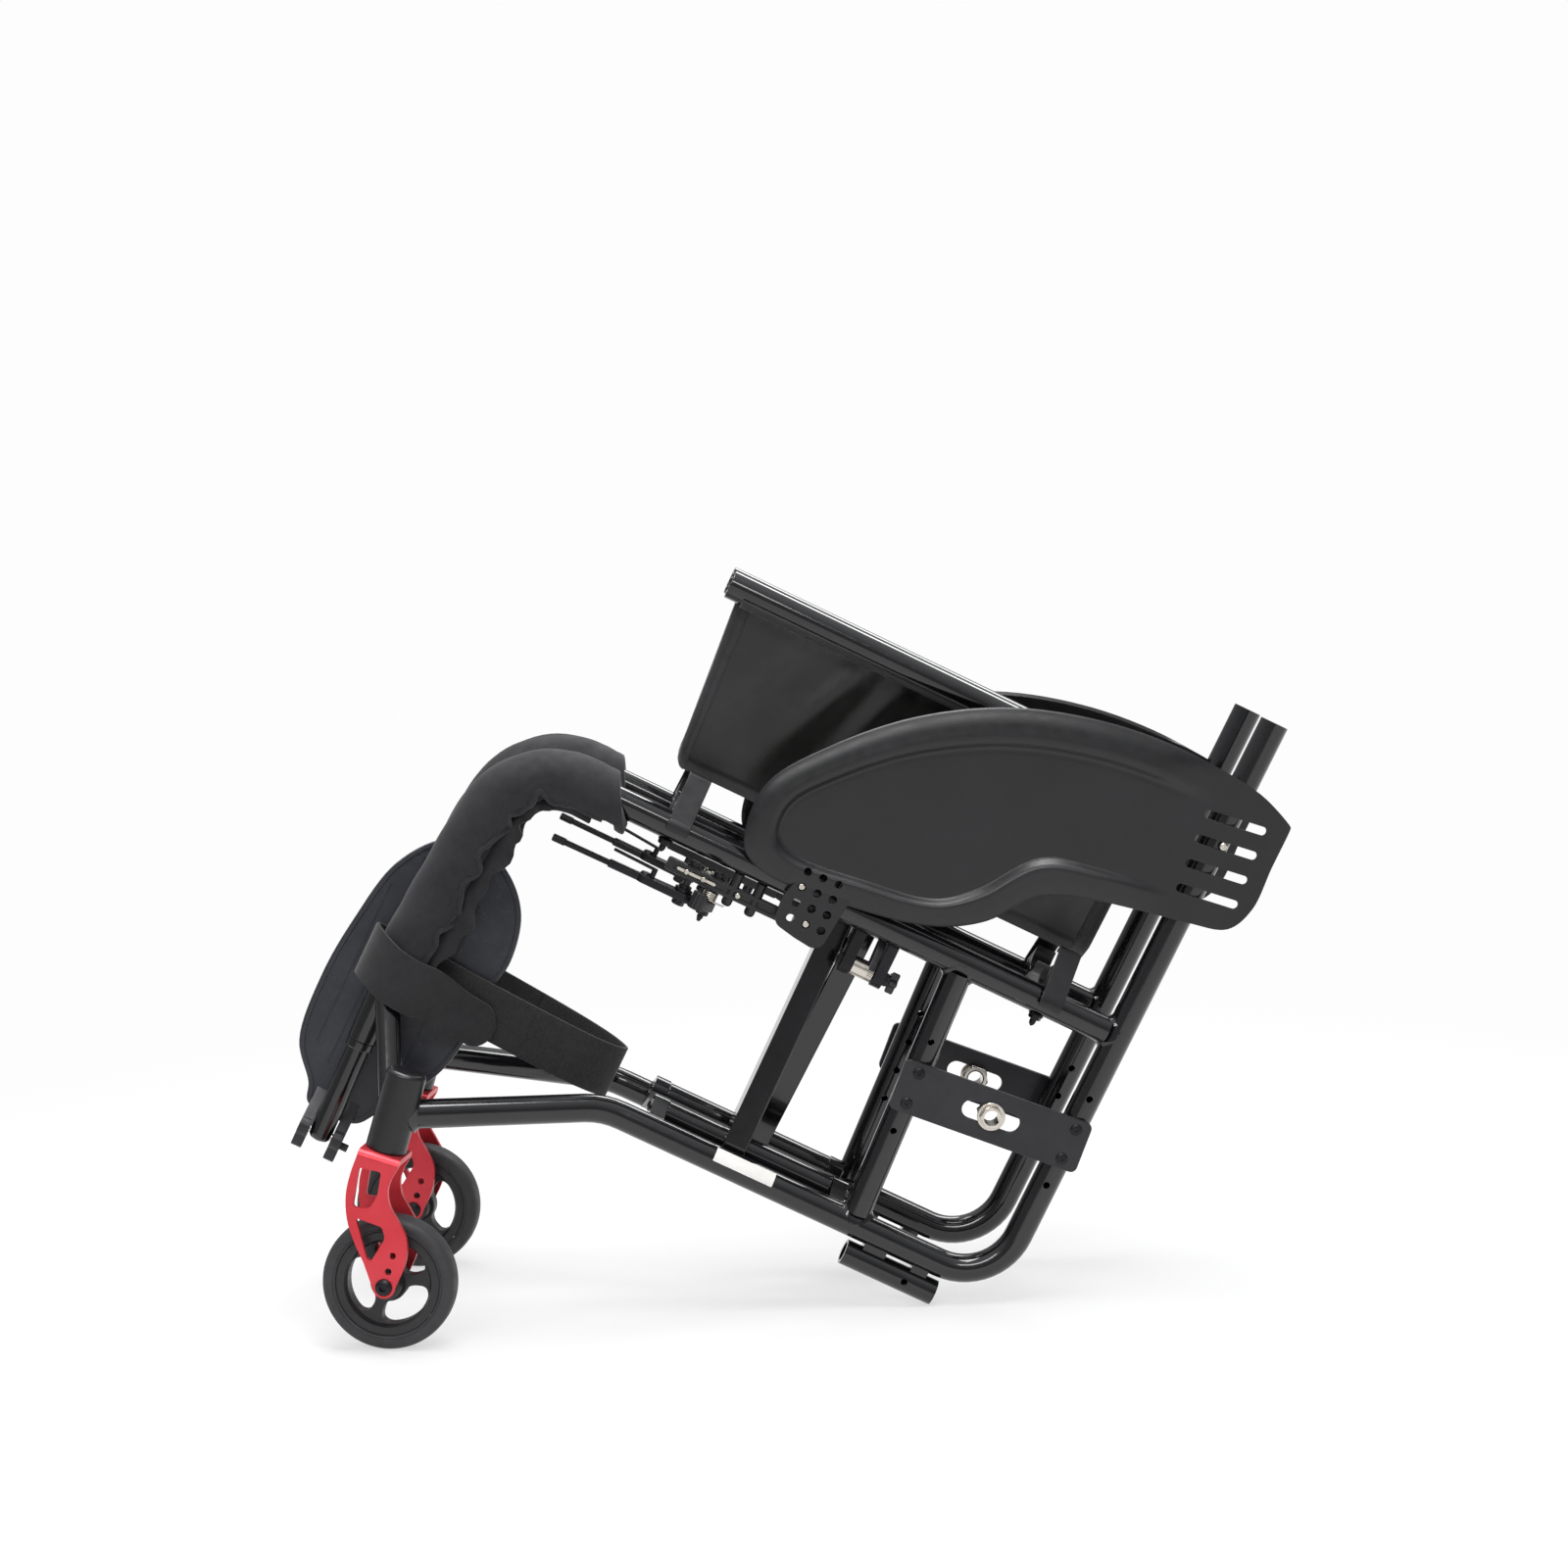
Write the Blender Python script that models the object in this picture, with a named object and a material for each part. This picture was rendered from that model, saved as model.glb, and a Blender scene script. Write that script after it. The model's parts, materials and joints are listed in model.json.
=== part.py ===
"""Folding wheelchair frame, folded flat and resting on its castors and anti-tip receivers.

The pieces are drawn in chassis coordinates: u runs rearwards along the lower tubes, w is the
distance from the centre plane, n is square to the tubes. Left pieces lie at y = -w, right ones
at y = +w. The chassis empty then tips the whole frame until it rests as it does on the floor.
"""

import math

import bmesh
import bpy
import numpy as np
from mathutils import Matrix, Quaternion, Vector

# Sides of the chair, as the sign of y
SIDES = {"left": -1, "right": 1}

# Clearances
GAP = 0.0003
RUNNING_GAP = 0.0005

# Facets
TUBE_SIDES = 12
ROUND_SIDES = 16
WHEEL_SIDES = 32
CUTTER_SIDES = 24
BEND_STEP = math.radians(22)

# Frame tubes
TUBE_D = 0.0222
TUBE_WALL = 0.0020
SIDE_W = 0.0550
FRAME_H = 0.2205
POST_TOP = 0.4900
POST_BORE_DEPTH = 0.0450
CORNER_R = 0.0460
BASE_BEND_U = -0.3350
BASE_BEND_R = 0.0600
KNEE_U = -0.5100
KNEE_R = 0.0600
FRONT_LEAN = math.radians(4.4)
ANKLE_N = 0.0100
ANKLE_R = 0.1200
FRONT_TUBE_END_N = -0.0310

# Axle post and its plate
AXLE_POST_FOOT_U = -0.1215
AXLE_POST_LEAN = math.radians(3.2)
HOLE_D = 0.0052
HOLE_PITCH = 0.0250
HOLE_COUNT = 4
FRONT_HOLE_N = 0.0810
REAR_HOLE_N = 0.0930
PLATE_LENGTH = 0.1540
PLATE_HEIGHT = 0.0410
PLATE_T = 0.0050
PLATE_CORNER_R = 0.0050
SLOT_LENGTH = 0.0470
SLOT_HEIGHT = 0.0150
SLEEVE_FLANGE_D = 0.0220
SLEEVE_FLANGE_T = 0.0068
SLEEVE_BORE_D = 0.0120
SLEEVE_NUT_T = 0.0070

# Castor housing, along a stem that leans forward at the top
CASTOR_W = 0.1090
STEM_FOOT_U = -0.4730
STEM_FOOT_N = -0.0862
STEM_LEAN = math.radians(9.6)
HOUSING_D = 0.0310
HOUSING_H = 0.0625
HOUSING_CHAMFER = 0.0022
STEM_D = 0.0100
STEM_H = 0.0480
BASE_JOIN_H = 0.0270
STRUT_D = 0.0190
STRUT_TOP_N = 0.0160
STRUT_FOOT_H = 0.0160

# Castor fork, wheel and tyre
SWIVEL = math.radians(8)
FORK_INNER_W = 0.0350
FORK_LEG_T = 0.0042
FORK_CROWN_T = 0.0050
FORK_BEND_R = 0.0060
AXLE_X = 0.0305
AXLE_Z = -0.0962
AXLE_D = 0.0080
AXLE_HEAD_D = 0.0130
AXLE_HEAD_T = 0.0035
FORK_HOLE_D = 0.0052
FORK_HOLE_PITCH = 0.0126
TYRE_D = 0.1020
TYRE_W = 0.0240
TYRE_DEPTH = 0.0115
RIM_W = 0.0200
RIM_DEPTH = 0.0065
HUB_D = 0.0220
HUB_W = 0.0330
WEB_T = 0.0100
OPENINGS = 3
OPENING_TURN = math.radians(67)
OPENING_HALF_ANGLE = math.radians(38)
OPENING_R = 0.0062

# Footplate and the hanger that carries it
HANGER_D = 0.0176
HANGER_LEAN = math.radians(1.5)
HANGER_INSERT = 0.0300
HANGER_END_N = -0.1170
HINGE_N = -0.1110
PLATE_LEAN = math.radians(7.5)
FOOT_T = 0.0040
FOOT_OFFSET = 0.0150
FOOT_PIN_D = 0.0060
LUG_T = 0.0085
LUG_R = 0.0080
GROOVE_W = 0.0018
GROOVE_DEPTH = 0.0010

# Cross-brace: two bars that turn on each other and on the lower tubes
BRACE_HALF = 0.19895
FOLDED_ANGLE = math.radians(8.97)
PIVOT_W = 0.0310
PIVOT_N = 0.0120
BAR_U = -0.2180
BAR_T = 0.0190
BAR_GAP = 0.0020
BAR_WIDTH = 0.0270
BAR_END_BACK = 0.0060
PIVOT_TUBE_D = 0.0190
PIVOT_TUBE_FRONT_U = -0.2880
PIVOT_TUBE_REAR_U = -0.1470
STUB_D = 0.0100
STUB_LENGTH = 0.0150
BRACKET_T = 0.0124
BRACKET_WALL = 0.0036
BOLT_D = 0.0080
BOLT_HEAD_D = 0.0150
BOLT_HEAD_T = 0.0050

# Seat rails, the saddles that they drop into, and the links that guide them
RAIL_FRONT_U = -0.4200
RAIL_REAR_U = -0.0380
SADDLE_RISE = 0.0225
SADDLE_WALL = 0.0038
SADDLE_LENGTH = 0.0260
SADDLE_US = {"front_saddle": -0.3770, "rear_saddle": -0.0610}
SADDLE_OUTER_HORN = 0.0190
SADDLE_INNER_HORN = 0.0050
LINK_W = 0.0460
LINK_DROP = 0.0385
LINK_T = 0.0060
LINK_REACH = 0.2750
LINK_WIDTH = 0.0150
LINK_HUB_D = 0.0150
LINK_HUB_LENGTH = 0.0180
LINK_PIN_D = 0.0070
EAR_T = 0.0085
EAR_WIDTH = 0.0180

# Side guard: a moulded sheet with a recessed panel and a drilled tab that is screwed to the frame
GUARD_T = 0.0030
GUARD_STEP = 0.0050
GUARD_ROLL = 0.0045
GUARD_POINTS = 38
TAB_T = 0.0084
GUARD_OUTLINE = (
    (-0.3310, 0.0295), (-0.3290, 0.0645), (-0.3000, 0.1065), (-0.2500, 0.1555), (-0.1870, 0.1935),
    (-0.1100, 0.2155), (-0.0300, 0.2205), (0.0150, 0.2155), (0.0380, 0.2055), (0.0430, 0.1795),
    (0.0460, 0.1335), (0.0360, 0.1125), (0.0050, 0.1035), (-0.0690, 0.0895), (-0.1080, 0.0735),
    (-0.1350, 0.0395), (-0.1700, 0.0185), (-0.2310, 0.0055), (-0.3000, 0.0005), (-0.3220, 0.0085),
)
PANEL_OUTLINE = (
    (-0.3090, 0.0355), (-0.3080, 0.0575), (-0.2840, 0.0895), (-0.2370, 0.1325), (-0.1760, 0.1675),
    (-0.1040, 0.1885), (-0.0310, 0.1945), (0.0120, 0.1925), (0.0250, 0.1875), (0.0300, 0.1755),
    (0.0330, 0.1365), (0.0260, 0.1255), (0.0000, 0.1195), (-0.0740, 0.1110), (-0.1170, 0.0985),
    (-0.1500, 0.0565), (-0.1770, 0.0355), (-0.2350, 0.0250), (-0.2850, 0.0200), (-0.3020, 0.0250),
)
GUARD_FADE_FRONT_U = -0.0700
GUARD_FADE_REAR_U = -0.0200
SLOT_ROWS = 4
GUARD_SLOT_LENGTH = 0.0500
GUARD_SLOT_W = 0.0068
GUARD_SLOT_TOP = (0.0045, 0.1885)
GUARD_SLOT_STEP = (0.0019, -0.0200)
GUARD_SLOT_TURN = math.radians(8)
TAB_HOLE_D = 0.0064
TAB_HOLE_U = -0.2705
TAB_HOLE_DROP = 0.0230
TAB_HOLE_STEP = 0.0127
TAB_HOLE_RISE = 0.0006
TAB_HOLE_LEAN = 0.0012
TAB_TOP = 0.0165

# Brake: a rail under the seat tube, a lever and a shoe with a roller
BRAKE_RAIL_FRONT_U = -0.3730
BRAKE_RAIL_REAR_U = -0.2760
BRAKE_RAIL_DROP = 0.0215
BRAKE_RAIL_H = 0.0100
BRAKE_RAIL_T = 0.0090
BRAKE_BOSS_US = (-0.3185, -0.2992)
BRAKE_PIVOT_U = -0.3520
SHOE_PIVOT_U = -0.3320
BRAKE_PIN_D = 0.0060
LEVER_T = 0.0075
LEVER_ARM = 0.0370
LEVER_OUT = math.radians(3)
LEVER_LENGTH = 0.1080
SHOE_T = 0.0075
SHOE_ARM = 0.0210
SHOE_TURN = math.radians(112)
ROLLER_D = 0.0120

# Anti-tip receiver under the rear of the lower tube
RECEIVER_D = 0.0200
RECEIVER_BORE_D = 0.0150
RECEIVER_FRONT_U = -0.1180
RECEIVER_REAR_U = -0.0400
RECEIVER_DROP = 0.0125
RECEIVER_WEB_W = 0.0120
RECEIVER_SLOT = (-0.0860, -0.0660)

# Soft pieces
SLEEVE_D = 0.0440
SLEEVE_END_D = 0.0400
SLEEVE_FROM_U = -0.4240
SLEEVE_TO_N = 0.0340
SLING_T = 0.0024
SLING_RISE = 0.0030
SLING_DEPTH = 0.1500
SLING_LIFT = 0.0740
SLING_FRONT_U = -0.4100
SLING_REAR_U = -0.0420
SLING_TOP_HALF = 0.0195
SLING_BOTTOM_HALF = 0.0046
SLING_FOLD = 0.0016
STRAP_T = 0.0030
STRAP_H = 0.0420
CUFF_LEAN = math.radians(12)
STRAP_CUFF_N = 0.0300
STRAP_LOW_N = 0.0180
STRAP_REAR_U = -0.3350
CUFF_HALF_U = 0.0300
CUFF_HALF_W = 0.0272


def clear_scene():
    """Empty the scene."""
    for obj in list(bpy.data.objects):
        bpy.data.objects.remove(obj)


def srgb(code):
    """Linear colour of a hex code."""
    parts = [int(code[i:i + 2], 16) / 255 for i in (1, 3, 5)]
    return [c / 12.92 if c <= 0.04045 else ((c + 0.055) / 1.055) ** 2.4 for c in parts] + [1]


def finish(name, code, roughness, metallic=0.0):
    """A Principled material."""
    material = bpy.data.materials.new(name)
    material.use_nodes = True
    shader = material.node_tree.nodes["Principled BSDF"]
    shader.inputs["Base Color"].default_value = srgb(code)
    shader.inputs["Roughness"].default_value = roughness
    shader.inputs["Metallic"].default_value = metallic
    material.diffuse_color = srgb(code)
    return material


clear_scene()
SCENE = bpy.context.scene
CHASSIS = bpy.data.objects.new("chassis", None)
SCENE.collection.objects.link(CHASSIS)

GLOSS_BLACK = finish("gloss_black_paint", "#0c0c0e", 0.16)
CHARCOAL = finish("satin_charcoal", "#2c2c2f", 0.48)
RED = finish("red_anodised", "#c9222d", 0.34, 0.6)
RUBBER = finish("tyre_rubber", "#313133", 0.75)
STEEL = finish("bright_steel", "#c8c5bf", 0.25, 1.0)
NEOPRENE = finish("neoprene", "#2b2b2f", 0.85)
SEAT_FABRIC = finish("seat_fabric", "#17171a", 0.6)
WEBBING = finish("webbing", "#151517", 0.8)
PLASTIC = finish("black_plastic", "#1d1d20", 0.5)


def rounded(angle, step=BEND_STEP):
    """How many steps a turn of this angle takes."""
    return max(2, math.ceil(abs(angle) / step))


def bend_path(corners, radii, step=BEND_STEP):
    """Points along straight runs that are joined by round bends."""
    points = [corners[0]]
    for before, corner, after, radius in zip(corners, corners[1:], corners[2:], radii):
        back = (before - corner).normalized()
        ahead = (after - corner).normalized()
        turn = math.pi - back.angle(ahead)
        start = corner + back * radius * math.tan(turn / 2)
        centre = corner + (back + ahead).normalized() * radius / math.cos(turn / 2)
        spoke = start - centre
        axis = ahead.cross(back)
        steps = rounded(turn, step)
        for i in range(steps + 1):
            points.append(centre + Quaternion(-axis, -turn * i / steps) @ spoke)
    points.append(corners[-1])
    return points


def sweep(points, radii, sides=TUBE_SIDES):
    """A solid round bar along the points, with a radius for each point or one for all."""
    if not isinstance(radii, (list, tuple)):
        radii = [radii] * len(points)
    bm = bmesh.new()
    rings = []
    across = Vector((0, 1, 0))
    for i, (point, radius) in enumerate(zip(points, radii)):
        ahead = points[min(i + 1, len(points) - 1)] - point
        behind = point - points[max(i - 1, 0)]
        along = (ahead.normalized() + behind.normalized()).normalized()
        if abs(along.dot(across)) > 0.95:
            across = Vector((1, 0, 0))
        across = (across - along * across.dot(along)).normalized()
        other = along.cross(across)
        half_turn = ahead.angle(behind) / 2 if ahead.length * behind.length > 0 else 0
        mitre = (ahead.normalized() - behind.normalized())
        mitre = mitre.normalized() if mitre.length > 1e-6 else Vector()
        ring = []
        for k in range(sides):
            turn = 2 * math.pi * k / sides
            arm = (across * math.cos(turn) + other * math.sin(turn)) * radius
            arm += mitre * arm.dot(mitre) * (1 / math.cos(half_turn) - 1)
            ring.append(bm.verts.new(point + arm))
        rings.append(ring)
    for near, far in zip(rings, rings[1:]):
        for k in range(sides):
            bm.faces.new((near[k], near[(k + 1) % sides], far[(k + 1) % sides], far[k]))
    bm.faces.new(rings[0])
    bm.faces.new(rings[-1])
    return bm


def rod(start, end, radius, sides=TUBE_SIDES):
    """A straight round bar."""
    return sweep([Vector(start), Vector(end)], radius, sides)


def turned(profile, place, sides=ROUND_SIDES, ring=False):
    """A lathe-turned solid about the z axis of place: (radius, height) pairs from end to end.

    A ring has a closed profile that stays off the axis.
    """
    bm = bmesh.new()
    rows = []
    for radius, height in profile:
        if radius == 0:
            rows.append([bm.verts.new((0, 0, height))] * sides)
            continue
        turns = [2 * math.pi * k / sides for k in range(sides)]
        rows.append([bm.verts.new((radius * math.cos(t), radius * math.sin(t), height)) for t in turns])
    pairs = list(zip(rows, rows[1:]))
    if ring:
        pairs.append((rows[-1], rows[0]))
    for near, far in pairs:
        for k in range(sides):
            corners = [near[k], near[(k + 1) % sides], far[(k + 1) % sides], far[k]]
            corners = list(dict.fromkeys(corners))
            if len(corners) > 2:
                bm.faces.new(corners)
    if not ring:
        for row in (rows[0], rows[-1]):
            if row[0] is not row[1]:
                bm.faces.new(row)
    bm.transform(place)
    return bm


def slab(outline, depth, place=Matrix()):
    """An outline in the xy plane of place, drawn out along its z by depth."""
    bm = bmesh.new()
    low = [bm.verts.new((x, y, 0)) for x, y in outline]
    high = [bm.verts.new((x, y, depth)) for x, y in outline]
    count = len(outline)
    for k in range(count):
        bm.faces.new((low[k], low[(k + 1) % count], high[(k + 1) % count], high[k]))
    bm.faces.new(low)
    bm.faces.new(high)
    bm.transform(place)
    return bm


def block(low, high):
    """A box between two corners."""
    bm = bmesh.new()
    bmesh.ops.create_cube(bm, size=1)
    size = Vector(high) - Vector(low)
    bm.transform(Matrix.Translation((Vector(low) + Vector(high)) / 2) @ Matrix.Diagonal((*size, 1)))
    return bm


def gathered(*parts):
    """Separate solids as one mesh."""
    bm = bmesh.new()
    for part in parts:
        mesh = bpy.data.meshes.new("part")
        part.to_mesh(mesh)
        part.free()
        bm.from_mesh(mesh)
        bpy.data.meshes.remove(mesh)
    return bm


def arc(centre, radius, start, end, steps):
    """Points on an arc in a plane, with angles in radians."""
    turns = [start + (end - start) * i / steps for i in range(steps + 1)]
    return [(centre[0] + radius * math.cos(t), centre[1] + radius * math.sin(t)) for t in turns]


def capsule(start, end, start_radius, end_radius=None, steps=5):
    """Outline of two round ends joined by straight edges."""
    end_radius = start_radius if end_radius is None else end_radius
    run = Vector(end) - Vector(start)
    heading = math.atan2(run.y, run.x)
    tilt = math.asin((start_radius - end_radius) / run.length)
    quarter = math.pi / 2
    near = arc(start, start_radius, heading + quarter - tilt, heading + 3 * quarter + tilt, steps)
    far = arc(end, end_radius, heading - quarter + tilt, heading + quarter - tilt, steps)
    return near + far


def rounded_rectangle(length, height, radius, steps=3):
    """Outline of a rectangle with round corners, centred on the origin."""
    x, y = length / 2 - radius, height / 2 - radius
    quarter = math.pi / 2
    points = []
    for k, (cx, cy) in enumerate(((x, y), (-x, y), (-x, -y), (x, -y))):
        points += arc((cx, cy), radius, k * quarter, (k + 1) * quarter, steps)
    return points


def smooth_loop(controls, count):
    """Evenly numbered points on the closed smooth curve through the controls."""
    points = []
    total = len(controls)
    for k in range(count):
        place = k * total / count
        i = int(place)
        t = place - i
        p = [Vector(controls[(i + j) % total]) for j in (-1, 0, 1, 2)]
        point = 2 * p[1] + (p[2] - p[0]) * t
        point += (2 * p[0] - 5 * p[1] + 4 * p[2] - p[3]) * t * t
        point += (3 * p[1] - p[0] - 3 * p[2] + p[3]) * t ** 3
        points.append(point / 2)
    return points


def smooth_step(value, start, end):
    """0 before start, 1 after end, and an even slope between them."""
    t = min(max((value - start) / (end - start), 0), 1)
    return t * t * (3 - 2 * t)


def along_u(u, w=0.0, n=0.0):
    """Matrix of a plane square to u: x is w, y is n and z runs rearwards."""
    return Matrix(((0, 0, 1, u), (1, 0, 0, w), (0, 1, 0, n), (0, 0, 0, 1)))


def along_w(w, u=0.0, n=0.0):
    """Matrix of a side plane: x is u, y is n and z runs outwards."""
    return Matrix(((1, 0, 0, u), (0, 0, 1, w), (0, 1, 0, n), (0, 0, 0, 1)))


def along_n(n, u=0.0, w=0.0):
    """Matrix of a plane square to n."""
    return Matrix.Translation((u, w, n))


def place_object(name, bm, side, origin):
    """An object with its mesh mirrored to its side and its origin where asked."""
    flip = Matrix.Diagonal((1, side, 1, 1))
    bm.transform(flip @ Matrix.Translation(-Vector(origin)))
    bm.normal_update()
    bmesh.ops.recalc_face_normals(bm, faces=bm.faces)
    mesh = bpy.data.meshes.new(name)
    bm.to_mesh(mesh)
    bm.free()
    obj = bpy.data.objects.new(name, mesh)
    obj.location = flip @ Vector(origin)
    obj.parent = CHASSIS
    SCENE.collection.objects.link(obj)
    return obj


def piece(name, bm, look, side=1, origin=(0, 0, 0), joined=(), cut=(), rejoined=()):
    """A named solid: the mesh, then what joins it, what is cut from it, and what is set in the cuts."""
    obj = place_object(name, bm, side, origin)
    obj.data.materials.append(look)
    obj.data.shade_smooth()
    obj.data.set_sharp_from_angle(angle=math.radians(40))
    steps = [("UNION", part) for part in joined]
    steps += [("DIFFERENCE", part) for part in cut]
    steps += [("UNION", part) for part in rejoined]
    for number, (operation, part) in enumerate(steps):
        helper = place_object(f"{name}_helper_{number}", part, side, origin)
        helper.hide_render = True
        helper.display_type = "WIRE"
        modifier = obj.modifiers.new(f"{operation.lower()}_{number}", "BOOLEAN")
        modifier.operation = operation
        modifier.object = helper
        modifier.solver = "EXACT"
    return obj


def tube_radius():
    """Outer radius of the main frame tubes."""
    return TUBE_D / 2


def base_path():
    """Axis of the lower tube, from the castor housing round the rear corner and up the post."""
    return bend_path(
        [stem_point(BASE_JOIN_H), Vector((BASE_BEND_U, SIDE_W, 0)), Vector((0, SIDE_W, 0)),
         Vector((0, SIDE_W, POST_TOP))],
        [BASE_BEND_R, CORNER_R],
    )


def front_tube_point(n):
    """Point on the leaning front tube at this height."""
    return Vector((KNEE_U - (FRAME_H - n) * math.tan(FRONT_LEAN), SIDE_W, n))


def hanger_point(n):
    """Point on the hanger's axis at this height."""
    ankle = front_tube_point(ANKLE_N)
    return Vector((ankle.x + (ANKLE_N - n) * math.tan(HANGER_LEAN), SIDE_W, n))


def seat_path():
    """Axis of the seat tube, from the post over the knee and down to the hanger."""
    return bend_path(
        [Vector((0, SIDE_W, FRAME_H)), Vector((KNEE_U, SIDE_W, FRAME_H)), front_tube_point(ANKLE_N),
         hanger_point(FRONT_TUBE_END_N)],
        [KNEE_R, ANKLE_R],
    )


def stem_frame():
    """Matrix of the castor stem: x to the rear, z up the stem, origin at the housing's foot."""
    foot = Matrix.Translation((STEM_FOOT_U, CASTOR_W, STEM_FOOT_N))
    return foot @ Matrix.Rotation(-STEM_LEAN, 4, "Y")


def stem_point(height):
    """Point on the castor stem's axis."""
    return stem_frame() @ Vector((0, 0, height))


def side_holes(points, diameter, w_from, w_to, sides=10):
    """Cutters square to the side plane, at (u, n) points."""
    return gathered(*[rod((u, w_from, n), (u, w_to, n), diameter / 2, sides) for u, n in points])


def post_holes():
    """(u, n) of the holes in the rear post."""
    return [(0, REAR_HOLE_N + k * HOLE_PITCH) for k in range(HOLE_COUNT)]


def axle_post_u(n):
    """Place of the axle post's axis at this height."""
    return AXLE_POST_FOOT_U - n * math.tan(AXLE_POST_LEAN)


def axle_post_holes():
    """(u, n) of the holes in the axle post."""
    heights = [FRONT_HOLE_N + k * HOLE_PITCH for k in range(HOLE_COUNT)]
    return [(axle_post_u(n), n) for n in heights]


def make_frame_tubes(name, side):
    """Lower tube with the post, seat tube, axle post and front strut."""
    radius = tube_radius()
    bore = radius - TUBE_WALL
    housing_cut = rod(stem_point(-HOUSING_H), stem_point(2 * HOUSING_H), HOUSING_D / 2 + GAP, CUTTER_SIDES)
    post_bore = rod((0, SIDE_W, POST_TOP - POST_BORE_DEPTH), (0, SIDE_W, POST_TOP + radius), bore)
    through = (SIDE_W - TUBE_D, SIDE_W + TUBE_D)
    piece(f"{name}_base_tube", sweep(base_path(), radius), GLOSS_BLACK, side,
          cut=[housing_cut, post_bore, side_holes(post_holes(), HOLE_D, *through)])

    post_cut = rod((0, SIDE_W, 0), (0, SIDE_W, POST_TOP), radius + GAP, CUTTER_SIDES)
    socket = rod(hanger_point(ANKLE_N - GAP), hanger_point(FRONT_TUBE_END_N - radius), bore)
    piece(f"{name}_seat_tube", sweep(seat_path(), radius), GLOSS_BLACK, side, cut=[post_cut, socket])

    base_cut = rod((BASE_BEND_U, SIDE_W, 0), (radius, SIDE_W, 0), radius + GAP, CUTTER_SIDES)
    seat_cut = rod((KNEE_U, SIDE_W, FRAME_H), (radius, SIDE_W, FRAME_H), radius + GAP, CUTTER_SIDES)
    axle_axis = [Vector((axle_post_u(n), SIDE_W, n)) for n in (0, FRAME_H)]
    piece(f"{name}_axle_post", rod(*axle_axis, radius), GLOSS_BLACK, side,
          cut=[base_cut, seat_cut, side_holes(axle_post_holes(), HOLE_D, *through)])

    strut_top = front_tube_point(STRUT_TOP_N)
    front_cut = sweep(seat_path(), radius + GAP, CUTTER_SIDES)
    housing_cut = rod(stem_point(-HOUSING_H), stem_point(2 * HOUSING_H), HOUSING_D / 2 + GAP, CUTTER_SIDES)
    piece(f"{name}_front_strut", rod(strut_top, stem_point(STRUT_FOOT_H), STRUT_D / 2), GLOSS_BLACK, side,
          cut=[front_cut, housing_cut])


def make_castor_housing(name, side):
    """Turned housing with the bore that the fork's stem turns in."""
    radius = HOUSING_D / 2
    bore = STEM_D / 2 + RUNNING_GAP
    profile = [
        (bore, 0), (radius, 0), (radius, HOUSING_H - HOUSING_CHAMFER),
        (radius - HOUSING_CHAMFER, HOUSING_H), (0, HOUSING_H), (0, STEM_H + RUNNING_GAP),
        (bore, STEM_H + RUNNING_GAP),
    ]
    piece(f"{name}_castor_housing", turned(profile, stem_frame(), ring=True), GLOSS_BLACK, side)


def fork_leg_outline():
    """Side view of a fork leg in the stem frame."""
    foot = arc((AXLE_X, AXLE_Z), 0.0085, math.radians(-140), math.radians(0), 5)
    return (
        [(-0.0160, -0.0040), (-0.0158, -0.0370), (-0.0100, -0.0545), (0.0110, -0.0830)]
        + foot
        + [(0.0405, -0.0660), (0.0375, -0.0555), (0.0178, -0.0352), (0.0136, -0.0232), (0.0150, -0.0120),
           (0.0240, -0.0040)]
    )


def make_castor_fork(name, side):
    """A bent sheet fork: crown, two pierced legs and the stem."""
    turn = stem_frame() @ Matrix.Rotation(-side * SWIVEL, 4, "Z")
    outer = FORK_INNER_W / 2 + FORK_LEG_T
    legs = [slab(fork_leg_outline(), FORK_LEG_T, turn @ along_w(w)) for w in (-outer, FORK_INNER_W / 2)]
    top = -RUNNING_GAP
    bend = FORK_BEND_R
    crown_section = (
        [(-outer, -0.0120)] + arc((-outer + bend, top - bend), bend, math.pi, math.pi / 2, 3)
        + arc((outer - bend, top - bend), bend, math.pi / 2, 0, 3) + [(outer, -0.0120)]
        + [(outer - FORK_LEG_T, -0.0120), (outer - FORK_LEG_T, top - FORK_CROWN_T),
           (-outer + FORK_LEG_T, top - FORK_CROWN_T), (-outer + FORK_LEG_T, -0.0120)]
    )
    crown = slab(crown_section, 0.0400, turn @ along_u(-0.0160))
    stem = rod((0, 0, top - FORK_CROWN_T / 2), (0, 0, STEM_H), STEM_D / 2)
    stem.transform(turn)
    upper = [(-0.0108, -0.0150), (0.0070, -0.0125), (0.0090, -0.0320), (-0.0100, -0.0380)]
    lower = [(-0.0035, -0.0465), (0.0185, -0.0505), (0.0160, -0.0760)]
    reach = 4 * outer
    windows = gathered(*[slab(shape, reach, turn @ along_w(-reach / 2)) for shape in (upper, lower)])
    heights = [AXLE_Z + FORK_HOLE_PITCH * k for k in range(3)]
    holes = [rod((AXLE_X, -outer * 2, heights[0]), (AXLE_X, outer * 2, heights[0]), AXLE_D / 2 + GAP)]
    holes += [rod((AXLE_X, -outer * 2, z), (AXLE_X, outer * 2, z), FORK_HOLE_D / 2, 8) for z in heights[1:]]
    holes = gathered(*holes)
    holes.transform(turn)
    piece(f"{name}_castor_fork", crown, RED, side, stem_point(0), joined=[*legs, stem],
          cut=[windows, holes])


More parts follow.
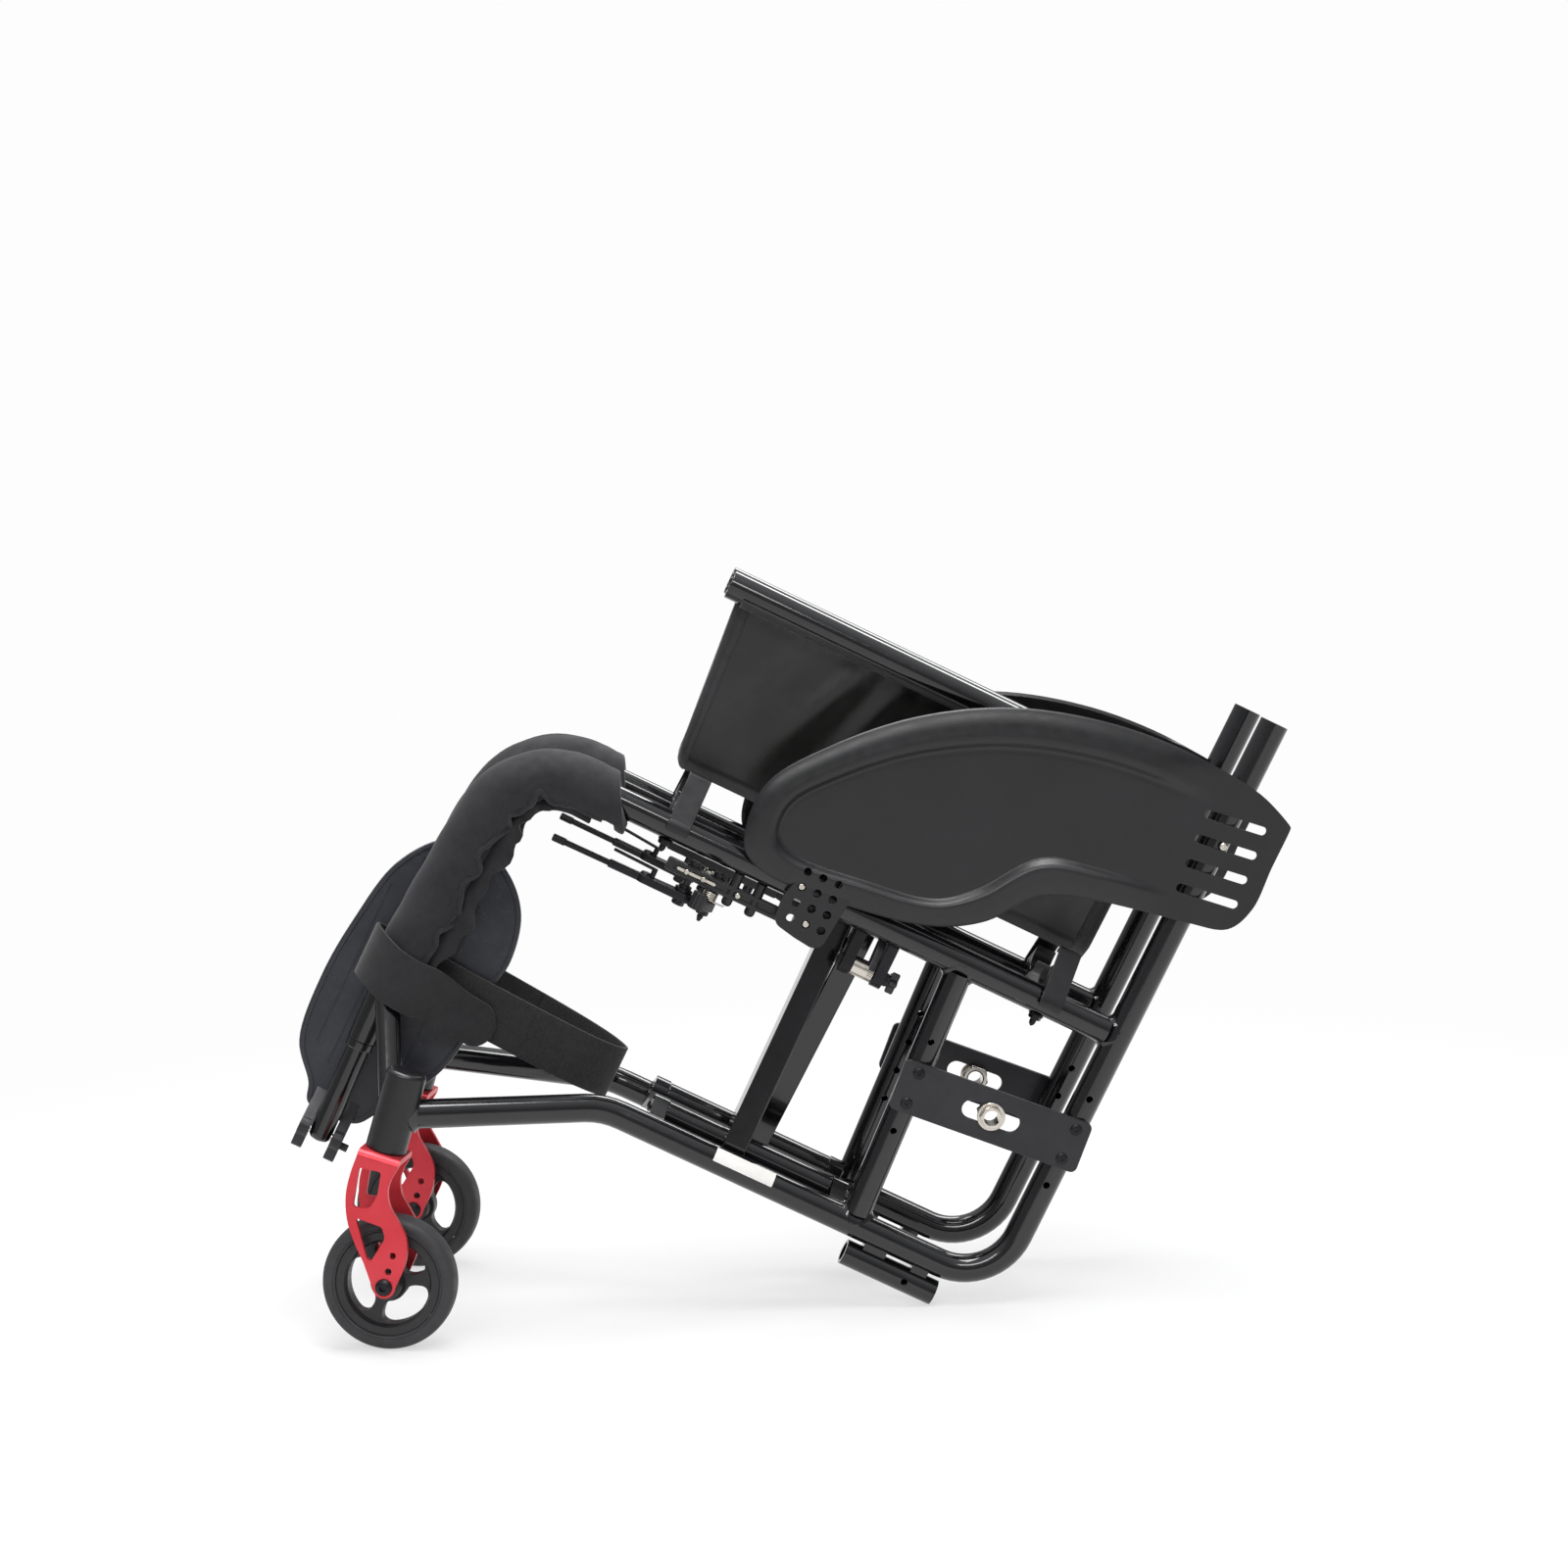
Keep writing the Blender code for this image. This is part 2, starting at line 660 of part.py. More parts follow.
def make_castor_wheel(name, side):
    """Wheel with three kidney openings, its tyre and the axle bolt."""
    turn = stem_frame() @ Matrix.Rotation(-side * SWIVEL, 4, "Z")
    centre = turn @ Vector((AXLE_X, 0, AXLE_Z))
    axle = turn @ along_w(0, AXLE_X, AXLE_Z)
    rim_r = TYRE_D / 2 - TYRE_DEPTH
    inner_r = rim_r - RIM_DEPTH
    hub_r = HUB_D / 2
    bore = AXLE_D / 2 + GAP
    half_hub, half_rim, half_web = HUB_W / 2, RIM_W / 2, WEB_T / 2
    one_side = [(bore, half_hub), (hub_r, half_hub), (hub_r, half_web), (inner_r, half_web),
                (inner_r, half_rim), (rim_r, half_rim)]
    profile = one_side + [(r, -z) for r, z in reversed(one_side)]
    middle = (hub_r + inner_r) / 2
    cutters = []
    for k in range(OPENINGS):
        aim = OPENING_TURN + 2 * math.pi * k / OPENINGS
        low, high = aim - OPENING_HALF_ANGLE, aim + OPENING_HALF_ANGLE
        outline = arc((0, 0), middle + OPENING_R, low, high, 5)
        end = (middle * math.cos(high), middle * math.sin(high))
        outline += arc(end, OPENING_R, high, high + math.pi, 4)[1:-1]
        outline += arc((0, 0), middle - OPENING_R, high, low, 4)
        start = (middle * math.cos(low), middle * math.sin(low))
        outline += arc(start, OPENING_R, low + math.pi, low + 2 * math.pi, 4)[1:-1]
        cutters.append(slab(outline, HUB_W, axle @ Matrix.Translation((0, 0, -HUB_W / 2))))
    piece(f"{name}_castor_wheel", turned(profile, axle, 24, ring=True), RUBBER, side, centre,
          cut=[gathered(*cutters)])

    seat_r = rim_r + GAP
    outer_r, half = TYRE_D / 2, TYRE_W / 2
    tyre = [(seat_r, half_rim), (outer_r - 0.006, half), (outer_r - 0.0015, half - 0.005), (outer_r, half - 0.008)]
    tyre += [(r, -z) for r, z in reversed(tyre)]
    piece(f"{name}_castor_tyre", turned(tyre, axle, WHEEL_SIDES, ring=True), RUBBER, side, centre)

    reach = FORK_INNER_W / 2 + FORK_LEG_T + GAP
    head = AXLE_HEAD_D / 2
    bolt = [(0, reach + AXLE_HEAD_T), (head * 0.8, reach + AXLE_HEAD_T), (head, reach + AXLE_HEAD_T * 0.6),
            (head, reach), (AXLE_D / 2, reach)]
    bolt += [(r, -z) for r, z in reversed(bolt)]
    piece(f"{name}_castor_axle", turned(bolt, axle, TUBE_SIDES), STEEL, side, centre)


def make_axle_mount(name, side):
    """Slotted plate on the two posts, with the sleeve for a push-in wheel axle."""
    front, rear = axle_post_holes(), post_holes()
    middle = (Vector(front[1]) + Vector(front[2]) + Vector(rear[1]) + Vector(rear[2])) / 4
    rise = Vector(rear[1]) - Vector(front[1])
    turn = Matrix.Rotation(math.atan2(rise.y, rise.x), 4, "Z")
    inner = SIDE_W + tube_radius() + GAP
    plane = along_w(inner, *middle) @ turn
    slot = capsule((-(SLOT_LENGTH - SLOT_HEIGHT) / 2, 0), ((SLOT_LENGTH - SLOT_HEIGHT) / 2, 0), SLOT_HEIGHT / 2)
    lower = plane @ Matrix.Translation((0, 0, -PLATE_T))
    screws = side_holes(front[1:3] + rear[1:3], HOLE_D, inner - PLATE_T, inner + 2 * PLATE_T)
    plate = slab(rounded_rectangle(PLATE_LENGTH, PLATE_HEIGHT, PLATE_CORNER_R), PLATE_T, plane)
    piece(f"{name}_axle_plate", plate, CHARCOAL, side, cut=[slab(slot, 3 * PLATE_T, lower), screws])

    bore = SLEEVE_BORE_D / 2
    neck = SLOT_HEIGHT / 2 - GAP
    flange = SLEEVE_FLANGE_D / 2
    face = PLATE_T + GAP
    profile = [
        (bore, -GAP - SLEEVE_NUT_T), (flange, -GAP - SLEEVE_NUT_T), (flange, -GAP), (neck, -GAP),
        (neck, face), (flange, face), (flange, face + SLEEVE_FLANGE_T), (bore, face + SLEEVE_FLANGE_T),
    ]
    piece(f"{name}_axle_sleeve", turned(profile, plane, ring=True), STEEL, side)


def guard_height(u):
    """How far the border stands out from the panel at this place."""
    return GUARD_STEP * (1 - smooth_step(u, GUARD_FADE_FRONT_U, GUARD_FADE_REAR_U))


def make_guard(name, side):
    """Moulded side guard with a rolled edge, a recessed panel, rear slots and a drilled tab."""
    inner = SIDE_W + tube_radius() + GAP
    edge, panel = [
        [p + Vector((0, FRAME_H)) for p in smooth_loop(outline, GUARD_POINTS)]
        for outline in (GUARD_OUTLINE, PANEL_OUTLINE)
    ]
    loops = []
    for share, raised, rolled in ((0.0, 1, 1), (0.14, 1, 0.25), (0.30, 1, 0), (0.80, 1, 0), (1.0, 0, 0)):
        loop = []
        for a, b in zip(edge, panel):
            u, n = a.lerp(b, share)
            height = guard_height(u)
            roll = GUARD_ROLL * rolled * height / GUARD_STEP
            loop.append((u, n, inner + GUARD_T / 2 + raised * height - roll))
        loops.append(loop)
    bm = bmesh.new()
    skins = []
    for offset in (-GUARD_T / 2, GUARD_T / 2):
        rings = [[bm.verts.new((u, w + offset, n)) for u, n, w in loop] for loop in loops]
        for near, far in zip(rings, rings[1:]):
            for k in range(GUARD_POINTS):
                j = (k + 1) % GUARD_POINTS
                bm.faces.new((near[k], near[j], far[j], far[k]))
        bm.faces.new(rings[-1])
        skins.append(rings[0])
    for k in range(GUARD_POINTS):
        j = (k + 1) % GUARD_POINTS
        bm.faces.new((skins[0][k], skins[0][j], skins[1][j], skins[1][k]))
    slots = []
    half = (GUARD_SLOT_LENGTH - GUARD_SLOT_W) / 2
    for k in range(SLOT_ROWS):
        u = GUARD_SLOT_TOP[0] + k * GUARD_SLOT_STEP[0]
        n = FRAME_H + GUARD_SLOT_TOP[1] + k * GUARD_SLOT_STEP[1]
        place = along_w(inner - GUARD_T, u, n) @ Matrix.Rotation(GUARD_SLOT_TURN, 4, "Z")
        slots.append(slab(capsule((-half, 0), (half, 0), GUARD_SLOT_W / 2, steps=3), 4 * GUARD_T, place))

    tab_outline = (
        arc((-0.2730, FRAME_H - 0.0240), 0.0090, math.radians(190), math.radians(262), 3)
        + [(-0.2610, FRAME_H - 0.0355)]
        + arc((-0.2480, FRAME_H - 0.0275), 0.0095, math.radians(255), math.radians(355), 4)
        + [(-0.2350, FRAME_H + TAB_TOP), (-0.2780, FRAME_H + TAB_TOP), (-0.2830, FRAME_H - 0.0085)]
    )
    tab = slab(tab_outline, TAB_T, along_w(inner + GAP))
    holes = []
    for row in range(4):
        for column in range(3):
            u = TAB_HOLE_U + column * TAB_HOLE_STEP - row * TAB_HOLE_LEAN
            holes.append((u, FRAME_H - TAB_HOLE_DROP + row * TAB_HOLE_STEP + column * TAB_HOLE_RISE))
    drilled = side_holes(holes, TAB_HOLE_D, inner - TAB_T, inner + 2 * TAB_T, 8)
    piece(f"{name}_side_guard", bm, CHARCOAL, side, joined=[tab], cut=[gathered(*slots), drilled])


def make_saddle(name, side, label, u):
    """Clip that clamps the seat tube and cradles the seat rail when the chair is open."""
    tube_r = tube_radius() + GAP
    rail_r = tube_radius() + 2 * GAP
    clamp_r = tube_r + SADDLE_WALL
    cradle_r = rail_r + SADDLE_WALL
    saddle_n = FRAME_H + SADDLE_RISE
    rear = u - SADDLE_LENGTH / 2
    length = SADDLE_LENGTH
    clamp = slab(arc((SIDE_W, FRAME_H), clamp_r, 0, 2 * math.pi, CUTTER_SIDES)[:-1], length, along_u(rear))
    cradle = slab(arc((PIVOT_W, saddle_n), cradle_r, 0, 2 * math.pi, CUTTER_SIDES)[:-1], length, along_u(rear))
    web = slab(
        [(PIVOT_W, saddle_n - cradle_r), (SIDE_W - clamp_r * 0.6, FRAME_H - clamp_r * 0.8),
         (SIDE_W, FRAME_H + clamp_r), (PIVOT_W + cradle_r, saddle_n + SADDLE_OUTER_HORN),
         (PIVOT_W + rail_r - 0.001, saddle_n + SADDLE_OUTER_HORN)],
        length, along_u(rear))
    past = SADDLE_LENGTH
    low, high = rear - past, rear + length + past
    tube_cut = rod((low, SIDE_W, FRAME_H), (high, SIDE_W, FRAME_H), tube_r, CUTTER_SIDES)
    rail_cut = slab(
        arc((PIVOT_W, saddle_n), rail_r, math.pi, 2 * math.pi, 12)
        + [(PIVOT_W + rail_r, saddle_n + 0.05), (PIVOT_W - cradle_r * 1.2, saddle_n + 0.05),
           (PIVOT_W - cradle_r * 1.2, saddle_n + SADDLE_INNER_HORN), (PIVOT_W - rail_r, saddle_n + SADDLE_INNER_HORN)],
        high - low, along_u(low))
    piece(f"{name}_{label}", clamp, PLASTIC, side, joined=[cradle, web], cut=[tube_cut, rail_cut])


def make_pivot_bracket(name, side, label, u_face, heading):
    """Clamp on the lower tube with the stub that the brace's pivot tube turns on."""
    tube_r = tube_radius() + GAP
    clamp_r = tube_r + BRACKET_WALL
    boss_r = PIVOT_TUBE_D / 2 + 0.001
    start = min(u_face, u_face + heading * BRACKET_T)
    clamp = slab(arc((SIDE_W, 0), clamp_r, 0, 2 * math.pi, CUTTER_SIDES)[:-1], BRACKET_T, along_u(start))
    arm = slab(capsule((PIVOT_W, PIVOT_N), (SIDE_W, 0), boss_r, boss_r, 5), BRACKET_T, along_u(start))
    stub = rod((u_face + heading * BRACKET_T / 2, PIVOT_W, PIVOT_N),
               (u_face - heading * STUB_LENGTH, PIVOT_W, PIVOT_N), STUB_D / 2, ROUND_SIDES)
    tube_cut = rod((start - BRACKET_T, SIDE_W, 0), (start + 2 * BRACKET_T, SIDE_W, 0), tube_r, CUTTER_SIDES)
    piece(f"{name}_{label}", clamp, CHARCOAL, side, (u_face, PIVOT_W, PIVOT_N), joined=[arm, stub],
          cut=[tube_cut])


def make_receiver(name, side):
    """Short open tube for an anti-tip wheel, welded under the lower tube by a slotted web."""
    centre_n = -tube_radius() - RECEIVER_DROP
    radius = RECEIVER_D / 2
    past = radius
    body = rod((RECEIVER_FRONT_U, SIDE_W, centre_n), (RECEIVER_REAR_U, SIDE_W, centre_n), radius, ROUND_SIDES)
    web = block((RECEIVER_FRONT_U + radius, SIDE_W - RECEIVER_WEB_W / 2, centre_n),
                (RECEIVER_REAR_U - radius, SIDE_W + RECEIVER_WEB_W / 2, -tube_radius() / 2))
    bore = rod((RECEIVER_FRONT_U - past, SIDE_W, centre_n), (RECEIVER_REAR_U + past, SIDE_W, centre_n),
               RECEIVER_BORE_D / 2)
    tube_cut = rod((BASE_BEND_U, SIDE_W, 0), (past, SIDE_W, 0), tube_radius() + GAP, CUTTER_SIDES)
    slot = block((RECEIVER_SLOT[0], SIDE_W - RECEIVER_WEB_W, centre_n + radius * 0.7),
                 (RECEIVER_SLOT[1], SIDE_W + RECEIVER_WEB_W, 0))
    piece(f"{name}_anti_tip_receiver", body, GLOSS_BLACK, side, joined=[web], cut=[tube_cut, slot, bore])


def make_hanger(name, side):
    """Footplate tube, telescoped into the front tube and drilled for the hinge pin."""
    radius = HANGER_D / 2
    tip = hanger_point(HANGER_END_N)
    dome = [0.45, 0.85, 1.0]
    heights = [HANGER_END_N, HANGER_END_N + radius * 0.12, HANGER_END_N + radius * 0.5]
    points = [tip] + [hanger_point(n) for n in heights[1:]]
    points.append(hanger_point(FRONT_TUBE_END_N + HANGER_INSERT))
    pin = HINGE_N
    hole = rod(hanger_point(pin) - Vector((2 * radius, 0, 0)), hanger_point(pin) + Vector((2 * radius, 0, 0)),
               FOOT_PIN_D / 2 + GAP)
    bar = sweep(points, [radius * d for d in dome] + [radius])
    piece(f"{name}_hanger_tube", bar, GLOSS_BLACK, side, cut=[hole])


def brace_point(reach):
    """Point along a brace from its lower pivot, in the folded chair, as (w, n) of that side."""
    w = PIVOT_W - reach * math.sin(FOLDED_ANGLE)
    return Vector((w, PIVOT_N + reach * math.cos(FOLDED_ANGLE)))


def make_brace(name, side, bar_from):
    """One arm of the cross-brace: a flat bar with its pivot tube, bored for the stubs and the bolt."""
    foot, rail = brace_point(0), brace_point(2 * BRACE_HALF)
    half = BAR_WIDTH / 2
    aim = (rail - foot).normalized()
    top = foot + aim * (2 * BRACE_HALF - BAR_END_BACK)
    across = Vector((-aim.y, aim.x)) * half
    heading = math.atan2(-across.y, -across.x)
    outline = arc(foot, half, heading, heading - math.pi, 8) + [tuple(top + across), tuple(top - across)]
    bar = slab(outline, BAR_T, along_u(bar_from))
    ends = (PIVOT_TUBE_FRONT_U, PIVOT_TUBE_REAR_U)
    tube = rod((ends[0], PIVOT_W, PIVOT_N), (ends[1], PIVOT_W, PIVOT_N), PIVOT_TUBE_D / 2, ROUND_SIDES)
    bore_r = STUB_D / 2 + GAP
    depth = STUB_LENGTH + GAP + RUNNING_GAP
    bores = gathered(
        rod((ends[0] - depth, PIVOT_W, PIVOT_N), (ends[0] + depth, PIVOT_W, PIVOT_N), bore_r, ROUND_SIDES),
        rod((ends[1] - depth, PIVOT_W, PIVOT_N), (ends[1] + depth, PIVOT_W, PIVOT_N), bore_r, ROUND_SIDES),
        rod((bar_from - BAR_T, 0, brace_point(BRACE_HALF).y), (bar_from + 2 * BAR_T, 0, brace_point(BRACE_HALF).y),
            BOLT_D / 2 + GAP),
    )
    rail_cut = rod((RAIL_FRONT_U, rail.x, rail.y), (RAIL_REAR_U, rail.x, rail.y), tube_radius() + GAP,
                   CUTTER_SIDES)
    piece(f"{name}_brace", bar, GLOSS_BLACK, side, (BAR_U, PIVOT_W, PIVOT_N), joined=[tube],
          cut=[bores, rail_cut])


def make_seat_rail(name, side):
    """Seat rail, welded on the top of the brace that leans to this side."""
    centre = (PIVOT_W, brace_point(2 * BRACE_HALF).y)
    radius = tube_radius()
    bore = radius - TUBE_WALL
    start, end = (RAIL_FRONT_U, *centre), (RAIL_REAR_U, *centre)
    cut = gathered(*[rod((u - 0.03, *centre), (u + 0.03, *centre), bore) for u in (RAIL_FRONT_U, RAIL_REAR_U)])
    piece(f"{name}_seat_rail", rod(start, end, radius), GLOSS_BLACK, side, cut=[cut])


def make_brace_bolt():
    """Bolt through both braces where they cross."""
    shank, head = BOLT_D / 2, BOLT_HEAD_D / 2
    reach = BAR_GAP / 2 + BAR_T + GAP
    profile = [(0, -reach - BOLT_HEAD_T), (head * 0.85, -reach - BOLT_HEAD_T), (head, -reach - BOLT_HEAD_T / 2),
               (head, -reach), (shank, -reach)]
    profile += [(r, -z) for r, z in reversed(profile)]
    centre = brace_point(BRACE_HALF)
    piece("brace_bolt", turned(profile, along_u(BAR_U, 0, centre.y)), STEEL, 1, (BAR_U, 0, centre.y))


def link_height():
    """Height of the link's hinge under the seat tube."""
    return FRAME_H - LINK_DROP


def make_fold_link(name, side):
    """Hinge under the seat tube and the link that steers the rail down to its saddle."""
    heading = -side
    hub_near = BAR_U + heading * (BAR_GAP / 2 + BAR_T + RUNNING_GAP)
    plate_far = hub_near + heading * LINK_T
    hub_far = plate_far - heading * LINK_HUB_LENGTH
    hub = (LINK_W, link_height())
    held = brace_point(LINK_REACH)
    far = Vector((-held.x, held.y))
    start_u = min(hub_near, plate_far)
    eye = capsule(hub, far, LINK_HUB_D / 2, LINK_WIDTH / 2)
    plate = slab(eye, LINK_T, along_u(start_u))
    low, high = sorted((hub_far, plate_far))
    barrel = rod((low, *hub), (high, *hub), LINK_HUB_D / 2)
    pin_cut = rod((low - 0.01, *hub), (high + 0.01, *hub), LINK_PIN_D / 2 + GAP)
    eye_cut = rod((low - 0.01, *far), (high + 0.01, *far), BOLT_D / 2)
    piece(f"{name}_fold_link", plate, STEEL, side, (BAR_U, *hub), joined=[barrel], cut=[pin_cut, eye_cut])

    top = FRAME_H
    half = EAR_WIDTH / 2
    outline = (
        arc(hub, half, math.pi, 2 * math.pi, 6)
        + [(LINK_W + half, top), (LINK_W - half * 0.4, top)]
    )
    ears = []
    for start in (low - RUNNING_GAP - EAR_T, high + RUNNING_GAP):
        ears.append(slab(outline, EAR_T, along_u(start)))
    pin = rod((low - EAR_T, *hub), (high + EAR_T, *hub), LINK_PIN_D / 2)
    bridge = block((low - EAR_T, SIDE_W - 0.0080, top - tube_radius() - 0.0050),
                   (high + EAR_T, SIDE_W + 0.0040, top - tube_radius() + 0.0020))
    tube_cut = rod((KNEE_U, SIDE_W, FRAME_H), (0, SIDE_W, FRAME_H), tube_radius() + GAP, CUTTER_SIDES)
    piece(f"{name}_link_hinge", ears[0], STEEL, side, joined=[ears[1], bridge, pin], cut=[tube_cut])


def make_brake(name, side):
    """Brake rail under the seat tube, hand lever and wheel shoe."""
    top = FRAME_H - BRAKE_RAIL_DROP
    bottom = top - BRAKE_RAIL_H
    half = BRAKE_RAIL_T / 2
    rail = block((BRAKE_RAIL_FRONT_U, SIDE_W - half, bottom), (BRAKE_RAIL_REAR_U, SIDE_W + half, top))
    under_tube = FRAME_H - tube_radius() - GAP
    bosses = [rod((u, SIDE_W, bottom - 0.0040), (u, SIDE_W, under_tube), 0.0042) for u in BRAKE_BOSS_US]
    lever_top = bottom - RUNNING_GAP
    shoe_top = lever_top - LEVER_T - RUNNING_GAP
    foot = shoe_top - SHOE_T - RUNNING_GAP
    pins = [rod((u, SIDE_W, low), (u, SIDE_W, bottom + 0.0040), BRAKE_PIN_D / 2)
            for u, low in ((BRAKE_PIVOT_U, foot), (SHOE_PIVOT_U, foot - 0.0020))]
    holes = gathered(*[rod((u, SIDE_W - 0.01, bottom + BRAKE_RAIL_H / 2), (u, SIDE_W + 0.01, bottom + BRAKE_RAIL_H / 2),
                           0.0020, 8) for u in (-0.3620, -0.3400, -0.2880)])
    piece(f"{name}_brake_rail", rail, CHARCOAL, side, joined=[*bosses, *pins], cut=[holes])

    high_n, low_n = lever_top - 0.0002, lever_top - 0.0135
    arm, length = -LEVER_ARM, -LEVER_LENGTH
    plate = slab(capsule((0, 0), (arm, 0), 0.0085, 0.0060, 4), LEVER_T, along_n(lever_top - LEVER_T))
    cross = block((arm - 0.0050, -0.0045, low_n - 0.0030), (arm + 0.0030, 0.0045, high_n + 0.0030))
    grip = rod((arm, 0, low_n), (arm - 0.0240, 0, low_n), 0.0034, 8)
    shaft = rod((arm, 0, low_n), (length, 0, low_n), 0.0025, 8)
    aim = Matrix.Translation((BRAKE_PIVOT_U, SIDE_W, 0)) @ Matrix.Rotation(-LEVER_OUT, 4, "Z")
    for solid in (plate, cross, grip, shaft):
        solid.transform(aim)
    pin_cut = rod((BRAKE_PIVOT_U, SIDE_W, lever_top - 0.03), (BRAKE_PIVOT_U, SIDE_W, lever_top + 0.01),
                  BRAKE_PIN_D / 2 + GAP)
    piece(f"{name}_brake_lever", plate, CHARCOAL, side, (BRAKE_PIVOT_U, SIDE_W, lever_top),
          joined=[cross, grip, shaft], cut=[pin_cut])

    tip = (SHOE_PIVOT_U + SHOE_ARM * math.cos(SHOE_TURN), SIDE_W + SHOE_ARM * math.sin(SHOE_TURN))
    arm = slab(capsule((SHOE_PIVOT_U, SIDE_W), tip, 0.0070, 0.0050, 4), SHOE_T, along_n(shoe_top - SHOE_T))
    roller = rod((*tip, shoe_top - SHOE_T), (*tip, shoe_top + 0.0060), ROLLER_D / 2)
    pin_cut = rod((SHOE_PIVOT_U, SIDE_W, shoe_top - 0.03), (SHOE_PIVOT_U, SIDE_W, shoe_top + 0.01),
                  BRAKE_PIN_D / 2 + GAP)
    piece(f"{name}_brake_shoe", arm, CHARCOAL, side, (SHOE_PIVOT_U, SIDE_W, shoe_top), joined=[roller],
          cut=[pin_cut])


def foot_frame():
    """Matrix of the footplate: x is u from the hinge, y runs up the plate, z is outwards."""
    hinge = hanger_point(HINGE_N)
    place = Matrix.Translation(hinge) @ Matrix.Rotation(PLATE_LEAN, 4, "X")
    return place @ along_w(0)


def foot_outline():
    """Outline of the footplate about its hinge: a rounded blade that narrows to its neck."""
    controls = (
        (-0.0190, 0.0150), (-0.0260, 0.0300), (-0.0460, 0.0560), (-0.0520, 0.1080), (-0.0480, 0.1600),
        (-0.0370, 0.2120), (-0.0120, 0.2440), (0.0180, 0.2520), (0.0470, 0.2400), (0.0680, 0.2160),
        (0.0760, 0.1800), (0.0715, 0.1500), (0.0700, 0.1080), (0.0620, 0.0760), (0.0330, 0.0300),
        (0.0200, 0.0150),
    )
    loop = smooth_loop(controls, 40)
    return [(p.x, p.y) for p in loop]


def make_footplate():
    """One-piece footplate with three grooves, two hinge lugs and the stop knob."""
    plane = foot_frame()
    inner = -FOOT_OFFSET - FOOT_T / 2
    plate = slab(foot_outline(), FOOT_T, plane @ Matrix.Translation((0, 0, inner)))
    clear = HANGER_D / 2 + RUNNING_GAP
    lugs = []
    for start in (-clear - LUG_T, clear):
        side_view = [(-0.0120, inner - 0.0006), (0.0290, inner + 0.0008), (0.0300, inner + 0.0030)]
        side_view += arc((0, 0), LUG_R, math.radians(20), math.radians(180), 6)
        side_view += [(-0.0180, -0.0040), (-0.0180, inner + 0.0020)]
        lug = slab(side_view, LUG_T)
        lug.transform(Matrix(((0, 0, 1, start), (1, 0, 0, 0), (0, 1, 0, 0), (0, 0, 0, 1))))
        lug.transform(plane)
        lugs.append(lug)
    knob = rod((clear + LUG_T / 2, -0.0040, inner / 2), (clear + LUG_T + 0.0060, -0.0040, inner / 2), 0.0030, 8)
    knob.transform(plane)
    bore = rod((-0.04, 0, 0), (0.04, 0, 0), FOOT_PIN_D / 2 + GAP, 14)
    bore.transform(plane)
    face = inner + FOOT_T
    grooves = gathered(*[
        block((x - GROOVE_W / 2, y0, face - GROOVE_DEPTH), (x + GROOVE_W / 2, y1, face + 0.01))
        for x, y0, y1 in ((-0.0330, 0.0620, 0.1950), (-0.0180, 0.0500, 0.2250), (0.0350, 0.0750, 0.2080))
    ])
    grooves.transform(plane)
    hinge = hanger_point(HINGE_N)
    piece("footplate", plate, CHARCOAL, SIDES["left"], hinge, joined=[*lugs, knob], cut=[bore, grooves])

    reach = clear + LUG_T
    pin = rod(hinge - Vector((reach, 0, 0)), hinge + Vector((reach, 0, 0)), FOOT_PIN_D / 2)
    piece("footplate_pin", pin, STEEL, SIDES["left"], hinge)


def make_knee_sleeve(name, side):
    """Soft sleeve round the knee of the seat tube, bored for it."""
    path = seat_path()
    low = front_tube_point(SLEEVE_TO_N)
    first = next(i for i, p in enumerate(path) if p.x < SLEEVE_FROM_U)
    chord = path[first] - path[first - 1]
    start = path[first - 1] + chord * ((SLEEVE_FROM_U - path[first - 1].x) / chord.x)
    run = [start] + [p for p in path[first:-1] if p.z > SLEEVE_TO_N]
    knees = len(run)
    run.append(front_tube_point((run[-1].z + SLEEVE_TO_N) / 2))
    run.append(low)
    end_r, full_r = SLEEVE_END_D / 2, SLEEVE_D / 2
    radii = [end_r] + [full_r] * (knees - 1) + [full_r, end_r]
    before = start - chord.normalized() * 0.012
    after = low + (low - run[-2]).normalized() * 0.02
    bore = sweep([before] + run + [after], tube_radius() + 2 * GAP)
    piece(f"{name}_knee_sleeve", sweep(run, radii), NEOPRENE, side, cut=[bore])


def sling_top():
    """Highest line of the sling, over the seat rails."""
    return brace_point(2 * BRACE_HALF).y + SLING_RISE


def sling_bottom(u):
    """Lowest line of the folded sling, which the brace bars push up where they cross it."""
    reach = BAR_T + BAR_GAP + LINK_T
    lifted = smooth_step(abs(u - BAR_U), reach + 0.0080, reach + 0.0500)
    return sling_top() - SLING_DEPTH + SLING_LIFT * (1 - lifted)


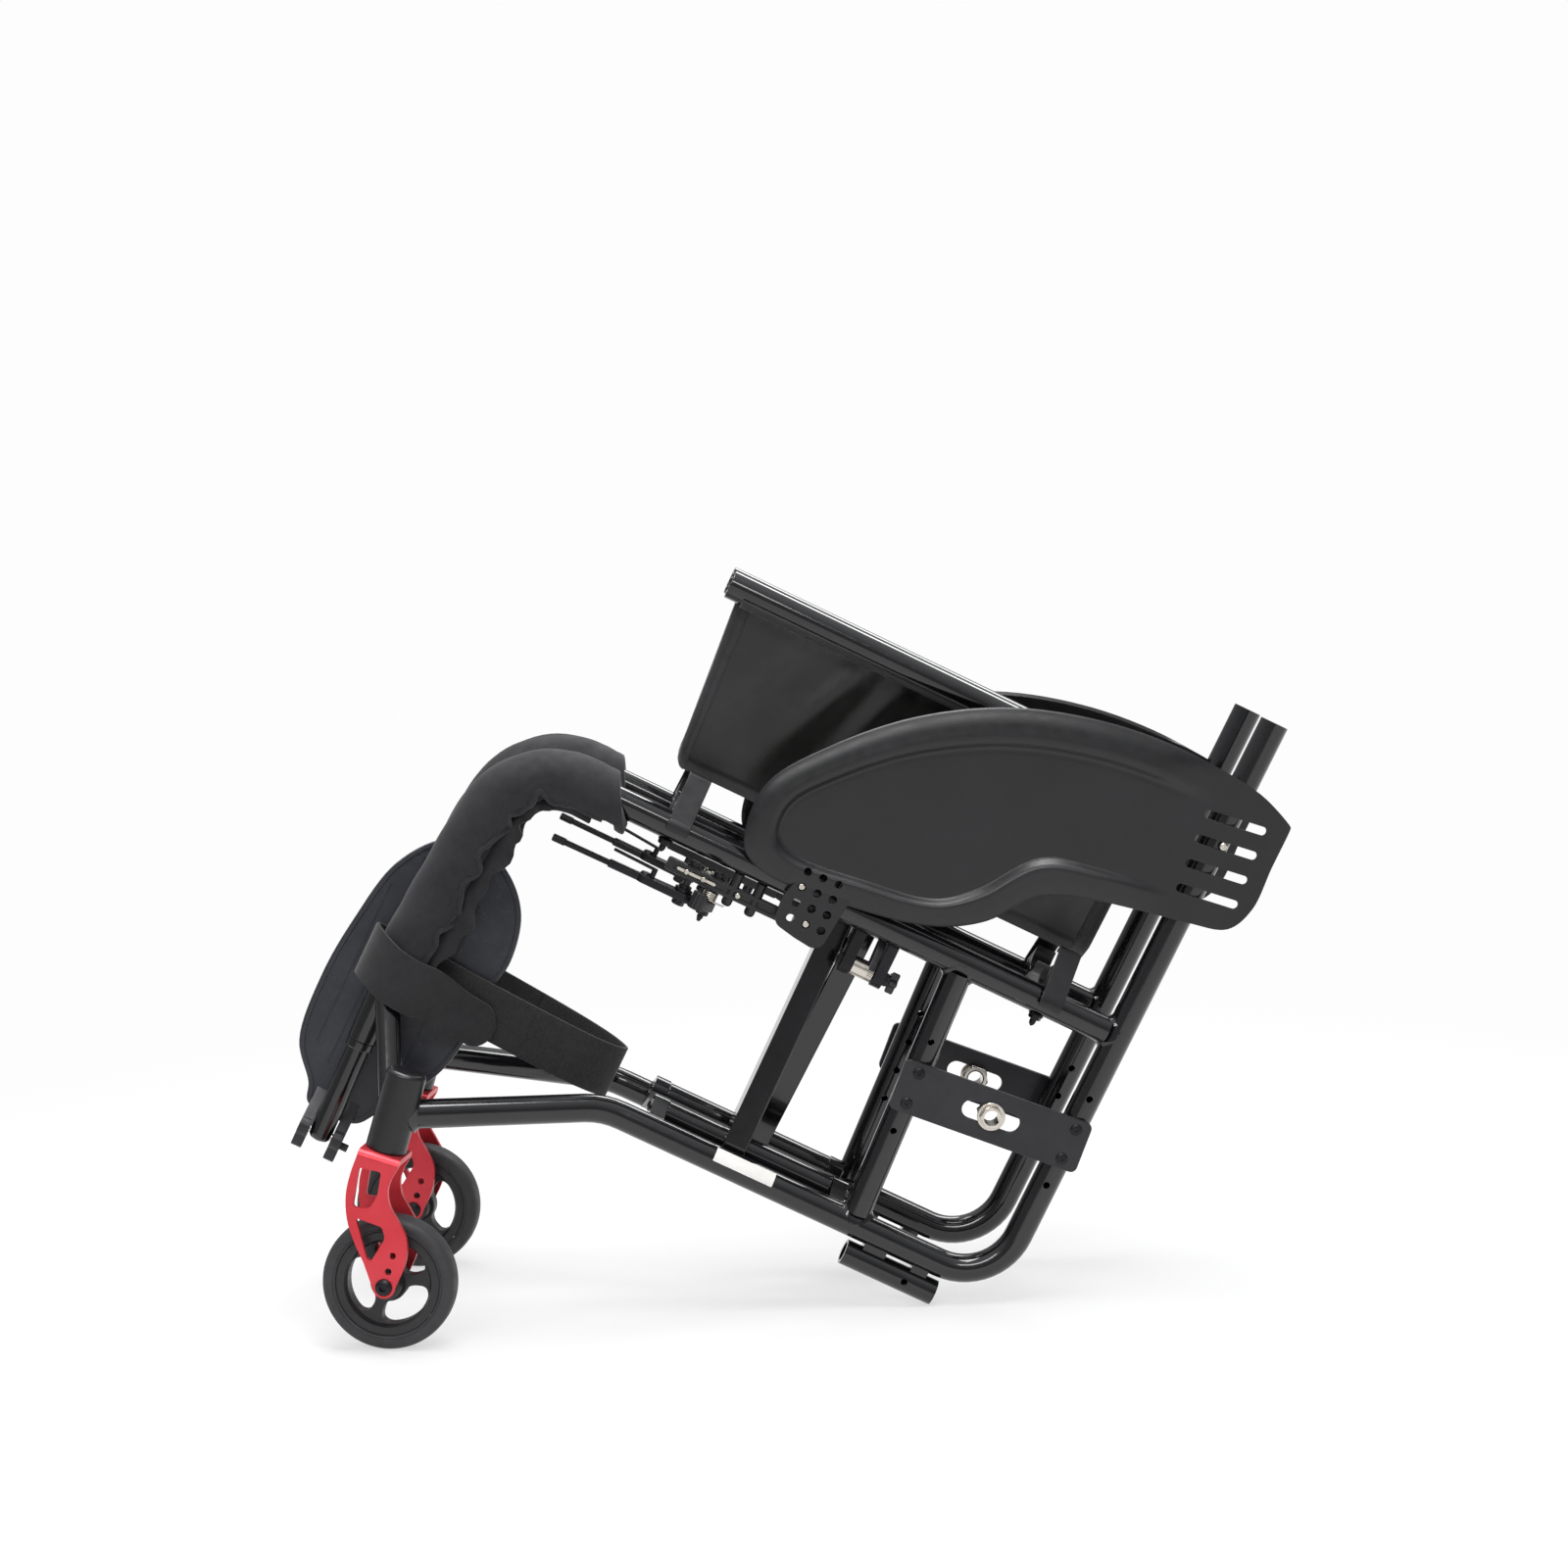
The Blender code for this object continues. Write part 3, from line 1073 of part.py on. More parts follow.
def make_seat_sling():
    """Seat sling, hanging folded in a narrow U between the two rails."""
    stations = [SLING_FRONT_U + (SLING_REAR_U - SLING_FRONT_U) * k / 16 for k in range(17)]
    levels = (0.0, 0.10, 0.35, 0.65, 1.0)
    rings = []
    bm = bmesh.new()
    for u in stations:
        bottom = sling_bottom(u)
        away = smooth_step(abs(u - BAR_U), 0.030, 0.060)
        top_half = SLING_TOP_HALF - 0.0042 * (1 - away)
        slant = 0.0120 * smooth_step(-u, -SLING_FRONT_U - 0.030, -SLING_FRONT_U)
        outer, inner = [], []
        for share in levels:
            n = bottom + (sling_top() - bottom) * share
            half = SLING_BOTTOM_HALF + (top_half - SLING_BOTTOM_HALF) * share
            fold = SLING_FOLD * away * math.sin(math.pi * share) * math.sin(45 * (u - SLING_FRONT_U) + 3 * share)
            shift = slant * (1 - share)
            lift = SLING_T * (1 - share)
            outer.append((u + shift, half - abs(fold), n))
            inner.append((u + shift, half - abs(fold) - SLING_T, n + lift))
        one_side = outer[::-1]
        section = one_side + [(x, -y, z) for x, y, z in outer]
        section += [(x, -y, z) for x, y, z in inner[::-1]] + inner
        rings.append([bm.verts.new(p) for p in section])
    count = len(rings[0])
    for near, far in zip(rings, rings[1:]):
        for k in range(count):
            j = (k + 1) % count
            bm.faces.new((near[k], near[j], far[j], far[k]))
    bm.faces.new(rings[0])
    bm.faces.new(rings[-1])
    piece("seat_sling", bm, SEAT_FABRIC)


def make_calf_strap():
    """Calf strap: a cuff round each front tube and a slack loop of webbing between them."""
    half_path = ((-0.5090, 0.0335), (-0.4700, 0.0350), (-0.4300, 0.0330), (-0.3900, 0.0290), (-0.3600, 0.0225),
                 (-0.3430, 0.0130), (STRAP_REAR_U, 0.0))
    path = [Vector((u, w)) for u, w in half_path]
    path += [Vector((p.x, -p.y)) for p in reversed(path[:-1])]
    outer, inner = [], []
    for i, point in enumerate(path):
        run = (path[min(i + 1, len(path) - 1)] - path[max(i - 1, 0)]).normalized()
        across = Vector((-run.y, run.x)) * STRAP_T / 2
        outer.append(tuple(point + across))
        inner.append(tuple(point - across))
    band = slab(outer + inner[::-1], STRAP_H)
    length = STRAP_REAR_U - path[0].x
    for vert in band.verts:
        share = (vert.co.x - path[0].x) / length
        middle = STRAP_CUFF_N + (STRAP_LOW_N - STRAP_CUFF_N) * share
        vert.co.z += middle - STRAP_H / 2
    cuffs, bores = [], []
    lean = Matrix.Rotation(CUFF_LEAN, 4, "Y")
    for side in SIDES.values():
        place = Matrix.Diagonal((1, side, 1, 1)) @ Matrix.Translation(front_tube_point(STRAP_CUFF_N)) @ lean
        start = Matrix.Translation((-0.0010, 0, -STRAP_H / 2))
        oval = [(CUFF_HALF_U * math.cos(t), CUFF_HALF_W * math.sin(t)) for t in
                [2 * math.pi * k / 20 for k in range(20)]]
        hollow = [(x * (1 - STRAP_T / CUFF_HALF_U), y * (1 - STRAP_T / CUFF_HALF_W)) for x, y in oval]
        cuffs.append(slab(oval, STRAP_H, place @ start))
        bores.append(slab(hollow, 2 * STRAP_H, place @ start @ Matrix.Translation((0, 0, -STRAP_H / 2))))
    for cuff in cuffs + bores:
        bmesh.ops.recalc_face_normals(cuff, faces=cuff.faces)
    piece("calf_strap", band, WEBBING, joined=cuffs, cut=bores)


def make_side(name, side):
    """Everything that one side of the chair carries."""
    make_frame_tubes(name, side)
    make_castor_housing(name, side)
    make_castor_fork(name, side)
    make_castor_wheel(name, side)
    make_axle_mount(name, side)
    make_guard(name, side)
    for label, u in SADDLE_US.items():
        make_saddle(name, side, label, u)
    make_pivot_bracket(name, side, "front_pivot_bracket", PIVOT_TUBE_FRONT_U - RUNNING_GAP, -1)
    make_pivot_bracket(name, side, "rear_pivot_bracket", PIVOT_TUBE_REAR_U + RUNNING_GAP, 1)
    make_receiver(name, side)
    make_hanger(name, side)
    make_knee_sleeve(name, side)
    make_seat_rail(name, side)
    make_fold_link(name, side)
    make_brake(name, side)


def solid_points(obj, graph):
    """Corners of the finished solid in the chassis's own frame."""
    evaluated = obj.evaluated_get(graph)
    mesh = evaluated.to_mesh()
    points = np.empty(len(mesh.vertices) * 3)
    mesh.vertices.foreach_get("co", points)
    evaluated.to_mesh_clear()
    return points.reshape(-1, 3) + np.array(obj.location)


def lowest(points, tilt):
    """Lowest height of the points once the chassis is tipped."""
    return float((points[:, 2] * math.cos(tilt) - points[:, 0] * math.sin(tilt)).min())


def settle():
    """Tip the chassis until castors and receivers stand on one floor, centred on its own footprint."""
    bpy.context.view_layer.update()
    graph = bpy.context.evaluated_depsgraph_get()
    solids = {o.name: solid_points(o, graph) for o in bpy.data.objects if o.type == "MESH" and not o.hide_render}
    front = np.concatenate([p for name, p in solids.items() if name.endswith("castor_tyre")])
    rear = np.concatenate([p for name, p in solids.items() if name.endswith("anti_tip_receiver")])
    low, high = 0.0, math.radians(60)
    for _ in range(60):
        tilt = (low + high) / 2
        if lowest(front, tilt) < lowest(rear, tilt):
            low = tilt
        else:
            high = tilt
    turn = np.array(Matrix.Rotation(tilt, 3, "Y"))
    placed = np.concatenate(list(solids.values())) @ turn.T
    least, most = placed.min(axis=0), placed.max(axis=0)
    CHASSIS.rotation_euler = (0, tilt, 0)
    CHASSIS.location = (-(least[0] + most[0]) / 2, -(least[1] + most[1]) / 2, -least[2])
    bpy.context.view_layer.update()


for side_name, side_sign in SIDES.items():
    make_side(side_name, side_sign)
make_brace("left", SIDES["left"], BAR_U - BAR_GAP / 2 - BAR_T)
make_brace("right", SIDES["right"], BAR_U + BAR_GAP / 2)
make_brace_bolt()
make_footplate()
make_seat_sling()
make_calf_strap()
settle()
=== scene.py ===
"""Folded wheelchair frame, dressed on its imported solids.

A piece of one side is drawn once in half coordinates, in metres: x runs rearwards along the
lower tubes, y is the distance out from the centre plane and z is square to the tubes. It is
then copied to the left and the right side of the tipped chassis.
"""

import json
import logging
import math
from collections.abc import Callable, Sequence
from dataclasses import dataclass
from enum import Enum

import bpy
from mathutils import Matrix, Quaternion, Vector


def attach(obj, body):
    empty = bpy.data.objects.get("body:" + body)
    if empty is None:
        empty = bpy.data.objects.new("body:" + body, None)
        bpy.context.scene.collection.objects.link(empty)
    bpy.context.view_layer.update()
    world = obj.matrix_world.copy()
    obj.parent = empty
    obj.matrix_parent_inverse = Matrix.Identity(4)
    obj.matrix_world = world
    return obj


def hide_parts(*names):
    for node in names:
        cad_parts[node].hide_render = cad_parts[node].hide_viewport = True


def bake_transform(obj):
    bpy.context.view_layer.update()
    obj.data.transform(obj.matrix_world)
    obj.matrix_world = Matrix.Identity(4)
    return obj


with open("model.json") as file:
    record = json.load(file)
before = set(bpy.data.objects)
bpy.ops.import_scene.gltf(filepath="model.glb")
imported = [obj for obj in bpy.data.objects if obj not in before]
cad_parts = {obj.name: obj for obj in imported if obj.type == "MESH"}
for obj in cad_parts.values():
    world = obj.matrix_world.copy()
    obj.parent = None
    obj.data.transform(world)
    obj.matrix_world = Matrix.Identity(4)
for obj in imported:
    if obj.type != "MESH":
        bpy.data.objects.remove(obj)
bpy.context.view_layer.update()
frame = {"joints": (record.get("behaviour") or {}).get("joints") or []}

LOG = logging.getLogger("wheelchair")

Object = bpy.types.Object
Material = bpy.types.Material
Point = tuple[float, float]
HALF_TURN = math.pi
FULL_TURN = 2 * math.pi
REAR = Vector((1, 0, 0))
OUT = Vector((0, 1, 0))
UP = Vector((0, 0, 1))
UPSIDE_DOWN = Matrix.Rotation(HALF_TURN, 4, "X")


class Side(Enum):
    """A side of the chair, as the sign of y."""

    LEFT = -1
    RIGHT = 1

    @property
    def label(self) -> str:
        """Name that pieces of this side start with."""
        return self.name.lower()

    @property
    def mirror(self) -> Matrix:
        """Matrix from half coordinates to this side of the chassis."""
        return Matrix.Diagonal((1, self.value, 1, 1))


@dataclass(frozen=True)
class Chassis:
    """Sizes that the whole chair shares, in metres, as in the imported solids."""

    tube_r: float = 0.0111
    wall: float = 0.0020
    side_w: float = 0.0550
    frame_h: float = 0.2205
    post_top: float = 0.4900
    corner_r: float = 0.0460
    bend_u: float = -0.3350
    bend_r: float = 0.0600
    knee_u: float = -0.5100
    knee_r: float = 0.0600
    front_lean: float = math.radians(4.4)
    ankle_n: float = 0.0100
    ankle_r: float = 0.1200
    front_end_n: float = -0.0310
    hanger_lean: float = math.radians(1.5)
    post_foot_u: float = -0.1215
    post_lean: float = math.radians(3.2)
    castor_w: float = 0.1090
    stem_foot: Point = (-0.4730, -0.0862)
    stem_lean: float = math.radians(9.6)
    swivel: float = math.radians(8)
    brace_half: float = 0.19895
    folded: float = math.radians(8.97)
    pivot_w: float = 0.0310
    pivot_n: float = 0.0120
    bar_u: float = -0.2180
    gap: float = 0.0003

    def front_tube(self, n: float) -> Vector:
        """Point on the leaning front tube at this height."""
        return Vector((self.knee_u - (self.frame_h - n) * math.tan(self.front_lean), self.side_w, n))

    def hanger(self, n: float) -> Vector:
        """Point on the footplate hanger's axis at this height."""
        ankle = self.front_tube(self.ankle_n)
        return Vector((ankle.x + (self.ankle_n - n) * math.tan(self.hanger_lean), self.side_w, n))

    def wheel_post(self, n: float) -> Vector:
        """Point on the wheel post's axis at this height."""
        return Vector((self.post_foot_u - n * math.tan(self.post_lean), self.side_w, n))

    def stem_frame(self) -> Matrix:
        """Matrix of the castor stem: x to the rear, z up the stem, origin at the housing's foot."""
        u, n = self.stem_foot
        return Matrix.Translation((u, self.castor_w, n)) @ Matrix.Rotation(-self.stem_lean, 4, "Y")

    def stem(self, height: float) -> Vector:
        """Point on the castor stem's axis."""
        return self.stem_frame() @ Vector((0, 0, height))

    def castor_frame(self, side: Side) -> Matrix:
        """Matrix of a side's fork, turned a little about its stem, in half coordinates."""
        return self.stem_frame() @ Matrix.Rotation(-side.value * self.swivel, 4, "Z")

    def brace(self, reach: float) -> Point:
        """Point along a brace from its lower pivot, as (w, n) of that side, in the folded chair."""
        w = self.pivot_w - reach * math.sin(self.folded)
        return w, self.pivot_n + reach * math.cos(self.folded)

    def placed(self) -> Matrix:
        """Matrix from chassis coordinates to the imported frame, read from its fold joint.

        Returns:
            The matrix.
        """
        fold = next(joint for joint in frame["joints"] if joint["name"] == "fold")
        back = -Vector(fold["axis"])
        turn = Matrix((back, OUT, back.cross(OUT))).transposed().to_4x4()
        held = Vector((self.bar_u, -self.pivot_w, self.pivot_n))
        return Matrix.Translation(Vector(fold["pos_m"]) - turn @ held) @ turn


C = Chassis()
PLACED = C.placed()


def along_u(u: float, w: float = 0.0, n: float = 0.0) -> Matrix:
    """Matrix of a plane square to u: x is w, y is n and z runs rearwards."""
    return Matrix(((0, 0, 1, u), (1, 0, 0, w), (0, 1, 0, n), (0, 0, 0, 1)))


def along_w(w: float, u: float = 0.0, n: float = 0.0) -> Matrix:
    """Matrix of a side plane: x is u, y is n and z runs outwards."""
    return Matrix(((1, 0, 0, u), (0, 0, 1, w), (0, 1, 0, n), (0, 0, 0, 1)))


def along_n(n: float, u: float = 0.0, w: float = 0.0) -> Matrix:
    """Matrix of a plane square to n."""
    return Matrix.Translation((u, w, n))


def facing(origin: Vector, ahead: Vector, side: Vector) -> Matrix:
    """Matrix at a point with z along one direction and x near another.

    Args:
        origin: Where its origin lies.
        ahead: Direction of z.
        side: Direction that x comes close to.

    Returns:
        The matrix.
    """
    z = ahead.normalized()
    x = (side - z * side.dot(z)).normalized()
    turn = Matrix((x, z.cross(x), z)).transposed().to_4x4()
    return Matrix.Translation(origin) @ turn


def arc(centre: Point, radius: float, start: float, end: float, steps: int) -> list[Point]:
    """Points on an arc, with angles in degrees."""
    turns = [math.radians(start + (end - start) * i / steps) for i in range(steps + 1)]
    return [(centre[0] + radius * math.cos(t), centre[1] + radius * math.sin(t)) for t in turns]


def capsule(start: Point, end: Point, near_r: float, far_r: float | None = None,
            steps: int = 10) -> list[Point]:
    """Outline of two round ends joined by straight edges.

    Args:
        start: Centre of the first end.
        end: Centre of the second end.
        near_r: Radius of the first end.
        far_r: Radius of the second end, where it differs.
        steps: Steps round each end.

    Returns:
        Its corners, counter-clockwise.
    """
    far_r = near_r if far_r is None else far_r
    run = Vector(end) - Vector(start)
    heading = math.degrees(math.atan2(run.y, run.x))
    tilt = math.degrees(math.asin((near_r - far_r) / run.length))
    near = arc(start, near_r, heading + 90 - tilt, heading + 270 + tilt, steps)
    return near + arc(end, far_r, heading - 90 + tilt, heading + 90 - tilt, steps)


def curve_point(p: Sequence[Vector], share: float) -> Vector:
    """Point on the smooth curve between the second and the third of four controls.

    Args:
        p: The four controls.
        share: From 0 at the second control to 1 at the third.

    Returns:
        The point.
    """
    t0 = 0.0
    t1 = t0 + math.sqrt(max((p[1] - p[0]).length, 1e-7))
    t2 = t1 + math.sqrt(max((p[2] - p[1]).length, 1e-7))
    t3 = t2 + math.sqrt(max((p[3] - p[2]).length, 1e-7))
    t = t1 + (t2 - t1) * share
    a = p[0].lerp(p[1], (t - t0) / (t1 - t0))
    b = p[1].lerp(p[2], (t - t1) / (t2 - t1))
    c = p[2].lerp(p[3], (t - t2) / (t3 - t2))
    return a.lerp(b, (t - t0) / (t2 - t0)).lerp(b.lerp(c, (t - t1) / (t3 - t1)), (t - t1) / (t2 - t1))


def smooth_loop(controls: Sequence[Point], count: int) -> list[Vector]:
    """Evenly numbered points on the closed smooth curve through the controls.

    Args:
        controls: The points that the curve runs through.
        count: How many points to set on it.

    Returns:
        The points, from the first control on.
    """
    total = len(controls)
    points = []
    for k in range(count):
        place = k * total / count
        i = int(place)
        points.append(curve_point([Vector(controls[(i + j) % total]) for j in (-1, 0, 1, 2)], place - i))
    return points


def smooth_line(controls: Sequence[Vector], steps: int) -> list[Vector]:
    """Points on the open smooth curve through the controls, with so many steps between each two.

    Args:
        controls: The points that the curve runs through.
        steps: Steps between each two controls.

    Returns:
        The points, with both ends.
    """
    ends = [2 * controls[0] - controls[1], *controls, 2 * controls[-1] - controls[-2]]
    points = [curve_point(p, i / steps) for p in zip(ends, ends[1:], ends[2:], ends[3:])
              for i in range(steps)]
    return [*points, controls[-1].copy()]


def smooth_step(value: float, start: float, end: float) -> float:
    """0 before start, 1 after end, and an even slope between them."""
    t = min(max((value - start) / (end - start), 0), 1)
    return t * t * (3 - 2 * t)


def inset(loop: Sequence[Vector], distance: float) -> list[Vector]:
    """A smooth counter-clockwise loop moved inwards.

    Args:
        loop: Its points in order.
        distance: How far each one moves.

    Returns:
        The points of the inner loop.
    """
    points = []
    for k, point in enumerate(loop):
        run = (loop[(k + 1) % len(loop)] - loop[k - 1]).normalized()
        points.append(point + Vector((-run.y, run.x)) * distance)
    return points


def deselect() -> None:
    """Leave every object unselected, in object mode."""
    if bpy.context.mode != "OBJECT":
        bpy.ops.object.mode_set(mode="OBJECT")
    bpy.ops.object.select_all(action="DESELECT")


def moved(obj: Object, place: Matrix) -> Object:
    """Move a mesh, and turn its faces out again where the move mirrors it.

    Args:
        obj: The mesh object.
        place: The move.

    Returns:
        The object itself.
    """
    obj.data.transform(place)
    if place.is_negative:
        obj.data.flip_normals()
    return obj


def shifted(obj: Object, x: float, y: float, z: float) -> Object:
    """Move a mesh by so much along each axis."""
    return moved(obj, Matrix.Translation((x, y, z)))


def hold(*objects: Object) -> None:
    """Select these objects alone and make the first one active."""
    deselect()
    for obj in objects:
        obj.select_set(True)
    bpy.context.view_layer.objects.active = objects[0]


def applied(obj: Object, kind: str, **settings: object) -> Object:
    """Put one modifier on a mesh and apply it.

    Args:
        obj: The mesh object.
        kind: The modifier's type.
        settings: Its properties by name.

    Returns:
        The object itself.
    """
    hold(obj)
    step = obj.modifiers.new(kind.lower(), kind)
    for key, value in settings.items():
        setattr(step, key, value)
    bpy.ops.object.modifier_apply(modifier=step.name)
    return obj


def edit(obj: Object, kind: str = "VERT", pick: Callable | None = None) -> None:
    """Enter edit mode on one object with the picked elements selected, or all of them.

    Args:
        obj: The mesh object.
        kind: VERT, EDGE or FACE.
        pick: Says of a vertex, edge or polygon whether it is wanted.
    """
    hold(obj)
    bpy.context.tool_settings.mesh_select_mode = [kind == k for k in ("VERT", "EDGE", "FACE")]
    mesh = obj.data
    for group in (mesh.vertices, mesh.edges, mesh.polygons):
        group.foreach_set("select", [pick is None] * len(group))
    if pick is not None:
        chosen = {"VERT": mesh.vertices, "EDGE": mesh.edges, "FACE": mesh.polygons}[kind]
        for element in chosen:
            element.select = bool(pick(element))
    bpy.ops.object.mode_set(mode="EDIT")


def extrude(x: float, y: float, z: float) -> None:
    """Extrude what is selected and move it."""
    bpy.ops.mesh.extrude_region_move(TRANSFORM_OT_translate={"value": (x, y, z)})


def close_up(obj: Object, ring: bool = False) -> Object:
    """Close a shell's open ends, or bridge them to each other, and turn its faces outwards.

    Args:
        obj: The mesh object.
        ring: True where its two ends are bridged to each other.

    Returns:
        The object itself.
    """
    if bpy.context.mode != "EDIT_MESH":
        edit(obj)
    bpy.ops.mesh.select_all(action="DESELECT")
    if ring:
        bpy.ops.mesh.select_non_manifold()
        bpy.ops.mesh.bridge_edge_loops()
    bpy.ops.mesh.select_all(action="SELECT")
    if not ring:
        bpy.ops.mesh.fill_holes(sides=0)
    bpy.ops.mesh.normals_make_consistent(inside=False)
    bpy.ops.object.mode_set(mode="OBJECT")
    return obj


def turned(profile: Sequence[Point], sides: int = 32, ring: bool = False) -> Object:
    """A lathe-turned shape about z, drawn out ring by ring.

    Args:
        profile: (radius, height) pairs from end to end.
        sides: How many sides it has.
        ring: True where the profile closes on itself away from the axis.

    Returns:
        The closed shape.
    """
    deselect()
    bpy.ops.mesh.primitive_circle_add(vertices=sides, radius=profile[0][0], fill_type="NOTHING")
    obj = bpy.context.object
    edit(obj)
    bpy.ops.transform.translate(value=(0, 0, profile[0][1]))
    for (radius, height), (next_radius, next_height) in zip(profile, profile[1:]):
        extrude(0, 0, next_height - height)
        share = next_radius / radius
        bpy.ops.transform.resize(value=(share, share, 1), center_override=(0, 0, next_height))
    return close_up(obj, ring)


def rod(start: Sequence[float], end: Sequence[float], radius: float, sides: int = 24) -> Object:
    """A straight round bar with its ends closed, as a cutter or a pin.

    Args:
        start: One end of its axis.
        end: The other end.
        radius: Its radius.
        sides: Sides of its section.

    Returns:
        The bar.
    """
    run = Vector(end) - Vector(start)
    obj = turned([(radius, 0), (radius, run.length)], sides)
    return moved(obj, facing(Vector(start), run, Vector((0.3, 1, 0.2))))


def lying(profile: Sequence[Point], sides: int, start: Sequence[float], ring: bool = True) -> Object:
    """A lathe-turned shape that lies along the chair from a point rearwards.

    Args:
        profile: (radius, length) pairs from front to rear.
        sides: How many sides it has.
        start: The point.
        ring: True where the profile closes on itself away from the axis.

    Returns:
        The closed shape.
    """
    return moved(turned(profile, sides, ring), facing(Vector(start), REAR, OUT))


def hung(profile: Sequence[Point], sides: int, w: float, n: float) -> Object:
    """A lathe-turned cutter through a plate that is drawn flat, at one of its points."""
    return shifted(turned(profile, sides), w, n, 0)


def bent_tube(corners: Sequence[Vector], bends: Sequence[float], radius: float, wall: float = 0.0,
              sides: int = 32) -> Object:
    """A round tube drawn out along straight runs and spun round its bends.

    Args:
        corners: The points where its straight axes meet, with both ends.
        bends: Bend radius at each corner between the ends.
        radius: Outer radius.
        wall: Wall of an open tube, or 0 for a closed bar.
        sides: Sides of its section.

    Returns:
        The tube.
    """
    deselect()
    ahead = (corners[1] - corners[0]).normalized()
    place = facing(corners[0], ahead, Vector((0, 1, 0.01)))
    bpy.ops.mesh.primitive_circle_add(vertices=sides, radius=radius, fill_type="NOTHING")
    obj = bpy.context.object
    moved(obj, place)
    edit(obj)
    here = corners[0]
    for before, corner, after, bend in zip(corners, corners[1:], corners[2:], bends):
        back = (before - corner).normalized()
        ahead = (after - corner).normalized()
        turn = math.pi - back.angle(ahead)
        reach = bend * math.tan(turn / 2)
        extrude(*(corner + back * reach - here))
        centre = corner + (back + ahead).normalized() * bend / math.cos(turn / 2)
        axis = (-back).cross(ahead).normalized()
        steps = max(3, round(turn / math.radians(7)))
        bpy.ops.mesh.spin(steps=steps, angle=-turn, center=centre, axis=axis)
        here = corner + ahead * reach
    extrude(*(corners[-1] - here))
    bpy.ops.mesh.select_all(action="SELECT")
    bpy.ops.mesh.remove_doubles(threshold=1e-6)
    bpy.ops.mesh.normals_make_consistent(inside=False)
    if not wall:
        return close_up(obj)
    return applied(obj, "SOLIDIFY", thickness=wall, offset=-1)


def plate(outline: Sequence[Sequence[float]], depth: float) -> Object:
    """A flat plate drawn out along z from an outline in the xy plane.

    Args:
        outline: Its corners as (x, y), or (x, y, r) where the corner is rounded.
        depth: Its thickness.

    Returns:
        The plate, standing on z = 0.
    """
    deselect()
    bpy.ops.mesh.primitive_circle_add(vertices=len(outline), fill_type="NGON")
    obj = bpy.context.object
    for vert, corner in zip(obj.data.vertices, outline):
        vert.co = (corner[0], corner[1], 0)
    for radius in sorted({corner[2] for corner in outline if len(corner) > 2}):
        spots = [Vector((c[0], c[1], 0)) for c in outline if len(c) > 2 and c[2] == radius]
        edit(obj, "VERT", lambda v, spots=spots: any((v.co - s).length < 1e-7 for s in spots))
        bpy.ops.mesh.bevel(offset=radius, segments=5, affect="VERTICES", clamp_overlap=True)
        bpy.ops.object.mode_set(mode="OBJECT")
    edit(obj, "FACE")
    extrude(0, 0, depth)
    return close_up(obj)


def lofted(loops: Sequence[Sequence[Vector]], ring: bool = False, filled: bool = True) -> Object:
    """A shell drawn out loop by loop, each loop with as many points.

    Args:
        loops: The loops in order.
        ring: True where the last loop joins the first.
        filled: True where its ends are closed.

    Returns:
        The shell.
    """
    deselect()
    bpy.ops.mesh.primitive_circle_add(vertices=len(loops[0]), fill_type="NOTHING")
    obj = bpy.context.object
    edit(obj)
    for _ in loops[1:]:
        extrude(0, 0, 1)
    bpy.ops.object.mode_set(mode="OBJECT")
    spots = [c for loop in loops for point in loop for c in point]
    obj.data.vertices.foreach_set("co", spots)
    obj.data.update()
    if ring or filled:
        return close_up(obj, ring)
    return obj


def cloth(rows: Sequence[Sequence[Vector]], thickness: float) -> Object:
    """A sheet of even thickness through a grid of points, with its edges closed.

    Args:
        rows: The points, row by row.
        thickness: Its thickness, with the points in its middle.

    Returns:
        The sheet.
    """
    deselect()
    across = len(rows[0]) - 1
    bpy.ops.mesh.primitive_grid_add(x_subdivisions=across, y_subdivisions=len(rows) - 1, size=1)
    obj = bpy.context.object
    spots = [c for row in rows for point in row for c in point]
    obj.data.vertices.foreach_set("co", spots)
    obj.data.update()
    return close_up(applied(obj, "SOLIDIFY", thickness=thickness, offset=0))


def cut(obj: Object, *cutters: Object, operation: str = "DIFFERENCE") -> Object:
    """Cut each cutter out of a solid, or join it on, and remove the cutter."""
    for cutter in cutters:
        applied(obj, "BOOLEAN", operation=operation, solver="EXACT", object=cutter)
        bpy.data.objects.remove(cutter)
    return obj


def joined(first: Object, *others: Object) -> Object:
    """Several shells as one object."""
    if others:
        hold(first, *others)
        bpy.ops.object.join()
    return first


def copied(obj: Object, place: Matrix) -> Object:
    """A copy with its own mesh, placed and facing outwards.

    Args:
        obj: The object to copy.
        place: How its mesh is moved.

    Returns:
        The copy.
    """
    twin = obj.copy()
    twin.data = obj.data.copy()
    bpy.context.scene.collection.objects.link(twin)
    return moved(twin, place)


def repeated(obj: Object, places: Sequence[Matrix]) -> Object:
    """Copies of one shell at each place, as one object.

    Args:
        obj: The shell, which is used up.
        places: How each copy is moved.

    Returns:
        The copies as one object.
    """
    twins = [copied(obj, place) for place in places]
    bpy.data.objects.remove(obj)
    return joined(*twins)


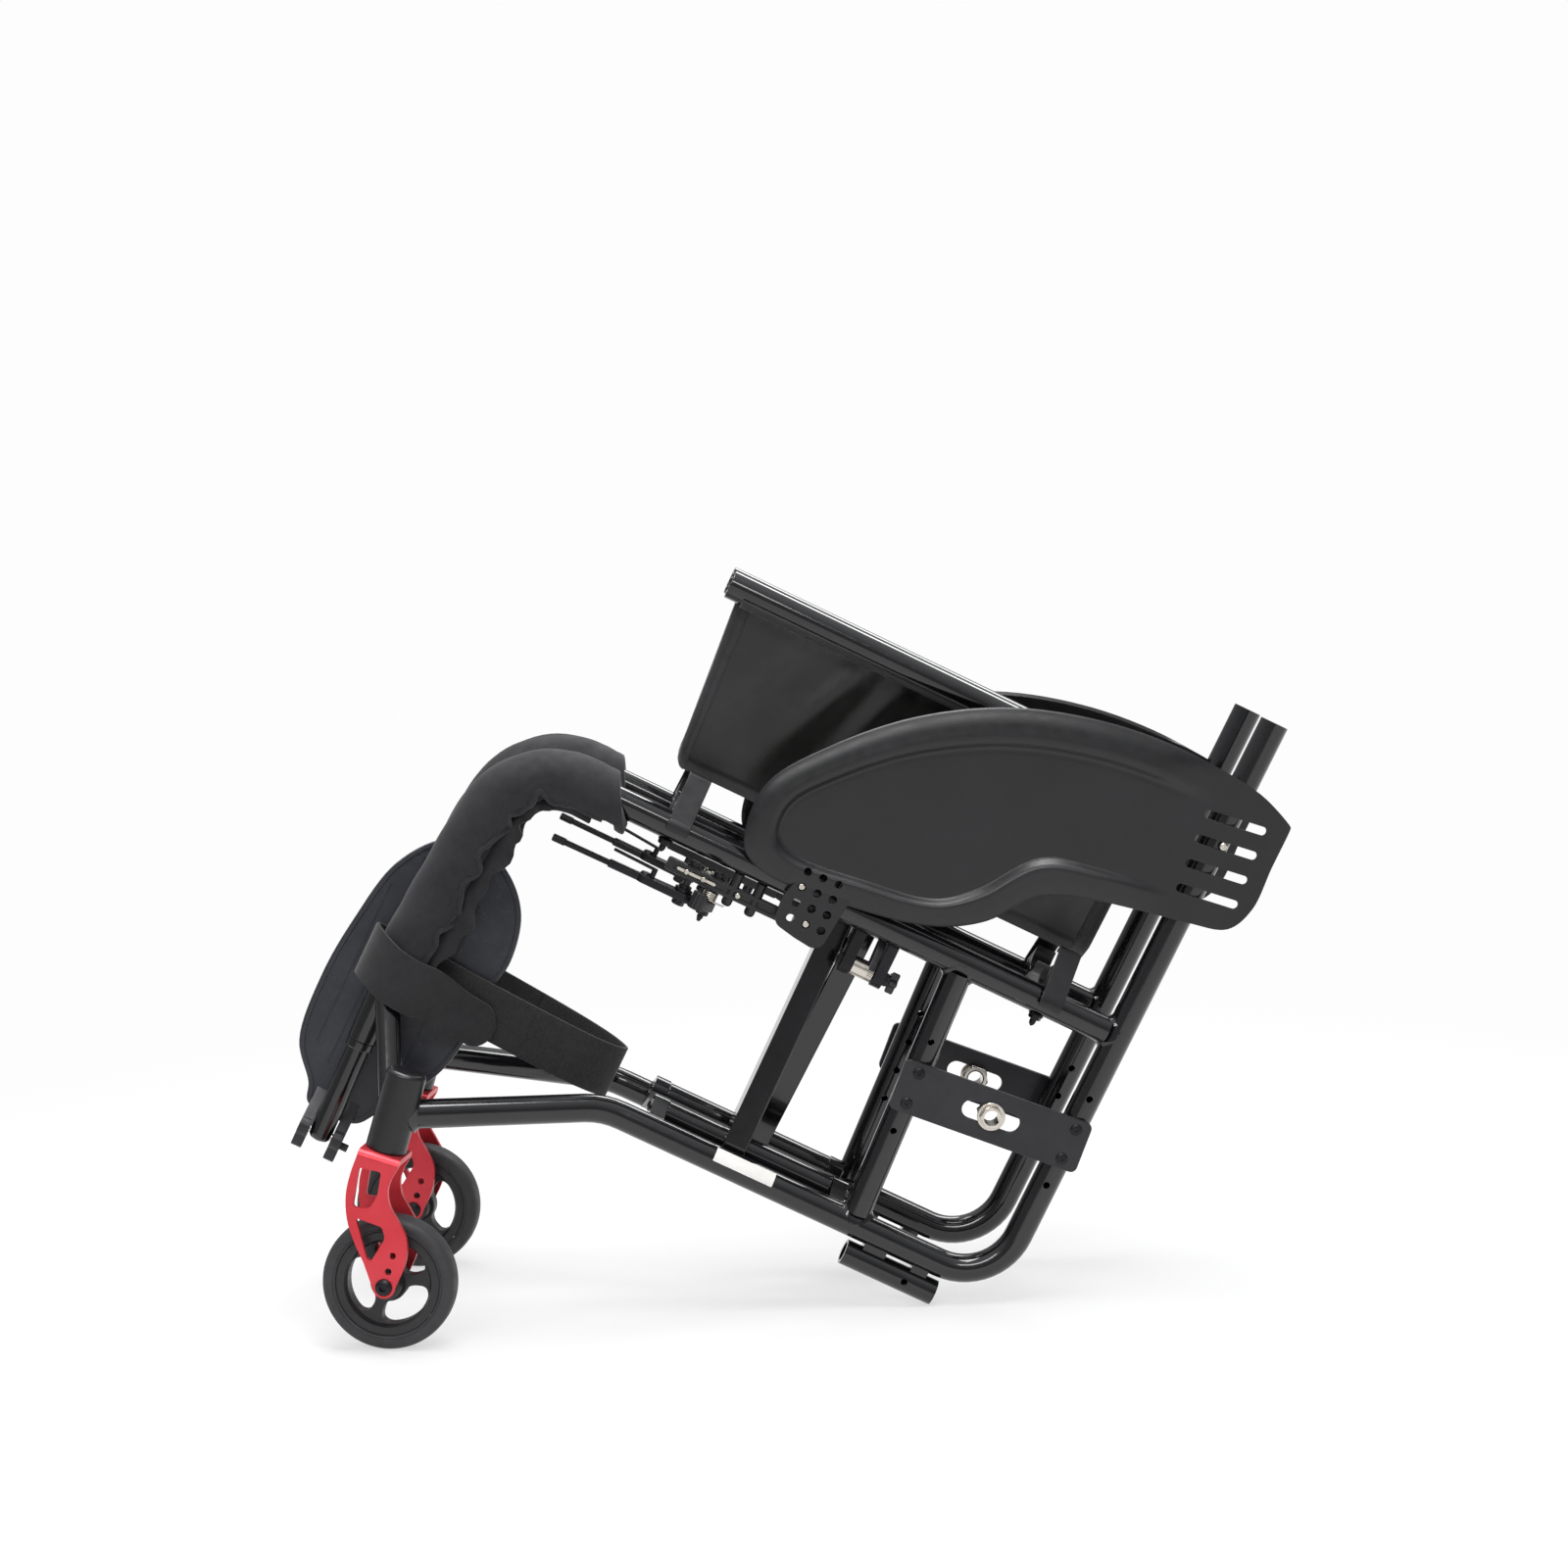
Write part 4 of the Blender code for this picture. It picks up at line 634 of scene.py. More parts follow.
def eased(obj: Object, width: float = 0.0, angle: float = 35, segments: int = 2,
          shade: float = 42) -> Object:
    """Round a piece's sharp edges and shade the rest smooth.

    Args:
        obj: The mesh object.
        width: Width of the rounded edges, or 0 for none.
        angle: Edges that turn by more degrees than this are rounded.
        segments: Faces across a rounded edge.
        shade: Edges that turn by more degrees than this stay crisp.

    Returns:
        The object itself.
    """
    hold(obj)
    if width:
        applied(obj, "BEVEL", width=width, segments=segments, limit_method="ANGLE",
                angle_limit=math.radians(angle))
    bpy.ops.object.shade_smooth_by_angle(angle=math.radians(shade))
    return obj


def weld(place: Matrix, branch_r: float, main_r: float, size: float = 0.0030) -> Object:
    """The rippled fillet round a tube that is welded on another.

    Args:
        place: Matrix at the main tube's axis, with z out along the branch and x along the main tube.
        branch_r: Outer radius of the branch.
        main_r: Outer radius of the main tube.
        size: Width of the fillet on either tube.

    Returns:
        The fillet.
    """
    sunk = 0.0006
    rings = [[] for _ in range(6)]
    for k in range(120):
        c, s = math.cos(FULL_TURN * k / 120), math.sin(FULL_TURN * k / 120)
        # Where the branch is as thick as the main tube, their flanks meet and need no metal.
        width = 1 if branch_r < 0.97 * main_r else 0.12 + 0.88 * c * c
        reach = size * width * (1 + 0.06 * math.sin(FULL_TURN * k / 4))
        seam = math.sqrt(max(main_r ** 2 - (branch_r * s) ** 2, 0))
        y = math.copysign(min(abs((branch_r + reach) * s), main_r * 0.998), s)
        foot = Vector(((branch_r + reach) * c, y, math.sqrt(main_r ** 2 - y ** 2)))
        top = Vector((branch_r * c, branch_r * s, seam + reach))
        corner = Vector((branch_r * c, branch_r * s, seam))
        inwards = Vector((c, s, 0)) * sunk
        down = Vector((0, foot.y, foot.z)).normalized() * sunk
        rings[0].append(top - inwards)
        rings[1].append(top + inwards * 0.3)
        rings[2].append((top + foot) * 0.36 + corner * 0.28 + inwards * 0.5)
        rings[3].append(foot + down * 0.3)
        rings[4].append(foot - down)
        rings[5].append(corner - inwards - down)
    return moved(eased(lofted(rings, ring=True), shade=50), place)


def walk(line: Sequence[Vector]) -> float:
    """Length of a line through its points."""
    return sum((b - a).length for a, b in zip(line, line[1:]))


def heading_at(line: Sequence[Vector], k: int) -> Vector:
    """Direction in which a line runs at one of its points."""
    return (line[min(k + 1, len(line) - 1)] - line[max(k - 1, 0)]).normalized()


def swept(line: Sequence[Vector], side: Vector, wide: float, thick: float, sides: int) -> Object:
    """A flattened wire along a line.

    Args:
        line: The points of its axis.
        side: A direction that its width is square to.
        wide: Half its width.
        thick: Half its thickness.
        sides: Sides of its section.

    Returns:
        The wire, with its ends closed.
    """
    loops = []
    for k, point in enumerate(line):
        run = heading_at(line, k)
        across = run.cross(side).normalized()
        up = across.cross(run).normalized()
        turns = [FULL_TURN * i / sides for i in range(sides)]
        loops.append([point + across * math.cos(t) * wide + up * math.sin(t) * thick for t in turns])
    return eased(lofted(loops), shade=70)


def linear(code: str) -> tuple[float, float, float, float]:
    """Linear colour of an sRGB hex code."""
    parts = [int(code[i:i + 2], 16) / 255 for i in (1, 3, 5)]
    return (*(c / 12.92 if c <= 0.04045 else ((c + 0.055) / 1.055) ** 2.4 for c in parts), 1)


def node(tree: bpy.types.NodeTree, kind: str, inputs: dict | None = None,
         **settings: object) -> bpy.types.Node:
    """Add a node with its settings, and its sockets set or linked.

    Args:
        tree: The tree that it goes into.
        kind: The node's type.
        inputs: Values, or sockets to link, by name or number.
        settings: Its properties by name.

    Returns:
        The node.
    """
    made = tree.nodes.new(kind)
    for key, value in settings.items():
        setattr(made, key, value)
    for key, value in (inputs or {}).items():
        if isinstance(value, bpy.types.NodeSocket):
            tree.links.new(value, made.inputs[key])
        else:
            made.inputs[key].default_value = value
    return made


class Relief(Enum):
    """The small relief that a surface was left with."""

    PEEL = "soft ripple of sprayed powder"
    GRAIN = "fine grain of a mould or a blasted sheet"
    WOVEN = "threads over and under"
    RIBBED = "ribs straight across the length"
    KNIT = "close loops"


@dataclass(frozen=True)
class Finish:
    """A real material and how its surface was made.

    Colours are sRGB. The relief's pitch and depth are in millimetres.
    """

    name: str
    slot: str
    colour: str
    worn: str
    roughness: float
    wander: float
    relief: Relief
    pitch: float
    depth: float
    metallic: float = 0.0
    coat: float = 0.0
    sheen: float = 0.0
    cloudy: float = 25.0
    coat_roughness: float = 0.06
    sheen_roughness: float = 0.5

    def material(self) -> Material:
        """The procedural material, made once.

        Returns:
            The material.
        """
        found = bpy.data.materials.get(self.name)
        if found:
            return found
        made = bpy.data.materials.new(self.name)
        made.use_nodes = True
        tree = made.node_tree
        shader = tree.nodes["Principled BSDF"]
        spot = node(tree, "ShaderNodeTexCoord").outputs["Object"]
        # The frame lies tipped, so patterns are turned to run with its tubes.
        tipped = PLACED.to_euler()
        laid = node(tree, "ShaderNodeMapping",
                    {"Vector": spot, "Rotation": (0, -tipped.y, 0)}).outputs["Vector"]
        clouds = node(tree, "ShaderNodeTexNoise", {"Vector": laid, "Scale": self.cloudy, "Detail": 4.0})
        mottle = node(tree, "ShaderNodeMapRange",
                      {"Value": clouds.outputs["Fac"], "From Min": 0.35, "From Max": 0.72})
        # A Mix node's factor is its first socket, and its two colours are the seventh and eighth.
        shades = {0: mottle.outputs[0], 6: linear(self.colour), 7: linear(self.worn)}
        colour = node(tree, "ShaderNodeMix", shades, data_type="RGBA")
        tree.links.new(colour.outputs[2], shader.inputs["Base Color"])
        rubbed = node(tree, "ShaderNodeTexNoise", {"Vector": laid, "Scale": self.cloudy * 5, "Detail": 5.0})
        rough = node(tree, "ShaderNodeMapRange", {
            "Value": rubbed.outputs["Fac"], "From Min": 0.3, "From Max": 0.7,
            "To Min": self.roughness - self.wander, "To Max": self.roughness + self.wander})
        tree.links.new(rough.outputs[0], shader.inputs["Roughness"])
        relief = {"Height": self.height(tree, laid), "Distance": self.depth / 1000, "Strength": 1.0}
        bump = node(tree, "ShaderNodeBump", relief)
        tree.links.new(bump.outputs["Normal"], shader.inputs["Normal"])
        for socket, value in (("Metallic", self.metallic), ("Coat Weight", self.coat),
                              ("Coat Roughness", self.coat_roughness), ("Sheen Weight", self.sheen),
                              ("Sheen Roughness", self.sheen_roughness)):
            shader.inputs[socket].default_value = value
        made.diffuse_color = linear(self.colour)
        return made

    def height(self, tree: bpy.types.NodeTree, laid: bpy.types.NodeSocket) -> bpy.types.NodeSocket:
        """The relief's height, from 0 to 1.

        Args:
            tree: The material's tree.
            laid: Coordinates that run with the tubes.

        Returns:
            The socket that gives the height.
        """
        # A noise node's features are one over its scale apart, and a wave's bands 0.314 over it.
        noise_scale = 1000 / self.pitch
        wave_scale = 314.16 / self.pitch
        if self.relief in (Relief.PEEL, Relief.GRAIN):
            return node(tree, "ShaderNodeTexNoise",
                        {"Vector": laid, "Scale": noise_scale, "Detail": 2.0}).outputs["Fac"]
        if self.relief is Relief.KNIT:
            cells = node(tree, "ShaderNodeTexVoronoi", {"Vector": laid, "Scale": noise_scale},
                         feature="SMOOTH_F1")
            return cells.outputs["Distance"]
        warp = node(tree, "ShaderNodeTexWave", {"Vector": laid, "Scale": wave_scale}, bands_direction="X")
        if self.relief is Relief.RIBBED:
            return warp.outputs["Fac"]
        weft = node(tree, "ShaderNodeTexWave", {"Vector": laid, "Scale": wave_scale}, bands_direction="Z")
        both = node(tree, "ShaderNodeMath", {0: warp.outputs["Fac"], 1: weft.outputs["Fac"]},
                    operation="MAXIMUM")
        return both.outputs[0]


# Aluminium tube under gloss black powder coat: deep black with sharp white lights and a faint peel.
GLOSS = Finish("powder_coated_tube", "frame_paint", "#09090b", "#111114", 0.13, 0.04, Relief.PEEL, 2.2,
               0.010, coat=0.4)
# The same powder on the castor housing and clamps, with less gloss: a soft broad light.
SEMI = Finish("semi_gloss_powder", "frame_paint", "#101012", "#17171a", 0.34, 0.05, Relief.GRAIN, 0.8, 0.012)
# Blasted and black anodised aluminium sheet: dark grey, dull, with a soft even light.
SATIN = Finish("black_anodised_sheet", "charcoal", "#232326", "#2c2c30", 0.42, 0.06, Relief.GRAIN, 0.35,
               0.012, metallic=0.25)
# Nylon guard from a grained mould: matt black that greys where light rakes it.
NYLON = Finish("moulded_nylon", "guard_plastic", "#131315", "#18181b", 0.36, 0.05, Relief.GRAIN, 0.5, 0.016)
# Clear red anodised aluminium: a bright satin red with pale edges.
RED = Finish("red_anodised_plate", "red_anodised", "#cf3640", "#d8424c", 0.38, 0.05, Relief.GRAIN, 0.4,
             0.008, metallic=0.5)
# Footplate nylon from a polished mould: black with broad soft lights.
BLADE = Finish("polished_mould_nylon", "black_plastic", "#2a2b30", "#323339", 0.24, 0.05, Relief.PEEL, 6.0,
               0.014)
# Solid polyurethane tyre: dark grey, matt, a little dusty.
TYRE = Finish("polyurethane_tyre", "tyre", "#2b2b2d", "#363638", 0.62, 0.08, Relief.GRAIN, 0.8, 0.03)
# Glass-filled nylon rim: black with a low sheen.
RIM = Finish("filled_nylon_rim", "black_plastic", "#1d1d1f", "#262628", 0.45, 0.08, Relief.GRAIN, 0.6, 0.02)
# Nickel-plated steel, turned: bright and faintly warm.
STEEL = Finish("plated_turned_steel", "steel", "#d6d1c8", "#c3bcb1", 0.22, 0.06, Relief.GRAIN, 0.6, 0.004,
               metallic=1.0)
# Black oxide screws: near black, half dull, lit on their edges.
OXIDE = Finish("black_oxide_steel", "charcoal", "#18181a", "#26262a", 0.34, 0.08, Relief.GRAIN, 0.3, 0.01,
               metallic=0.6)
# Neoprene faced with nylon jersey: charcoal, matt, with a soft bloom at the edges.
NEOPRENE = Finish("jersey_faced_neoprene", "neoprene", "#151518", "#1b1b1f", 0.8, 0.06, Relief.KNIT, 0.9,
                  0.10, sheen=0.08)
# Knitted rib that binds the sleeve: paler and raised.
RIB = Finish("knitted_binding", "neoprene", "#1a1a1e", "#212125", 0.85, 0.05, Relief.KNIT, 1.2, 0.2,
             sheen=0.12)
# Coated polyester of the seat: satin black, close weave.
SLING = Finish("coated_polyester", "sling_fabric", "#141312", "#1d1b1a", 0.36, 0.07, Relief.WOVEN, 0.7, 0.03,
               sheen=0.2)
# Nylon binding tape.
TAPE = Finish("binding_tape", "sling_fabric", "#19191b", "#232326", 0.6, 0.06, Relief.WOVEN, 1.0, 0.12,
              sheen=0.3)
# Bonded polyester thread: dark grey, a little paler than the cloth, so that the rows show.
THREAD = Finish("bonded_thread", "sling_fabric", "#39393d", "#47474c", 0.5, 0.05, Relief.GRAIN, 0.5, 0.01,
                sheen=0.2)
# Nylon webbing, ribbed across: black with fine dull lines, drawn 1.8 mm apart so that they show.
WEBBING = Finish("ribbed_webbing", "webbing", "#0c0c0e", "#131315", 0.7, 0.06, Relief.RIBBED, 1.8, 0.22,
                 sheen=0.12)
# Brushed loop cloth of the cuff: dark, dull and slightly fuzzy.
LOOP = Finish("brushed_loop_cloth", "webbing", "#18181a", "#1f1f22", 0.85, 0.05, Relief.KNIT, 1.2, 0.12,
              sheen=0.12)
# White vinyl patch, left bare.
VINYL = Finish("white_vinyl", "frame_paint", "#eceae6", "#dedcd8", 0.5, 0.06, Relief.GRAIN, 1.5, 0.01)


def mount(piece: Object, name: str, place: Matrix, body: str, nodes: Sequence[str],
          finish: Finish) -> Object:
    """Set a finished piece in its place, dressed, on its body, and standing for its solids.

    Args:
        piece: The mesh object, drawn in its own coordinates.
        name: Its name in the scene.
        place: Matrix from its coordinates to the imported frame.
        body: The body that it moves with.
        nodes: The solids that it stands for.
        finish: What it is made of.

    Returns:
        The piece itself.
    """
    deselect()
    piece.name = name
    piece.data.name = name
    moved(piece, place)
    piece.data.materials.clear()
    piece.data.materials.append(finish.material())
    applied(piece, "WEIGHTED_NORMAL", keep_sharp=True)
    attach(piece, body)
    if nodes:
        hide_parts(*nodes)
    LOG.info("%s on %s: %d faces", name, body, len(piece.data.polygons))
    return piece


def hang(piece: Object, name: str, bodies: tuple[str, str],
         nodes: Sequence[str], finish: Finish) -> Object:
    """Set a finished soft piece in its place between two bodies, dressed.

    Args:
        piece: The mesh object, in chassis coordinates.
        name: Its name in the scene.
        bodies: The two bodies that it lies between, named in the log.
        nodes: The solids that it stands for.
        finish: What it is made of.

    Returns:
        The piece itself.
    """
    moved(piece, PLACED)
    piece.name = name
    piece.data.name = name
    piece.data.materials.append(finish.material())
    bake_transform(piece)
    if nodes:
        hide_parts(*nodes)
    LOG.info("%s between %s and %s: %d faces", name, *bodies, len(piece.data.polygons))
    return piece


def pair(piece: Object, label: str, body: str, nodes: Sequence[str], finish: Finish,
         place: Callable[[Side], Matrix] | None = None) -> list[Object]:
    """Mount a piece of half coordinates on both sides, each with its own mesh.

    Args:
        piece: The piece, which is used up.
        label: Its name without the side.
        body: Name of its body without the side.
        nodes: The solids that it stands for, without the side.
        finish: What it is made of.
        place: Matrix to half coordinates for each side, where it isn't drawn in them.

    Returns:
        The left piece and the right one.
    """
    made = []
    for side in Side:
        own = PLACED @ side.mirror @ (place(side) if place else Matrix())
        name, held = f"{side.label}_{label}", f"{side.label}_{body}"
        made.append(mount(copied(piece, Matrix()), name, own, held, [f"{side.label}_{n}" for n in nodes],
                          finish))
    bpy.data.objects.remove(piece)
    return made


@dataclass(frozen=True)
class Screws:
    """Button-head screws with a hexagon socket, and plain nuts."""

    def button(self, head_r: float, height: float) -> Object:
        """A button head that stands on z = 0.

        Args:
            head_r: Radius of the head.
            height: How high it stands.

        Returns:
            The head.
        """
        profile = [(head_r, -0.0008), (head_r, height * 0.15), (head_r * 0.94, height * 0.45),
                   (head_r * 0.78, height * 0.8), (head_r * 0.55, height)]
        head = turned(profile, 24)
        socket = turned([(head_r * 0.42, height * 0.35), (head_r * 0.42, height * 2)], 6)
        return eased(cut(head, socket), shade=35)

    def nut(self, across: float, height: float, bore: float) -> Object:
        """A hexagon nut that stands on z = 0, with its corners turned down.

        Args:
            across: Width across two flats.
            height: How high it stands.
            bore: Radius of its hole, or 0 for none.

        Returns:
            The nut.
        """
        outline = arc((0, 0), across / math.sqrt(3), 0, 300, 5)
        body = plate(outline, height)
        flat, corner = across * 0.47, across * 0.6
        keep = turned([(flat, -0.0001), (corner, height * 0.25), (corner, height * 0.75),
                       (flat, height + 0.0001)], 32)
        body = cut(body, keep, operation="INTERSECT")
        if bore:
            body = cut(body, rod((0, 0, -0.01), (0, 0, height + 0.01), bore))
        return eased(body, shade=35)


SCREWS = Screws()


@dataclass(frozen=True)
class SideFrame:
    """Lower tube with its post, seat tube, wheel post, front strut and the patch on the lower tube."""

    strut_r: float = 0.0095
    strut_top_n: float = 0.0160
    strut_foot_h: float = 0.0160
    join_h: float = 0.0270
    housing_r: float = 0.0155
    hole_r: float = 0.0026
    hole_pitch: float = 0.0250
    hole_count: int = 4
    rear_hole_n: float = 0.0930
    front_hole_n: float = 0.0810
    seat_rear_u: float = -0.0095
    post_inset: float = 0.0085
    strut_inset: Point = (0.0060, 0.0100)
    patch: tuple[float, float] = (-0.2420, -0.1920)
    patch_lift: float = 0.00012
    patch_t: float = 0.00016

    def drilled(self, tube: Object, spots: Sequence[Vector]) -> Object:
        """Drill holes through a tube, square to the side.

        Args:
            tube: The tube.
            spots: Points on its axis, one for each hole.

        Returns:
            The tube itself.
        """
        reach = 2 * C.tube_r
        drills = [rod((p.x, p.y - reach, p.z), (p.x, p.y + reach, p.z), self.hole_r, 16) for p in spots]
        return cut(tube, joined(*drills))

    def lower_tube(self) -> Object:
        """From the castor housing under the seat and up the rear post.

        Returns:
            The tube with its weld.
        """
        foot, bend = C.stem(self.join_h), Vector((C.bend_u, C.side_w, 0))
        ahead = (bend - foot).normalized()
        corners = [foot + ahead * (self.housing_r - 0.002), bend, Vector((0, C.side_w, 0)),
                   Vector((0, C.side_w, C.post_top))]
        tube = bent_tube(corners, [C.bend_r, C.corner_r], C.tube_r, C.wall)
        holes = [Vector((0, C.side_w, self.rear_hole_n + k * self.hole_pitch))
                 for k in range(self.hole_count)]
        tube = eased(self.drilled(tube, holes), 0.0004)
        stem = C.stem_frame().to_3x3() @ UP
        return joined(tube, weld(facing(foot, ahead, stem), C.tube_r, self.housing_r))

    def seat_tube(self) -> Object:
        """From the rear post over the knee to the hanger.

        Returns:
            The tube with its weld.
        """
        rear = Vector((self.seat_rear_u, C.side_w, C.frame_h))
        corners = [rear, Vector((C.knee_u, C.side_w, C.frame_h)), C.front_tube(C.ankle_n),
                   C.hanger(C.front_end_n)]
        tube = eased(bent_tube(corners, [C.knee_r, C.ankle_r], C.tube_r, C.wall), 0.0006)
        post = Vector((0, C.side_w, C.frame_h))
        return joined(tube, weld(facing(post, -REAR, UP), C.tube_r, C.tube_r))

    def wheel_post(self) -> Object:
        """Leaning post between the lower tube and the seat tube.

        Returns:
            The post with a weld at each end.
        """
        low, high = C.wheel_post(self.post_inset), C.wheel_post(C.frame_h - self.post_inset)
        tube = bent_tube([low, high], [], C.tube_r, C.wall)
        holes = [C.wheel_post(self.front_hole_n + k * self.hole_pitch) for k in range(self.hole_count)]
        tube = eased(self.drilled(tube, holes), 0.0004)
        up = (high - low).normalized()
        return joined(tube, weld(facing(C.wheel_post(0), up, REAR), C.tube_r, C.tube_r),
                      weld(facing(C.wheel_post(C.frame_h), -up, REAR), C.tube_r, C.tube_r))

    def strut(self) -> Object:
        """Short brace from the front tube to the castor housing.

        Returns:
            The strut with a weld at each end.
        """
        top, foot = C.front_tube(self.strut_top_n), C.stem(self.strut_foot_h)
        run = (foot - top).normalized()
        near, far = self.strut_inset
        tube = eased(bent_tube([top + run * near, foot - run * far], [], self.strut_r))
        stem = C.stem_frame().to_3x3() @ UP
        front = (C.front_tube(1) - C.front_tube(0)).normalized()
        return joined(tube, weld(facing(top, run, front), self.strut_r, C.tube_r),
                      weld(facing(foot, -run, stem), self.strut_r, self.housing_r))

    def bare_patch(self) -> Object:
        """The curved vinyl patch on the outside of the left lower tube.

        Returns:
            The patch, in half coordinates.
        """
        turns = [math.radians(4 + 62 * i / 8) for i in range(9)]
        radius = C.tube_r + self.patch_lift
        rows = []
        for k in range(7):
            u = self.patch[0] + (self.patch[1] - self.patch[0]) * k / 6
            rows.append([Vector((u, C.side_w + radius * math.cos(t), radius * math.sin(t))) for t in turns])
        return eased(cloth(rows, self.patch_t))

    def build(self) -> None:
        """Make and mount the tubes of both sides."""
        pair(self.lower_tube(), "lower_tube", "frame", ["base_tube"], GLOSS)
        pair(self.seat_tube(), "upper_tube", "frame", ["seat_tube"], GLOSS)
        pair(self.wheel_post(), "wheel_post", "frame", ["axle_post"], GLOSS)
        pair(self.strut(), "strut", "frame", ["front_strut"], GLOSS)
        mount(self.bare_patch(), "left_tube_patch", PLACED @ Side.LEFT.mirror, "left_frame", [], VINYL)


@dataclass(frozen=True)
class Castors:
    """Castor housing, bent red fork, wheel, tyre and axle bolt."""

    housing_r: float = 0.0155
    housing_h: float = 0.0625
    inner_w: float = 0.0350
    leg_t: float = 0.0042
    crown_t: float = 0.0050
    bend_r: float = 0.0060
    axle: Point = (0.0305, -0.0962)
    hole_pitch: float = 0.0126
    hole_r: float = 0.0026
    axle_hole_r: float = 0.0043
    foot_r: float = 0.0085
    crown_top: float = -0.0005
    shank_r: float = 0.0050
    shank_top: float = 0.0480
    opening_turns: tuple[float, float] = (82, 17)
    opening_r: tuple[float, float] = (0.0143, 0.0318)
    opening_half: float = 49
    front: tuple[Point, ...] = (
        (-0.0160, -0.0067), (-0.0170, -0.0200), (-0.0160, -0.0370), (-0.0100, -0.0550), (0.0000, -0.0700),
        (0.0110, -0.0830))
    rear: tuple[Point, ...] = (
        (0.0390, -0.0930), (0.0412, -0.0780), (0.0403, -0.0650), (0.0365, -0.0545), (0.0270, -0.0440),
        (0.0178, -0.0345), (0.0138, -0.0240), (0.0142, -0.0150), (0.0155, -0.0100), (0.0165, -0.0067))

    def housing(self) -> Object:
        """Turned cup round the stem bearings, with a domed cap.

        Returns:
            The cup, along the stem from its foot.
        """
        r, h = self.housing_r, self.housing_h
        profile = [(0.0056, 0), (r - 0.0008, 0), (r, 0.0008), (r, h - 0.0042), (r - 0.0004, h - 0.0024),
                   (r - 0.0018, h - 0.0008), (r - 0.0040, h), (0.0020, h + 0.0003), (0.0003, h + 0.0003)]
        return eased(turned(profile, 48), shade=50)

    def fork(self) -> Object:
        """One plate, bent over the crown, with two windows and an adjusting row in each leg.

        Returns:
            The fork, with z up the stem.
        """
        x, z = self.axle
        top = self.crown_top
        half = self.inner_w / 2
        outer = half + self.leg_t
        outline = [tuple(p) for p in smooth_line([Vector(p) for p in self.front], 5)]
        outline += arc((x, z), self.foot_r, -140, -4, 12)
        outline += [tuple(p) for p in smooth_line([Vector(p) for p in self.rear], 5)]
        fork = plate([(self.front[0][0], top), *outline, (self.rear[-1][0], top)], 2 * outer)
        moved(fork, along_w(-outer))
        edit(fork, "EDGE", lambda e: self.is_shoulder(fork, e, outer))
        bpy.ops.mesh.bevel(offset=self.bend_r, segments=8)
        bpy.ops.object.mode_set(mode="OBJECT")
        under = top - self.crown_t
        channel = [(-half, -0.2), (half, -0.2), (half, under, 0.0018), (-half, under, 0.0018)]
        slot = moved(plate(channel, 0.2), along_u(-0.1))
        windows = [
            [(-0.0118, -0.0140, 0.002), (0.0052, -0.0125, 0.002), (0.0072, -0.0300, 0.002),
             (0.0040, -0.0420, 0.003), (-0.0085, -0.0445, 0.003)],
            [(-0.0042, -0.0515, 0.0025), (0.0170, -0.0525, 0.002), (0.0215, -0.0600, 0.003),
             (0.0158, -0.0800, 0.002), (0.0120, -0.0790, 0.002)],
        ]
        cutters = [slot] + [moved(plate(shape, 0.2), along_w(-0.1)) for shape in windows]
        for k, radius in enumerate((self.axle_hole_r, self.hole_r, self.hole_r)):
            height = z + k * self.hole_pitch
            cutters.append(rod((x, -0.1, height), (x, 0.1, height), radius, 24))
        fork = cut(fork, *cutters)
        shank = rod((0, 0, under + 0.001), (0, 0, self.shank_top), self.shank_r)
        return eased(cut(fork, shank, operation="UNION"), 0.0006, 40)

    def is_shoulder(self, fork: Object, edge: bpy.types.MeshEdge, outer: float) -> bool:
        """Whether an edge is one of the two long ones where the plate bends over the crown.

        Args:
            fork: The plate before it is bent.
            edge: The edge.
            outer: Half the fork's width.

        Returns:
            True for the two edges over the legs.
        """
        ends = [fork.data.vertices[i].co for i in edge.vertices]
        level = all(abs(p.z - self.crown_top) < 1e-5 and abs(abs(p.y) - outer) < 1e-5 for p in ends)
        return level and abs(ends[0].y - ends[1].y) < 1e-5

    def wheel(self, turn: float) -> Object:
        """Spoked rim: a web with three rounded openings between hub and rim.

        Args:
            turn: Where the first opening lies, in degrees.

        Returns:
            The rim, with its axle on z.
        """
        one_side = [(0.0043, 0.0165), (0.0090, 0.0165), (0.0106, 0.0158), (0.0112, 0.0142), (0.0116, 0.0080),
                    (0.0130, 0.0056), (0.0290, 0.0050), (0.0318, 0.0058), (0.0330, 0.0080), (0.0337, 0.0098),
                    (0.0348, 0.0100), (0.0395, 0.0100)]
        wheel = turned(one_side + [(r, -z) for r, z in reversed(one_side)], 72, ring=True)
        cutters = [shifted(plate(self.opening(turn + 120 * k), 0.06), 0, 0, -0.03) for k in range(3)]
        return eased(cut(wheel, *cutters), 0.0011, 50, 3)

    def opening(self, aim: float) -> list[Point]:
        """Outline of an opening: a round-cornered bar bent along the wheel's turn.

        Args:
            aim: Where its middle lies, in degrees.

        Returns:
            Its corners.
        """
        low, high = self.opening_r
        middle, half_h = (low + high) / 2, (high - low) / 2
        half_s = math.radians(self.opening_half) * middle
        round_r = 0.0068
        points = []
        for x, y, start in ((1, 1, 0), (-1, 1, 90), (-1, -1, 180), (1, -1, 270)):
            corner = (x * (half_s - round_r), y * (half_h - round_r))
            points += arc(corner, round_r, start, start + 90, 6)
            if x * y > 0:
                span = [half_s - round_r - 2 * (half_s - round_r) * i / 10 for i in range(1, 10)]
                points += [(x * s, y * half_h) for s in span]
        bent = []
        for s, h in points:
            turn = math.radians(aim) + s / middle
            bent.append(((middle + h) * math.cos(turn), (middle + h) * math.sin(turn)))
        return bent

